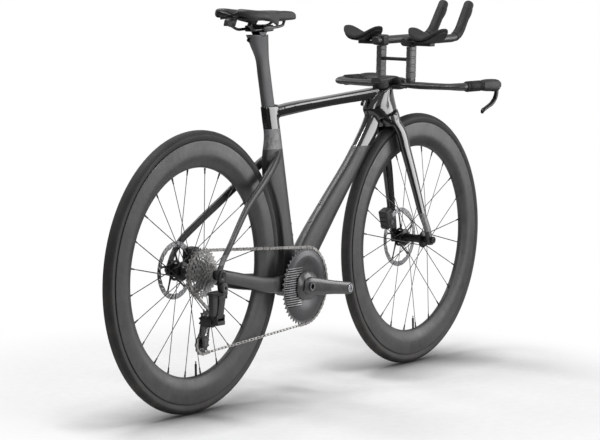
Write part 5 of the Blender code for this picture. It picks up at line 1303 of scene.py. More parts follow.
STEM_SLICES = (
    (0.2905, 0.762, 0.7785, 0.0155),
    (0.305, 0.762, 0.781, 0.019),
    (0.359, 0.7715, 0.783, 0.026),
    (0.37, 0.748, 0.78, 0.03),
    (0.402, 0.748, 0.776, 0.03),
    (0.416, 0.753, 0.769, 0.028),
)
stem_rings = [oval(at(x, 0, (low + high) / 2), Z, Y, (high - low) / 2, half, 48, 3.6)
    for x, low, high, half in eased(STEM_SLICES, 5)]
stem_skin = loft("stem_skin", stem_rings)
unite(stem_skin, rod("stem_collar", steer_point(HEAD_TOP), STEER, 0.0215, 0.0012, 0.02, 64, 0.0006))
slot_rings = [oval(at(0.3865, y, 0.759), X, Z, 0.0255, 0.0075, 40, 2.2) for y in (-0.05, 0.05)]
stem_cuts = [loft("bar_slot", slot_rings), rod("stem_bore", steer_point(HEAD_TOP), STEER, 0.0149, -0.05,
    0.0262, 48)]
stem_cuts.append(block("cap_seam", (0.412, -0.05, 0.7586), (0.43, 0.05, 0.7594)))
cut(stem_skin, *stem_cuts)
dress(bevelled(stem_skin, 0.0003, 2, 45), SATIN_CARBON, BARS, "satin_carbon", "stem")
stem_screws = []
for y in (-0.021, 0.021):
    for x in (0.4065, 0.372):
        stem_screws.append(cap_screw("cap_screw", at(x, y, 0.749), -Z, 0.0029, 0.0014, -0.003))
stem_screws.append(cap_screw("top_screw", steer_point(0.7806), STEER, 0.005, 0.001, -0.003))
dress(joined("stem_screws", stem_screws), DARK_STEEL, BARS, "steel")

# %% [markdown]
# Grips are rubber sleeves with raised ribs. A rib is one ring, and a small node tree sets out the row of
# them along a straight line or a curve, square to its direction: count and size are named inputs.


# %% The rib tree and the grips
def ribs_tree():
    inputs = (("Count", "Int", 12), ("Radius", "Float", 0.014), ("Thickness", "Float", 0.0008))
    graph, given = geometry_tree("ribs_along_line", *inputs)
    line = graph.node("GeometryNodeMeshToCurve", {0: given["Geometry"]})
    points = graph.wires(graph.node("GeometryNodeCurveToPoints", {"Curve": line, "Count": given["Count"]}))
    big = graph.node("GeometryNodeCurvePrimitiveCircle", {"Resolution": 40, "Radius": given["Radius"]})
    small = graph.node("GeometryNodeCurvePrimitiveCircle", {"Resolution": 8, "Radius": given["Thickness"]})
    rib = graph.node("GeometryNodeCurveToMesh", {"Curve": big, "Profile Curve": small})
    values = {"Points": points["Points"], "Instance": rib, "Rotation": points["Rotation"]}
    return finished(graph, graph.node("GeometryNodeInstanceOnPoints", values), given)


RIBS = ribs_tree()


def ribs_along(name, path, count, radius, thickness, finish):
    mesh = bmesh.new()
    points = [mesh.verts.new(place) for place in path]
    for low, high in zip(points, points[1:]):
        mesh.edges.new((low, high))
    return grown(piece_from(mesh, name), RIBS, Count=count, Radius=radius, Thickness=thickness, Finish=finish)


def sleeve_rings(start, finish, radii):
    """Rings square to a straight line, with radii spread evenly along it."""
    rings = []
    axis = (finish - start).normalized()
    side = axis.cross(Z).normalized()
    for step, radius in enumerate(radii):
        place = start.lerp(finish, step / (len(radii) - 1))
        rings.append(oval(place, side, side.cross(axis), radius, radius))
    return rings


for hand, side in SIDES:
    grip_start = at(0.429, side * 0.19, 0.7598)
    grip_end = at(0.5075, side * 0.19, 0.7605)
    radii = [0.0121] + [0.0128 + 0.001 * sin(pi * step / 14) for step in range(15)] + [0.0121]
    grip = loft(f"base_grip_skin_{hand}", sleeve_rings(grip_start, grip_end, radii))
    axis = (grip_end - grip_start).normalized()
    cut(grip, rod("grip_bore", grip_start, axis, 0.011, -0.02, 0.12, 48))
    dress(grip, GRIP_RUBBER, BARS, "grip_rubber", f"base_grip_{hand}")
    rib_path = [grip_start.lerp(grip_end, share) for share in (0.1, 0.9)]
    ribs = ribs_along(f"base_grip_ribs_{hand}", rib_path, 15, 0.0136, 0.0007, GRIP_RUBBER)
    dress(ribs, GRIP_RUBBER, BARS, "grip_rubber")

# %% [markdown]
# The brake lever body is a soft hood over a hard core, boxed at the front, with a shift button on its
# inner face. The blade hangs on a cross pin and sweeps down and back, where a finger pulls it.


# %% Brake levers
HOOD_SLICES = ((0.509, 0.7605, 0.013, 0.013), (0.525, 0.7605, 0.015, 0.014), (0.56, 0.76, 0.0165, 0.014),
    (0.59, 0.759, 0.015, 0.013), (0.6035, 0.76, 0.0085, 0.009))
BLADE_ROWS = (
    (0.5925, 0.756, 0.012, 0.0096),
    (0.594, 0.745, 0.013, 0.0096),
    (0.5895, 0.729, 0.012, 0.0112),
    (0.576, 0.715, 0.0105, 0.0125),
    (0.54, 0.7, 0.0085, 0.012),
    (0.523, 0.693, 0.0085, 0.011),
    (0.5195, 0.687, 0.006, 0.007),
)
for hand, side in SIDES:
    y = side * 0.19
    hood = loft(f"hood_{hand}", [oval(at(x, y, z), Z, Y, tall, wide, 40, 2.9)
        for x, z, tall, wide in eased(HOOD_SLICES, 5)])
    pivot = at(0.59, y, 0.7535)
    hood_cuts = [block("blade_slot", (0.573, y - 0.0062, 0.735), (0.615, y + 0.0062, 0.7592)),
        rod("pin_hole", pivot, Y, 0.0025, -0.03, 0.03)]
    hood_cuts.append(rod("button_seat", at(0.523, y, 0.7605), Y * -side, 0.0068, 0.0128, 0.03, 40))
    cut(hood, *hood_cuts)
    dress(bevelled(hood, 0.0005, 2, 45), HOOD_RUBBER, BARS, "grip_rubber", f"lever_body_{hand}")
    button = turned(f"shift_button_{hand}", [(0, 0.01), (0.0058, 0.01), (0.006, 0.016), (0.0054, 0.0172),
        (0.003, 0.0166), (0, 0.0164)], at(0.523, y, 0.7605), Y * -side, 48)
    seam = rod("hood_seam", at(0.5072, y, 0.7605), X, 0.0135, 0, 0.002, 48, 0.0004)
    dress(joined(f"hood_trim_{hand}", [button, seam]), MATT_BLACK, BARS, "matt_black")
    blade_rows = eased(BLADE_ROWS, 6)
    blade_path = [at(x, y, z) for x, z, tall, wide in blade_rows]
    blade = loft(f"blade_{hand}", tube_rings(blade_path, [r[2] for r in blade_rows],
        [r[3] for r in blade_rows], 28, 2.5, up=X))
    unite(blade, rod("lever_hub", pivot, Y, 0.0048, -0.0049, 0.0049, 40))
    cut(blade, rod("blade_hollow", at(0.5815, y, 0.7248), Y, 0.003, -0.02, 0.02, 32))
    dress(blade, ANODISED, f"brake_lever_{hand}", "anodised_black", f"brake_lever_{hand}")
    pin = turned(f"lever_pin_{hand}", [(0, -0.0125), (0.0012, -0.0125), (0.0012, -0.0122), (0.0021, -0.0122),
        (0.0021, 0.0122), (0.0012, 0.0125), (0, 0.0125)], pivot, Y, 32)
    dress(pin, DARK_STEEL, f"brake_lever_{hand}", "anodised_black", f"brake_lever_{hand}")

# %% [markdown]
# Above the stem stand two stacks of flat spacers, which set the rider's height. Each spacer is 6 to 15 mm
# thick, so the column shows level seams. Clamps on top hold the extension bars and carry the arm rests.


# %% Risers, clamps and extension bars
for hand, side in SIDES:
    y = side * 0.0465
    levels = [0.7775, 0.7925, 0.8075, 0.8135, 0.8285, 0.8345, 0.8495, 0.86]
    profile_rings = []
    for low, high in zip(levels, levels[1:]):
        for z, narrow in ((low + 0.0002, 0.0014), (low + 0.0008, 0.0), (high - 0.0008, 0.0),
                (high - 0.0002, 0.0014)):
            profile_rings.append(oval(at(0.387, y, z), X, Y, 0.018 - narrow, 0.0078 - narrow, 48, 3.4))
    column = loft(f"riser_column_{hand}", profile_rings)
    foot = block("riser_foot", (0.374, y - 0.0072, 0.7668), (0.4, y + 0.0072, 0.7785), 0.0015)
    unite(column, foot)
    inner = y - side * 0.0095
    cut(column, block("brace_notch", (0.378, inner - 0.0035, 0.8213), (0.392, inner + 0.0035, 0.8307)))
    dress(column, RISER_GREY, BARS, "satin_carbon", f"riser_{hand}")
    bolts = [cap_screw("riser_bolt", at(x, y + side * 0.0072, 0.7725), Y * side, 0.0024, 0.001, -0.002)
        for x in (0.3775, 0.3965)]
    dress(joined(f"riser_bolts_{hand}", bolts), DARK_STEEL, BARS, "steel")


def extension_line(side):
    """The centre line of an extension bar: straight, then an upward bend to the tip."""
    start = at(0.351, side * 0.045, 0.873)
    straight_end = at(0.59, side * 0.044, 0.879)
    tip = at(0.6895, side * 0.0403, 0.9685)
    corner = at(0.628, side * 0.0425, 0.88)
    bend_end = corner.lerp(tip, 0.33)
    points = [start, start.lerp(straight_end, 0.5), start.lerp(straight_end, 0.9)]
    for step in range(17):
        share = step / 16
        one = straight_end.lerp(corner, share)
        two = corner.lerp(bend_end, share)
        points.append(one.lerp(two, share))
    for share in (0.25, 0.5, 0.75, 1.0):
        points.append(bend_end.lerp(tip, share))
    return points


for hand, side in SIDES:
    path = extension_line(side)
    body = f"extension_{hand}"
    widths = [0.0222] * len(path)
    rings = tube_rings(path, widths, widths, 40)
    first = (path[1] - path[0]).normalized()
    rings.insert(0, [path[0] + (point - path[0]) * 0.9 for point in rings[0]])
    bar = loft(f"extension_bar_{hand}", rings)
    dress(bar, SATIN_CARBON, body, "satin_carbon", f"extension_{hand}")
    cap = turned(f"extension_cap_{hand}", [(0, -0.0001), (0.01, -0.0001), (0.0106, 0.0004), (0.0106, 0.0014),
        (0.0096, 0.0022), (0.003, 0.0026), (0, 0.0026)], path[0] + first * 0.0012, -first, 48)
    dress(cap, MATT_BLACK, body, "matt_black")
    last = (path[-1] - path[-2]).normalized()
    grip_path = path[8:-1]
    across = [0.025] + [0.0266] * (len(grip_path) - 1)
    for step, wide in ((-0.004, 0.0276), (0.0, 0.0272), (0.003, 0.026), (0.0055, 0.0236), (0.0075, 0.0196),
            (0.0088, 0.014), (0.0093, 0.007)):
        grip_path.append(path[-1] + last * step)
        across.append(wide)
    grip = loft(f"extension_grip_skin_{hand}", tube_rings(grip_path, across, across, 40))
    hollow_path = [path[8] - (path[9] - path[8]).normalized() * 0.01] + path[8:-1] + [path[-1]
        + last * 0.0006]
    full = [0.0228] * len(hollow_path)
    cut(grip, loft("grip_hollow", tube_rings(hollow_path, full, full, 40)))
    dress(grip, GRIP_RUBBER, body, "grip_rubber", f"extension_grip_{hand}")
    ribs = ribs_along(f"extension_grip_ribs_{hand}", path[12:-1], 18, 0.0133, 0.0006, GRIP_RUBBER)
    dress(ribs, GRIP_RUBBER, body, "grip_rubber")
    forward = Y.cross(last).normalized()
    pod_rings = []
    for share, size in ((-0.044, 0.15), (-0.041, 0.45), (-0.034, 0.85), (-0.022, 1.0), (-0.008, 0.95),
            (0.0, 0.7), (0.004, 0.4), (0.0055, 0.15)):
        place = path[-1] + last * share + forward * (0.0105 + 0.0015 * size)
        pod_rings.append(oval(place, forward, Y, 0.0085 * size, 0.0085 * size, 32, 2.6))
    pod = loft(f"shift_pod_{hand}", pod_rings)
    unite(pod, rod("shift_button", path[-1] - last * 0.016 + forward * 0.0195, forward, 0.0046, -0.003,
        0.0016, 32, 0.0006))
    dress(pod, MATT_BLACK, body, "matt_black")

    clamp_y = side * 0.045
    clamp = block(f"clamp_{hand}", (0.369, clamp_y - 0.014, 0.8604), (0.401, clamp_y + 0.014, 0.889), 0.005,
        None, 4)
    axis = (path[2] - path[0]).normalized()
    clamp_cuts = [rod("extension_bore", path[0], axis, 0.0116, -0.05, 0.15, 48)]
    clamp_cuts.append(block("clamp_split", (0.36, clamp_y + side * 0.01 - 0.006, 0.8736),
        (0.41, clamp_y + side * 0.01 + 0.006, 0.8746)))
    cut(clamp, *clamp_cuts)
    dress(bevelled(clamp, 0.0003, 2, 45), MATT_BLACK, BARS, "matt_black", f"extension_clamp_{hand}")
    bolts = []
    for x in (0.3755, 0.3945):
        bolts.append(cap_screw("clamp_bolt", at(x, clamp_y, 0.8884), Z, 0.0028, 0.0006, -0.0015))
        bolts.append(cap_screw("clamp_bolt", at(x, clamp_y + side * 0.0135, 0.869), Y * side, 0.0024, 0.0007,
            -0.0015))
    dress(joined(f"clamp_bolts_{hand}", bolts), DARK_STEEL, BARS, "steel")

brace = block("brace_bar", (0.3783, -0.04, 0.8216), (0.3917, 0.04, 0.8304), 0.0022, None, 3)
dress(brace, MATT_BLACK, BARS, "matt_black", "riser_brace")

# %% [markdown]
# Arm rests are thin cupped plates with thick foam above. The foam is moulded under a glued cover and has
# no folds, so a cloth simulation would add nothing: its section is thinned towards the rim instead, and
# its finish carries the grain of the cover.


# %% Arm rests and pads
def cupped(name, middle, low, thick, length, half, puff):
    """A cup with a rounded outline. The puff rounds its rim, as stuffing does."""
    shares = [sin(pi / 2 * step / 14) for step in range(-14, 15)]
    rings = []
    for step in range(-16, 17):
        t = sin(pi / 2 * step / 16) * 0.9995
        wide = half * (1 - abs(t) ** 2.6) ** (1 / 2.2)
        upper = []
        lower = []
        for share in shares:
            across = wide * share
            rise = 0.032 * (abs(across) / 0.05) ** 2.1 + 0.003 * t * t
            rim = max(1 - abs(t) ** puff, 0.0) * max(1 - abs(share) ** puff, 0.0)
            place = at(0.379 + length / 2 * t, middle + across, low + rise)
            lower.append(place)
            upper.append(place + Z * (thick * (0.16 + 0.84 * sqrt(rim))))
        rings.append(upper + lower[::-1])
    return loft(name, rings)


for hand, side in SIDES:
    middle = side * 0.101
    rest = cupped(f"rest_{hand}", middle, 0.8702, 0.003, 0.09, 0.048, 30)
    near, far = sorted((side * 0.06, side * 0.112))
    unite(rest, block("rest_bracket", (0.372, near, 0.863), (0.398, far, 0.8715), 0.0015))
    dress(bevelled(rest, 0.0005, 2, 40), MATT_BLACK, BARS, "matt_black", f"arm_rest_{hand}")
    pad = cupped(f"pad_{hand}", middle, 0.875, 0.012, 0.096, 0.05, 6)
    dress(pad, PAD_FOAM, BARS, "pad_foam", f"arm_pad_{hand}")

# %% [markdown]
# The seatpost is a wing too, and swells at the top round the cradle in which the saddle clamp rocks.
# Its screw shows at the back. The rails are one bent rod of 7 mm steel, drawn as a
# tube along a path whose corners are small arcs.


# %% Seatpost, clamp and rails
POST_SLICES = ((0.625, 0, 0, 0.0088), (0.72, 0, 0, 0.0088), (0.8, 0, 0, 0.0088),
    (0.84, -0.0005, 0.001, 0.009), (0.872, -0.014, 0.006, 0.0105), (0.899, -0.025, 0.01, 0.013))
post_rings = []
for z, rear_more, front_more, half in eased(POST_SLICES, 8):
    rear, front = post_slice(z)
    post_rings.append(wing((rear + rear_more, 0, z), (front + front_more, 0, z), half))
post = loft("post_wing", post_rings)
post_cuts = [rod("cradle", CLAMP, Y, 0.0203, -0.03, 0.03, 96),
    rod("screw_well", at(-0.276, 0, 0.874), at(-0.45, 0, -0.89), 0.0042, 0.002, 0.02, 32)]
cut(post, *post_cuts)
dress(bevelled(post, 0.0004, 2, 45), POST_GREY, "seatpost", "matt_post", "seatpost")

post_bolt = cap_screw("post_bolt", at(-0.2885, 0, 0.8868), at(-0.92, 0, 0.39).normalized(), 0.0052, 0.0022,
    -0.006, 0.5, 48)
dress(post_bolt, ANODISED, "seatpost", "anodised_black")

clamp_rod = rod("clamp_barrel", CLAMP, Y, 0.0192, -0.0125, 0.0125, 96, 0.0008)
clamp_box = block("clamp_box", CLAMP + at(-0.021, -0.029, -0.0075), CLAMP + at(0.021, 0.029, 0.0075), 0.0024,
    RAIL_TURN, 3)
unite(clamp_rod, clamp_box)
clamp_cuts = [block("clamp_flat", CLAMP + at(-0.03, -0.03, 0.0075), CLAMP + at(0.03, 0.03, 0.03), 0,
    RAIL_TURN)]
for side in (1, -1):
    clamp_cuts.append(rod("rail_hole", CLAMP + Y * (0.022 * side), RAIL_ALONG, 0.0041, -0.05, 0.05, 48))
    clamp_cuts.append(block("jaw_gap", CLAMP + at(-0.03, min(side * 0.0255, side * 0.031), -0.0005),
        CLAMP + at(0.03, max(side * 0.0255, side * 0.031), 0.0005), 0, RAIL_TURN))
cut(clamp_rod, *clamp_cuts)
dress(bevelled(clamp_rod, 0.0003, 2, 45), ANODISED, "saddle_clamp", "anodised_black", "saddle_clamp")
clamp_screws = [cap_screw("clamp_screw", CLAMP + RAIL_TURN @ at(ahead, 0, 0.0072), RAIL_TURN @ Z, 0.0033,
    0.0008, -0.002) for ahead in (-0.0155, 0.0155)]
dress(joined("clamp_screws", clamp_screws), DARK_STEEL, "saddle_clamp", "steel")

RAIL_HALF = [
    at(-0.326, 0.03, 0.9225),
    at(-0.308, 0.024, 0.9125),
    CLAMP + Y * 0.022 - RAIL_ALONG * 0.05,
    CLAMP + Y * 0.022 + RAIL_ALONG * 0.068,
    at(-0.1655, 0.017, 0.93),
    at(-0.157, 0.0125, 0.9335),
    at(-0.15, 0.0, 0.934),
]
rail_points = RAIL_HALF + [at(p.x, -p.y, p.z) for p in RAIL_HALF[-2::-1]]


def rounded_path(points, share=0.35, steps=6):
    """A path whose corners are replaced by short arcs."""
    path = [points[0]]
    for before, corner, after in zip(points, points[1:], points[2:]):
        begin = corner.lerp(before, share)
        finish = corner.lerp(after, share)
        for step in range(steps + 1):
            t = step / steps
            path.append(begin.lerp(corner, t).lerp(corner.lerp(finish, t), t))
    path.append(points[-1])
    return path


rail_path = rounded_path(rail_points)
rails = loft("saddle_rail_rod", tube_rings(rail_path, [0.007] * len(rail_path), [0.007] * len(rail_path), 24,
    up=at(0.0, 0.03, 1.0)))
dress(rails, RAIL_STEEL, "saddle", "steel", "saddle_rails")

# %% [markdown]
# The saddle shell is a moulded wing that carries the padding. The padding is a soft cover over foam:
# crowned wings, a hollow channel for relief, and a rolled edge. It is shaped by a cage of sections and
# one level of subdivision, because its real form is full and taut, with no loose folds to simulate.


# %% Saddle
SHELL_ROWS = (
    (-0.366, 0.03, 0.944, 0.939, 0.002),
    (-0.345, 0.046, 0.942, 0.937, 0.002),
    (-0.31, 0.052, 0.942, 0.9375, 0.002),
    (-0.27, 0.044, 0.94, 0.935, 0.002),
    (-0.23, 0.03, 0.939, 0.9335, 0.002),
    (-0.17, 0.0205, 0.939, 0.934, 0.001),
    (-0.122, 0.014, 0.9395, 0.9355, 0.001),
)
shell_rings = []
for x, half, top, low, drop in eased(SHELL_ROWS, 6):
    spans = [-1 + step / 10 for step in range(21)]
    upper = [at(x, half * share, top - drop * share**2) for share in spans]
    lower = [at(x, -half * share * 0.97, low - drop * share**2 + 0.0025 * (1 - abs(share)))
        for share in spans]
    shell_rings.append(upper + lower)
shell = loft("shell", shell_rings, angle=45)
hook = plate("rear_hook", [(-0.374, 0.94), (-0.383, 0.936), (-0.387, 0.9215), (-0.353, 0.9205),
    (-0.345, 0.937)], -0.0065, 0.0065, 0.0022)
unite(shell, hook)
for side in (1, -1):
    socket_end = at(-0.326, 0.03 * side, 0.9225)
    along = (socket_end - at(-0.308, 0.024 * side, 0.9125)).normalized()
    unite(shell, rod("rail_socket", socket_end, along, 0.005, -0.002, 0.009, 40, 0.0008))
    cut(shell, rod("socket_bore", socket_end, along, 0.004, -0.02, 0.0004, 40))
dress(shell, SHELL_GREY, "saddle", "matt_black", "saddle_shell")

# Rows of x, half width, top height, skirt height, groove depth, notch between the wings.
COVER_ROWS = (
    (-0.376, 0.033, 0.955, 0.949, 0.011, 0.032),
    (-0.373, 0.04, 0.9605, 0.9475, 0.014, 0.03),
    (-0.362, 0.049, 0.963, 0.9435, 0.014, 0.022),
    (-0.345, 0.056, 0.9622, 0.94, 0.012, 0.011),
    (-0.32, 0.0605, 0.9605, 0.94, 0.01, 0.004),
    (-0.295, 0.06, 0.959, 0.9385, 0.009, 0.0),
    (-0.262, 0.051, 0.958, 0.932, 0.0085, 0.0),
    (-0.235, 0.0415, 0.9578, 0.926, 0.0085, 0.0),
    (-0.215, 0.036, 0.9578, 0.9215, 0.0085, 0.0),
    (-0.2075, 0.033, 0.9578, 0.933, 0.0085, 0.0),
    (-0.185, 0.027, 0.9582, 0.935, 0.008, 0.0),
    (-0.15, 0.023, 0.958, 0.9355, 0.006, 0.0),
    (-0.122, 0.0195, 0.9548, 0.9358, 0.003, 0.0),
    (-0.11, 0.015, 0.95, 0.937, 0.001, 0.0),
    (-0.102, 0.008, 0.9475, 0.9395, 0.0, 0.0),
)
cover_rings = []
for x, half, top, low, groove, notch in eased(COVER_ROWS, 5):
    wall = min(0.005, half * 0.4)
    over = []
    under = []
    for step in range(-20, 21):
        share = step / 20
        across = half * sin(share * pi / 2)
        fall = abs(share) ** 3.2
        ahead = notch * max(0.0, 1 - abs(across) / 0.027) ** 1.3
        height = top - (top - low) * (0.3 * fall
            + 0.7 * abs(share) ** 9) - groove * exp(-(across / 0.0105) ** 2)
        over.append(at(x + ahead, across, height))
        inner = (half - wall) * sin(share * pi / 2)
        roof = min(top - 0.0125, 0.947)
        beneath = roof - max(roof - low, 0.0) * abs(share) ** 12
        under.append(at(x + ahead, inner, min(beneath, height - 0.0015)))
    cover_rings.append(over + under[::-1])
pad = loft("saddle_padding", cover_rings, angle=60)
soft = pad.modifiers.new("soft", "SUBSURF")
soft.levels = 1
soft.render_levels = 1
baked(pad, 70)
dress(pad, SADDLE_COVER, "saddle", "saddle_cover", "saddle_pad")

# %% [markdown]
# The chain line is worked out, not drawn: straight spans touch the chainring, the driven cog and the two
# pulleys, and the cage swings until the whole loop is exactly 116 links. The same sums place the solids,
# so teeth and rollers meet here too.


# %% Chain line
CAGE_PIVOT = at(-0.4965, CHAIN_Y, 0.2255)
GUIDE_START = at(-0.478, CHAIN_Y, 0.228)
TENSION_START = at(-0.485, CHAIN_Y, 0.17)


def pitch_radius(teeth):
    return PITCH / (2 * sin(pi / teeth))


def cage_points(swing):
    matrix = Matrix.Rotation(swing, 3, "Y")
    return CAGE_PIVOT + matrix @ (GUIDE_START - CAGE_PIVOT), CAGE_PIVOT + matrix @ (TENSION_START
        - CAGE_PIVOT)


def chain_route(swing):
    """The closed chain line as arcs and spans, each with its length in links."""
    guide, tension = cage_points(swing)
    wheels = (
        (CRANK, RING_TEETH, 1, RING_Y),
        (tension, PULLEY_TEETH, 1, CHAIN_Y),
        (guide, PULLEY_TEETH, -1, CHAIN_Y),
        (REAR_AXLE, COG_TEETH[DRIVEN_COG], 1, CHAIN_Y),
    )
    touches = []
    for here in range(4):
        centre_a, teeth_a, sign_a, _ = wheels[here]
        centre_b, teeth_b, sign_b, _ = wheels[(here + 1) % 4]
        across = centre_b.x - centre_a.x
        rise = centre_b.z - centre_a.z
        offset = pitch_radius(teeth_a) * sign_a - pitch_radius(teeth_b) * sign_b
        span = sqrt(across * across + rise * rise - offset * offset)
        normal = atan2(rise, across) - atan2(offset, span) + pi / 2
        touches.append((normal if sign_a > 0 else normal + pi, normal if sign_b > 0 else normal + pi))
    route = []
    for here in range(4):
        centre, teeth, sign, y = wheels[here]
        arrive = touches[here - 1][1]
        leave, next_arrive = touches[here]
        sweep = ((arrive - leave) * sign) % (2 * pi)
        route.append(("arc", centre, teeth, sign, y, arrive, sweep * teeth / (2 * pi)))
        centre_b, teeth_b, _, y_b = wheels[(here + 1) % 4]
        radius_a, radius_b = pitch_radius(teeth), pitch_radius(teeth_b)
        begin = at(centre.x + radius_a * cos(leave), y, centre.z + radius_a * sin(leave))
        finish = at(centre_b.x + radius_b * cos(next_arrive), y_b, centre_b.z + radius_b * sin(next_arrive))
        route.append(("span", begin, finish, (finish - begin).length / PITCH))
    return route


def links_in(route):
    return sum(piece[-1] for piece in route)


def solved_swing():
    low, high = radians(-25), radians(25)
    rising = links_in(chain_route(high)) > links_in(chain_route(low))
    for _ in range(50):
        middle = (low + high) / 2
        if (links_in(chain_route(middle)) > CHAIN_LINKS) == rising:
            high = middle
        else:
            low = middle
    return (low + high) / 2


def route_point(route, count):
    """The place of a roller, a number of links along the route."""
    count %= CHAIN_LINKS
    for piece in route:
        if count <= piece[-1]:
            break
        count -= piece[-1]
    if piece[0] == "span":
        _, begin, finish, length = piece
        place = begin.lerp(finish, count / length)
        share = min(max((count / length - SPAN_STRAIGHT) / (1 - 2 * SPAN_STRAIGHT), 0), 1)
        place.y = begin.y + (finish.y - begin.y) * share
        return place
    _, centre, teeth, sign, y, arrive, _ = piece
    turn = arrive - sign * 2 * pi * count / teeth
    return at(centre.x + pitch_radius(teeth) * cos(turn), y, centre.z + pitch_radius(teeth) * sin(turn))


def roller_phase(route, index):
    before = sum(piece[-1] for piece in route[:index])
    _, _, teeth, sign, _, arrive, _ = route[index]
    return arrive - sign * 2 * pi * (ceil(before) - before) / teeth


CAGE_SWING = solved_swing()
ROUTE = chain_route(CAGE_SWING)
GUIDE, TENSION = cage_points(CAGE_SWING)
print("cage swing", round(degrees(CAGE_SWING), 2), "degrees, links", round(links_in(ROUTE), 3))

# %% [markdown]
# A chain is two parts in turn. Inner links have two waisted plates pressed on bushes, outer links sit
# over them on pins. Each is modelled once, along X, and a node tree puts them on the roller points: odd
# points take the inner link and even ones the outer, each turned to face its next roller. The chain is
# four runs: the upper one with the ring and the cog stays with the frame, the links on the pulleys ride on
# the cage, and the run on each side of the pulleys stays in world space, on neither body.


# %% The chain
def round_ended(length, radius, waist, steps):
    """The outline of a link: two round ends, and a waist between them."""
    outline = []
    for end, begin, middle in ((0, pi / 2, -waist), (length, -pi / 2, waist)):
        for step in range(steps + 1):
            turn = begin + pi * step / steps
            outline.append((end + radius * cos(turn), radius * sin(turn)))
        outline.append((length / 2, middle))
    return outline


def link(name, y, waist, roller, half):
    """Two plates, and the bush or pin that each end turns on."""
    outline = round_ended(PITCH, 0.0039, waist, 8)
    plates = [plate("link_plate", outline, side * y - 0.00035, side * y + 0.00035) for side in (1, -1)]
    pins = [rod("pin", at(x, 0, 0), Y, roller, -half, half, 12) for x in (0, PITCH)]
    return joined(name, plates + pins)


inner_link = link("inner_link", 0.00155, 0.003, 0.0027, 0.0011)
outer_link = link("outer_link", 0.00235, 0.0027, 0.0014, 0.0028)


def chain_tree():
    graph, given = geometry_tree("chain_links", ("Inner link", "Object", None),
        ("Outer link", "Object", None))
    points = graph.node("GeometryNodeMeshToPoints", {0: given["Geometry"]})
    stored = [graph.node("GeometryNodeInputNamedAttribute", {"Name": name},
        data_type=kind).outputs["Attribute"] for name, kind in (("ahead", "FLOAT_VECTOR"), ("odd", "FLOAT"))]
    ahead, odd = stored
    along = graph.node("FunctionNodeAlignRotationToVector", {"Vector": ahead}, axis="X", pivot_axis="AUTO")
    both = graph.node("GeometryNodeJoinGeometry")
    for label, chosen in (("Inner link", odd), ("Outer link", graph.maths("SUBTRACT", 1.0, odd))):
        shape = graph.node("GeometryNodeObjectInfo", {0: given[label]}).outputs["Geometry"]
        values = {"Points": points, "Instance": shape, "Rotation": along, "Selection": chosen}
        graph.feed(graph.node("GeometryNodeInstanceOnPoints", values), both.inputs[0])
    return finished(graph, both, given)


CHAIN_LINK_TREE = chain_tree()


def chain_run(name, numbers, body, *nodes, bend=()):
    """The links that start at these rollers, on one body, or left in world space when bend is given."""
    data = bpy.data.meshes.new(name)
    data.from_pydata([route_point(ROUTE, number) for number in numbers], [], [])
    data.attributes.new("ahead", "FLOAT_VECTOR", "POINT")
    data.attributes.new("odd", "FLOAT", "POINT")
    for spot, number in enumerate(numbers):
        data.attributes["ahead"].data[spot].vector = (route_point(ROUTE, number + 1) - route_point(ROUTE,
            number)).normalized()
        data.attributes["odd"].data[spot].value = number % 2
    item = bpy.data.objects.new(name, data)
    bpy.context.scene.collection.objects.link(item)
    grown(item, CHAIN_LINK_TREE, Inner_link=inner_link, Outer_link=outer_link, Finish=CHAIN_STEEL)
    return dress(item, CHAIN_STEEL, body, "chain_steel", *nodes, bend=bend)


RING_EXIT, CAGE_ENTRY, CAGE_EXIT, COG_ENTRY = [ceil(sum(part[-1] for part in ROUTE[:count]))
    for count in (1, 2, 5, 6)]
KNUCKLE_TO_CAGE = ("derailleur_knuckle", "derailleur_cage")
chain_run("chain_piece", [*range(RING_EXIT), *range(COG_ENTRY, CHAIN_LINKS)], "frame", "chain")
chain_run("chain_lower_run", range(RING_EXIT, CAGE_ENTRY), KNUCKLE_TO_CAGE,
    bend=(route_point(ROUTE, CAGE_ENTRY - 10), route_point(ROUTE, CAGE_ENTRY)))
chain_run("chain_on_pulleys", range(CAGE_ENTRY, CAGE_EXIT), "derailleur_cage")
chain_run("chain_to_cogs", range(CAGE_EXIT, COG_ENTRY), KNUCKLE_TO_CAGE,
    bend=(route_point(ROUTE, COG_ENTRY), route_point(ROUTE, CAGE_EXIT)))
for shape in (inner_link, outer_link):
    bpy.data.objects.remove(shape, do_unlink=True)
print("links:", RING_EXIT, CAGE_ENTRY, CAGE_EXIT, COG_ENTRY, CHAIN_LINKS)

# %% [markdown]
# Every toothed wheel is drawn by one outline. A tooth rises from a round gap the size of a roller to a
# narrow flat tip, so the same function makes cogs, chainring and pulleys. The larger cogs are pierced
# between their arms, and each sits one step further in than the last.


# %% Toothed wheels
def toothed(centre, teeth, phase, tip=0.0022):
    """A sprocket outline with round gaps for the rollers and narrow flat tips."""
    radius = pitch_radius(teeth)
    half = pi / teeth
    low, high, top = radius - 0.0041, radius - 0.001, radius + tip
    shape = ((-1.0, low), (-0.62, low + 0.0003), (-0.4, high), (-0.22, radius + 0.0009), (-0.09, top),
        (0.09, top), (0.22, radius + 0.0009), (0.4, high), (0.62, low + 0.0003))
    points = []
    for number in range(teeth):
        middle = phase + 2 * half * (number + 0.5)
        for share, reach in shape:
            turn = middle + share * half
            points.append((centre.x + reach * cos(turn), centre.z + reach * sin(turn)))
    return points


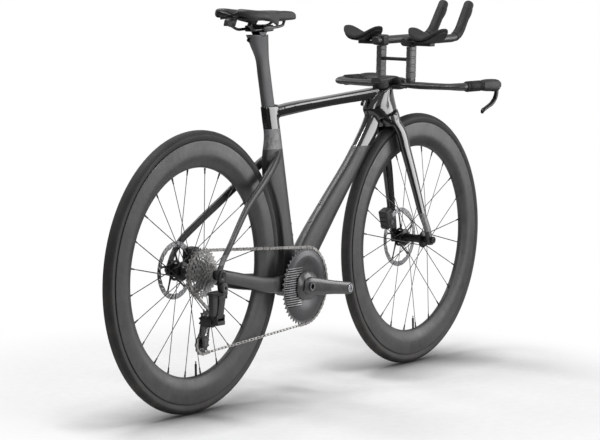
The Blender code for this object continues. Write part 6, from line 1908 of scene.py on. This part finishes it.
def cassette_piece():
    """Twelve cogs on a stepped core, with the lock ring outermost."""
    cogs = []
    phase = roller_phase(ROUTE, 6)
    for number, teeth in enumerate(COG_TEETH):
        y = COG_FIRST_Y + number * COG_STEP
        turn = phase if number == DRIVEN_COG else 0.37 * number
        cog = plate(f"cog_{teeth}", toothed(REAR_AXLE, teeth, turn,
            0.0022 if number == DRIVEN_COG else 0.0014), y - 0.0007, y + 0.0007)
        inside = 0.015 if teeth < 17 else 0.0215
        cuts = [rod("bore", REAR_AXLE, Y, inside, -0.08, 0.0, 48)]
        if teeth >= 19:
            reach = pitch_radius(teeth) - 0.0075
            window = [(reach * cos(-0.36 + step * 0.12), reach * sin(-0.36 + step * 0.12))
                for step in range(7)]
            for step in range(7):
                window.append((0.025 * cos(0.3 - step * 0.1), 0.025 * sin(0.3 - step * 0.1)))
            if reach > 0.0285:
                cuts.append(copies_round(plate("window", window, y - 0.003, y + 0.003), REAR_AXLE, 6,
                    phase=number * 0.05))
        cut(cog, *cuts)
        cogs.append(cog)
    for number in range(len(COG_TEETH) - 1):
        y = COG_FIRST_Y + number * COG_STEP
        outer = 0.0168 if COG_TEETH[number] < 17 else 0.0232
        inner = 0.0148 if COG_TEETH[number] < 17 else 0.02
        cogs.append(ring("spacer", REAR_AXLE, Y, inner, outer, y + 0.0005, y + COG_STEP - 0.0005, 64, 0.0002))
    cogs.append(ring("core", REAR_AXLE, Y, 0.0118, 0.0152, -0.06, -0.019, 64))
    lock = ring("lock", REAR_AXLE, Y, 0.0112, 0.0158, -0.0622, -0.0606, 64)
    notch = block("notch", (0.0105, -0.064, -0.0008), (0.0124, -0.06, 0.0008))
    cut(lock, copies_round(notch, REAR_AXLE, 12))
    cogs.append(lock)
    return dress(joined("cassette_cogs", cogs), COG_STEEL, "cassette", "cog_steel", "cassette")


cassette_piece()

# %% [markdown]
# The chainring is an aero disc, turned from one profile, inside a band of teeth. A field of level slots
# lies behind the arm: shallow cuts give it depth, and the finish paints stripes on it, near-black for shade
# in the slots and light for bare metal edges with a painted highlight.

# %% Chainring
RING_FACE = [
    (0.0308, -0.049), (0.032, -0.0498), (0.074, -0.0498), (0.078, -0.0496), (0.085, -0.0478),
    (0.0885, -0.0466), (0.0888, -0.0453), (0.0888, -0.0438), (0.088, -0.0432), (0.0308, -0.0432),
]
ring_disc = turned("ring_disc", RING_FACE, CRANK, Y, 192, 30)
tooth_band = plate("tooth_band", toothed(CRANK, RING_TEETH, roller_phase(ROUTE, 0)), RING_Y - 0.0009,
    RING_Y + 0.0009)
cut(tooth_band, rod("band_bore", CRANK, Y, 0.08, -0.06, -0.03, 128))
bevelled(tooth_band, 0.0002, 1, 30)
slots = []
for row in range(14):
    rise = -0.0315 + row * 0.0045
    start = -sqrt(0.0755**2 - rise**2)
    end = -0.03 if abs(rise) > 0.02 else -0.038
    slots.append(block("level_slot", (CRANK.x + start, -0.051, CRANK.z + rise),
        (CRANK.x + end, -0.0487, CRANK.z + rise + 0.0024)))
cut(ring_disc, joined("slot_cutters", slots))
dress(ring_disc, RING_FACE_METAL, "crankset", "anodised_black", "chainring")
dress(tooth_band, TOOTH_METAL, "crankset", "anodised_black", "chainring")

# %% [markdown]
# The crank arms are carbon over a core, lofted with softly squared sections. A low dome of flat facets
# covers the hub of the right one, and its spindle runs through the frame to the left one. The threaded
# inserts at the ends are steel, turned with ten grooves.

# %% Crank arms
CRANK_AHEAD = at(cos(radians(CRANK_DROP)), 0, -sin(radians(CRANK_DROP)))
CRANK_OVER = at(sin(radians(CRANK_DROP)), 0, cos(radians(CRANK_DROP)))
ARM_SECTIONS = (
    (-0.026, 0.0565, 0.013, 0.0065),
    (-0.012, 0.0575, 0.0205, 0.0078),
    (0.03, 0.06, 0.022, 0.0085),
    (0.06, 0.0622, 0.0198, 0.0082),
    (0.09, 0.0645, 0.0178, 0.0078),
    (0.15, 0.0672, 0.016, 0.0073),
    (0.172, 0.0675, 0.015, 0.0072),
    (0.182, 0.0675, 0.0105, 0.0065),
)
HUB_FACETS = ((-0.0435, 0.013), (-0.033, 0.0285), (-0.008, 0.036), (0.02, 0.034), (0.04, 0.024),
    (0.04, -0.024), (0.02, -0.034), (-0.008, -0.036), (-0.033, -0.0285), (-0.0435, -0.013))


def faceted_hub():
    """A low dome of flat facets: three copies of one outline, each smaller and further out."""
    rings = []
    for size, y in ((1.0, -0.05), (1.0, -0.0522), (0.86, -0.056), (0.52, -0.0602)):
        spots = [CRANK_AHEAD * (a * size) + CRANK_OVER * (b * size) for a, b in HUB_FACETS]
        rings.append([at(CRANK.x + p.x, y, CRANK.z + p.z) for p in spots])
    return loft("faceted_hub", rings, 12)


for hand, side in SIDES:
    ahead = CRANK_AHEAD * -side
    rings = [oval(CRANK + ahead * reach + Y * (side * y), CRANK_OVER, Y, tall, thick, 48, 3.6)
        for reach, y, tall, thick in eased(ARM_SECTIONS, 6)]
    arm = loft(f"crank_{hand}", rings)
    pedal = CRANK + ahead * CRANK_LENGTH
    unite(arm, rod("pedal_face", pedal, Y * side, 0.012, 0.067, 0.0756, 64, 0.0006))
    if side < 0:
        unite(arm, faceted_hub(), rod("spider_boss", CRANK, Y, 0.0298, -0.0545, -0.0434, 96, 0.0006),
            rod("spindle", CRANK, Y, 0.0119, -0.05, 0.056, 64, 0.0005), angle=14)
        cut(arm, rod("crank_key", CRANK, Y, 0.0065, -0.08, -0.06, 6),
            rod("pedal_hole", pedal, Y, 0.0071, -0.09, 0.09, 48), angle=14)
    else:
        unite(arm, rod("arm_boss", CRANK, Y, 0.018, 0.0435, 0.06, 64, 0.0006))
        cut(arm, rod("spindle_bore", CRANK, Y, 0.0126, 0.03, 0.06, 64),
            rod("pedal_hole", pedal, Y, 0.0071, -0.09, 0.09, 48))
    bevelled(arm, 0.0006, 2, 24)
    softly_shaded(arm, 20)
    dress(arm, ARM_CARBON, "crankset", "gloss_carbon", f"crank_arm_{hand}")
    thread = [(0.0071, 0.06)]
    for turn_number in range(10):
        thread += [(0.0071, 0.0602 + turn_number * 0.0013), (0.0066, 0.0608 + turn_number * 0.0013)]
    thread += [(0.0071, 0.074), (0.0071, 0.0758), (0.0102, 0.0758), (0.0106, 0.0752), (0.0106, 0.06)]
    insert = turned(f"pedal_thread_{hand}", thread, pedal, Y * side, 48)
    dress(insert, BRIGHT_STEEL, "crankset", "steel")
ring_bolts = []
for step in range(8):
    turn = pi * (2 * step + 1) / 8
    place = CRANK + at(cos(turn) * 0.024, 0, sin(turn) * 0.024)
    ring_bolts.append(cap_screw("ring_bolt", at(place.x, -0.0434, place.z), Y, 0.0028, 0.0006, -0.002))
centre_cap = [(0.0066, 0.064), (0.011, 0.064), (0.011, 0.0688), (0.0104, 0.0694), (0.0072, 0.0694),
    (0.0066, 0.0688)]
ring_bolts.append(turned("centre_cap", centre_cap, CRANK, -Y, 64))
for step in (-0.01, 0.002):
    place = CRANK - CRANK_AHEAD * (0.004 - step) + Y * 0.0598 - CRANK_OVER * 0.0188
    ring_bolts.append(cap_screw("pinch_screw", place, -CRANK_OVER, 0.0026, 0.0014, -0.003))
dress(joined("crank_bolts", ring_bolts), DARK_STEEL, "crankset", "steel")

# %% [markdown]
# The rear derailleur hangs from the hanger on one bolt. Two links make a parallelogram that carries the
# knuckle inwards and outwards, a spring in the knuckle pulls the cage back, and the cage holds two
# toothed pulleys. A small battery clips on behind. Its plates have eased outlines and rounded edges.


# %% Derailleur
def hull_outline(spots):
    """The outline round some circles given as x, z and radius: their convex hull."""
    cloud = []
    for x, z, radius in spots:
        for step in range(32):
            turn = pi * step / 16
            cloud.append((x + radius * cos(turn), z + radius * sin(turn)))
    cloud.sort()

    def half(points):
        chain = []
        for point in points:
            while len(chain) > 1:
                (ax, az), (bx, bz) = chain[-2], chain[-1]
                if (bx - ax) * (point[1] - az) - (bz - az) * (point[0] - ax) > 1e-10:
                    break
                chain.pop()
            chain.append(point)
        return chain[:-1]

    return half(cloud) + half(cloud[::-1])


LINK_TOP = at(-0.487, -0.077, 0.288)
LINK_BOTTOM = at(-0.487, -0.071, 0.238)
LINK_APART = at(0, 0.015, 0)
LINK_LOW_X = -0.499
LINK_HIGH_X = -0.475
CHEEKS = ((-0.5035, -0.4994), (-0.4746, -0.4705))

mount = plate("mount_arm", hull_outline(((HANGER_BOLT.x, HANGER_BOLT.z, 0.012), (-0.496, 0.299, 0.006))),
    -0.095, -0.0854, 0.0015)
yoke_plan = [(-0.505, -0.095), (-0.488, -0.095), (-0.4705, -0.083), (-0.4705, -0.056), (-0.504, -0.056),
    (-0.5285, -0.064), (-0.5285, -0.081), (-0.515, -0.088)]
yoke = loft("yoke", [[at(x, y, z) for x, y in yoke_plan] for z in (0.293, 0.3003)])
mount_parts = [bevelled(yoke, 0.0018, 3, 20)]
for low_x, high_x in CHEEKS:
    mount_parts.append(block("cheek", (low_x, -0.0825, 0.2825), (high_x, -0.0565, 0.296), 0.0014, None, 3))
mount_parts.append(rod("mount_bolt", HANGER_BOLT, Y, 0.0046, -0.09, -0.08, 48))
battery_slices = ((0.2435, -0.523, -0.5078, -0.077, -0.069), (0.255, -0.5262, -0.506, -0.0792, -0.0662),
    (0.295, -0.5285, -0.5048, -0.08, -0.065))
battery_rings = [[at(x, y, z) for x, y in ((low_x, low_y + 0.004), (low_x + 0.004, low_y), (high_x, low_y),
    (high_x, high_y), (low_x + 0.004, high_y), (low_x, high_y - 0.004))]
    for z, low_x, high_x, low_y, high_y in battery_slices]
mount_parts.append(bevelled(loft("battery", battery_rings), 0.0012, 2, 20))
unite(mount, *mount_parts)
mount_cuts = [rod("mount_key", HANGER_BOLT, Y, 0.0034, -0.1, -0.09, 6)]
for top in (LINK_TOP, LINK_TOP + LINK_APART):
    mount_cuts.append(rod("pin_hole", top, X, 0.0027, -0.03, 0.03, 40))
mount_cuts.append(block("battery_seam", (-0.54, -0.085, 0.2885), (-0.5055, -0.06, 0.2891)))
cut(mount, *mount_cuts)
dress(bevelled(mount, 0.0003, 2, 50), MATT_BLACK, "frame", "matt_black", "derailleur_body")
mount_trim = [turned("bolt_rim", [(0.0046, 0.0948), (0.0086, 0.0948), (0.0086, 0.0955), (0.008, 0.096),
    (0.0052, 0.096), (0.0046, 0.0955)], HANGER_BOLT, -Y, 64)]
dress(joined("mount_trim", mount_trim), DARK_STEEL, "frame", "steel")


def parallelogram_link(name, top, bottom, thick, body):
    """A link with round ends, a waist and two pins that lie along X."""
    along = (bottom - top).normalized()
    side = X.cross(along).normalized()
    outline = round_ended((bottom - top).length, thick, thick * 0.82, 12)
    item = loft(name, [[at(x, top.y, top.z) + along * a + side * b for a, b in outline]
        for x in (LINK_LOW_X, LINK_HIGH_X)])
    reach = (LINK_HIGH_X - LINK_LOW_X) / 2 + 0.0042
    middle = (LINK_LOW_X + LINK_HIGH_X) / 2
    pins = [rod("pin", at(middle, centre.y, centre.z), X, 0.0022, -reach, reach, 32)
        for centre in (top, bottom)]
    unite(item, *pins)
    return dress(bevelled(item, 0.0006, 2, 50), MATT_BLACK, body, "matt_black", body)


parallelogram_link("outer_link_plate", LINK_TOP, LINK_BOTTOM, 0.0042, "derailleur_outer_link")
parallelogram_link("inner_link_plate", LINK_TOP + LINK_APART, LINK_BOTTOM + LINK_APART, 0.0032,
    "derailleur_inner_link")

knuckle = block("knuckle", (-0.5035, -0.078, 0.219), (-0.4705, -0.0336, 0.23), 0.0026, None, 3)
knuckle_parts = [block("cheek", (low_x, -0.0765, 0.225), (high_x, -0.0505, 0.244), 0.0014, None, 3)
    for low_x, high_x in CHEEKS]
knuckle_parts.append(rod("barrel", CAGE_PIVOT, Y, 0.012, -0.038, -0.0096, 64, 0.001))
unite(knuckle, *knuckle_parts)
knuckle_cuts = [rod("bore", CAGE_PIVOT, Y, 0.005, -0.02, 0.0, 40)]
for place, radius in ((LINK_BOTTOM, 0.0027), (LINK_BOTTOM + LINK_APART, 0.0037)):
    knuckle_cuts.append(rod("pin_hole", place, X, radius, -0.03, 0.03, 40))
for level in range(3):
    knuckle_cuts.append(ring("barrel_groove", CAGE_PIVOT, Y, 0.0115, 0.02, -0.033 + level * 0.0075,
        -0.0322 + level * 0.0075, 64, 0.0))
cut(knuckle, *knuckle_cuts)
dress(bevelled(knuckle, 0.0003, 2, 50), MATT_BLACK, "derailleur_knuckle", "matt_black", "derailleur_knuckle")

cage_outline = hull_outline(((CAGE_PIVOT.x, CAGE_PIVOT.z, 0.011), (GUIDE.x, GUIDE.z, 0.0085),
    (TENSION.x, TENSION.z, 0.0115)))
cage = plate("cage_plates", cage_outline, CHAIN_Y - 0.0088, CHAIN_Y - 0.007)
inner_outline = hull_outline(((GUIDE.x, GUIDE.z, 0.008), (TENSION.x, TENSION.z, 0.0105)))
cage_parts = [plate("cage_inner", inner_outline, CHAIN_Y + 0.006, CHAIN_Y + 0.0074),
    rod("cage_stub", CAGE_PIVOT, Y, 0.0044, -0.019, -0.008, 40)]
for centre in (GUIDE, TENSION):
    cage_parts.append(rod("pulley_bolt", centre, Y, 0.0029, -0.0095, 0.007, 40, 0.0004))
unite(cage, *cage_parts)
upper = GUIDE.lerp(TENSION, 0.36)
lower = GUIDE.lerp(TENSION, 0.68)
windows = (
    ((upper.x - 0.006, upper.z + 0.001, 0.003), (upper.x + 0.005, upper.z + 0.0005, 0.0022),
        (upper.x - 0.0005, upper.z - 0.009, 0.002)),
    ((lower.x - 0.001, lower.z + 0.0075, 0.0018), (lower.x - 0.006, lower.z - 0.0015, 0.0024),
        (lower.x + 0.005, lower.z - 0.001, 0.0024)),
)
cage_cuts = [plate("window", hull_outline(spots), CHAIN_Y - 0.02, CHAIN_Y - 0.002) for spots in windows]
for share in (0.4, 0.6):
    hole = GUIDE.lerp(TENSION, share)
    cage_cuts.append(rod("inner_hole", hole, Y, 0.0042, 0.003, 0.01, 40))
cut(cage, *cage_cuts)
dress(bevelled(cage, 0.0003, 2, 50), MATT_BLACK, "derailleur_cage", "matt_black", "derailleur_cage")
cage_trim = [cap_screw("cage_screw", at(centre.x, CHAIN_Y - 0.0088, centre.z), -Y, 0.004, 0.0009, -0.0003)
    for centre in (GUIDE, TENSION)]
dress(joined("cage_screws", cage_trim), DARK_STEEL, "derailleur_cage", "steel")

for name, centre, route_index in (("guide", GUIDE, 4), ("tension", TENSION, 2)):
    pulley = plate(f"{name}_wheel", toothed(centre, PULLEY_TEETH, roller_phase(ROUTE, route_index), 0.002),
        CHAIN_Y - 0.0008, CHAIN_Y + 0.0008)
    bevelled(pulley, 0.0002, 1, 30)
    cut(pulley, copies_round(rod("hole", X * 0.0132, Y, 0.0019, -0.01, 0.01, 20), centre, 9))
    unite(pulley, rod("pulley_boss", centre, Y, 0.008, -0.004, 0.004, 48, 0.001))
    cut(pulley, rod("pulley_bore", centre, Y, 0.0034, -0.02, 0.02, 40))
    dress(pulley, MATT_BLACK, f"{name}_pulley", "matt_black", f"{name}_pulley")

# %% [markdown]
# The studio is a pale floor that fades into white, a long strip light overhead, two panels on the camera's
# side, and a light from behind that draws the edges. The floor's colour is darkened where the tyres are near,
# a painted contact shadow, and mirrored rays find a dark card instead of its far part, so that glossy
# tubes keep their black. The backdrop is white only where the camera or a ray through the object looks.


# %% Studio
# Dark grey for the card that mirrored rays see and for the painted contact shadow on the floor.
DARK_CARD_AND_PAINTED_SHADE = (0.1, 0.1, 0.1)


def pale_floor():
    material = bpy.data.materials.new("studio_floor")
    material.use_nodes = True
    graph = Graph(material.node_tree)
    shader = graph.tree.nodes["Principled BSDF"]
    grain = graph.noise(40.0, 4, 0.6, graph.place())
    x, y, z = graph.split(graph.place())
    radius = graph.maths("SQRT", x * x + y * y)
    rays = graph.wires(graph.node("ShaderNodeLightPath"))
    paper = graph.blend(graph.spread(grain, 0.3, 0.7), (0.8, 0.8, 0.8), (0.84, 0.84, 0.84))
    # Painted contact shadow: ambient occlusion darkens the floor's colour near the object.
    nearby = graph.node("ShaderNodeAmbientOcclusion", {"Distance": 0.2}, samples=8).outputs["AO"]
    painted_contact_shadow = graph.blend(graph.maths("POWER", nearby, 3.0), DARK_CARD_AND_PAINTED_SHADE, paper)
    card = rays["Is Glossy Ray"] * graph.spread(radius, 1.0, 1.5, smooth=True)
    rough = graph.spread(grain, 0.3, 0.7, 0.72, 0.82)
    for label, source in (("Base Color", graph.blend(card, painted_contact_shadow, DARK_CARD_AND_PAINTED_SHADE)), ("Roughness", rough),
            ("Specular IOR Level", 0.1)):
        graph.feed(source, shader.inputs[label])
    glow = graph.node("ShaderNodeEmission", {"Color": (1, 1, 1, 1), "Strength": 1.0})
    seen = rays["Is Camera Ray"] * graph.spread(radius, 0.62, 1.15, smooth=True)
    mixer = graph.node("ShaderNodeMixShader", {0: seen, 1: shader, 2: glow})
    graph.feed(mixer, graph.tree.nodes["Material Output"].inputs["Surface"])
    return material


floor = block("studio_floor", (-14, -14, -0.02), (14, 14, -0.0002))
floor.data.materials.append(pale_floor())

world = bpy.data.worlds.new("studio")
bpy.context.scene.world = world
world.use_nodes = True
sky = Graph(world.node_tree)
background = sky.tree.nodes["Background"]
rays = sky.wires(sky.node("ShaderNodeLightPath"))
seen = sky.maths("MAXIMUM", rays["Is Camera Ray"], rays["Is Transmission Ray"])
shine = sky.maths("MAXIMUM", seen, rays["Is Glossy Ray"] * 0.55)
sky.feed(sky.maths("MAXIMUM", shine, 0.25), background.inputs["Strength"])
background.inputs["Color"].default_value = (1, 1, 1, 1)


def softbox(name, place, aim, width, height, power):
    light = bpy.data.lights.new(name, "AREA")
    light.shape = "RECTANGLE"
    light.size = width
    light.size_y = height
    light.energy = power
    item = bpy.data.objects.new(name, light)
    item.location = place
    item.rotation_euler = (Vector(aim) - Vector(place)).to_track_quat("-Z", "Y").to_euler()
    bpy.context.scene.collection.objects.link(item)
    return item


softbox("overhead_strip", (-0.45, 0.08, 3.2), (-0.05, 0, 0.4), 2.6, 0.32, 88)
softbox("front_right", (3.6, -2.6, 1.25), (0, 0, 0.75), 2.0, 2.3, 70)
softbox("right_panel", (0.75, -4.3, 1.05), (0.1, 0, 0.75), 0.9, 2.0, 34)
softbox("edge_light", (1.0, 3.6, 2.4), (0, 0, 0.6), 1.0, 2.0, 26)

# %% [markdown]
# The camera stands behind the bicycle on its right, 1.1 m above the floor and six metres away, with a
# long lens. Its place and roll were solved from points of known size in the photograph.

# %% Camera
CAMERA_TURN = radians(-55.8861)
CAMERA_RISE = radians(6.2223)
CAMERA_ROLL = radians(1.2769)
back = at(sin(CAMERA_TURN) * cos(CAMERA_RISE), -cos(CAMERA_TURN) * cos(CAMERA_RISE), sin(CAMERA_RISE))
across = (-back).cross(Z).normalized()
upright = across.cross(-back)
rolled_x = across * cos(CAMERA_ROLL) + upright * sin(CAMERA_ROLL)
rolled_y = upright * cos(CAMERA_ROLL) - across * sin(CAMERA_ROLL)
lens = bpy.data.cameras.new("camera")
lens.lens = 146.3
lens.sensor_width = 36
lens.clip_start = 0.1
lens.clip_end = 60
camera = bpy.data.objects.new("camera", lens)
bpy.context.scene.collection.objects.link(camera)
camera.matrix_world = Matrix.Translation(at(-0.0506, 0, 0.4302) + back * 6.1443) @ Matrix((rolled_x, rolled_y,
    back)).transposed().to_4x4()
bpy.context.scene.camera = camera
bpy.context.scene.view_settings.view_transform = "Standard"
print("camera at", [round(value, 3) for value in camera.matrix_world.translation])

# %% [markdown]
# Last, each solid that stays visible gets bright steel if it is a bearing and anodised black otherwise,
# and the scene is updated.

# %% Kept solids
for node, item in bpy.data.objects.items():
    if item.get("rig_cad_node") and not item.hide_render:
        item.data.materials.clear()
        item.data.materials.append(BRIGHT_STEEL if "bearing" in node else ANODISED)
        print("solid kept:", node)
bpy.context.view_layer.update()
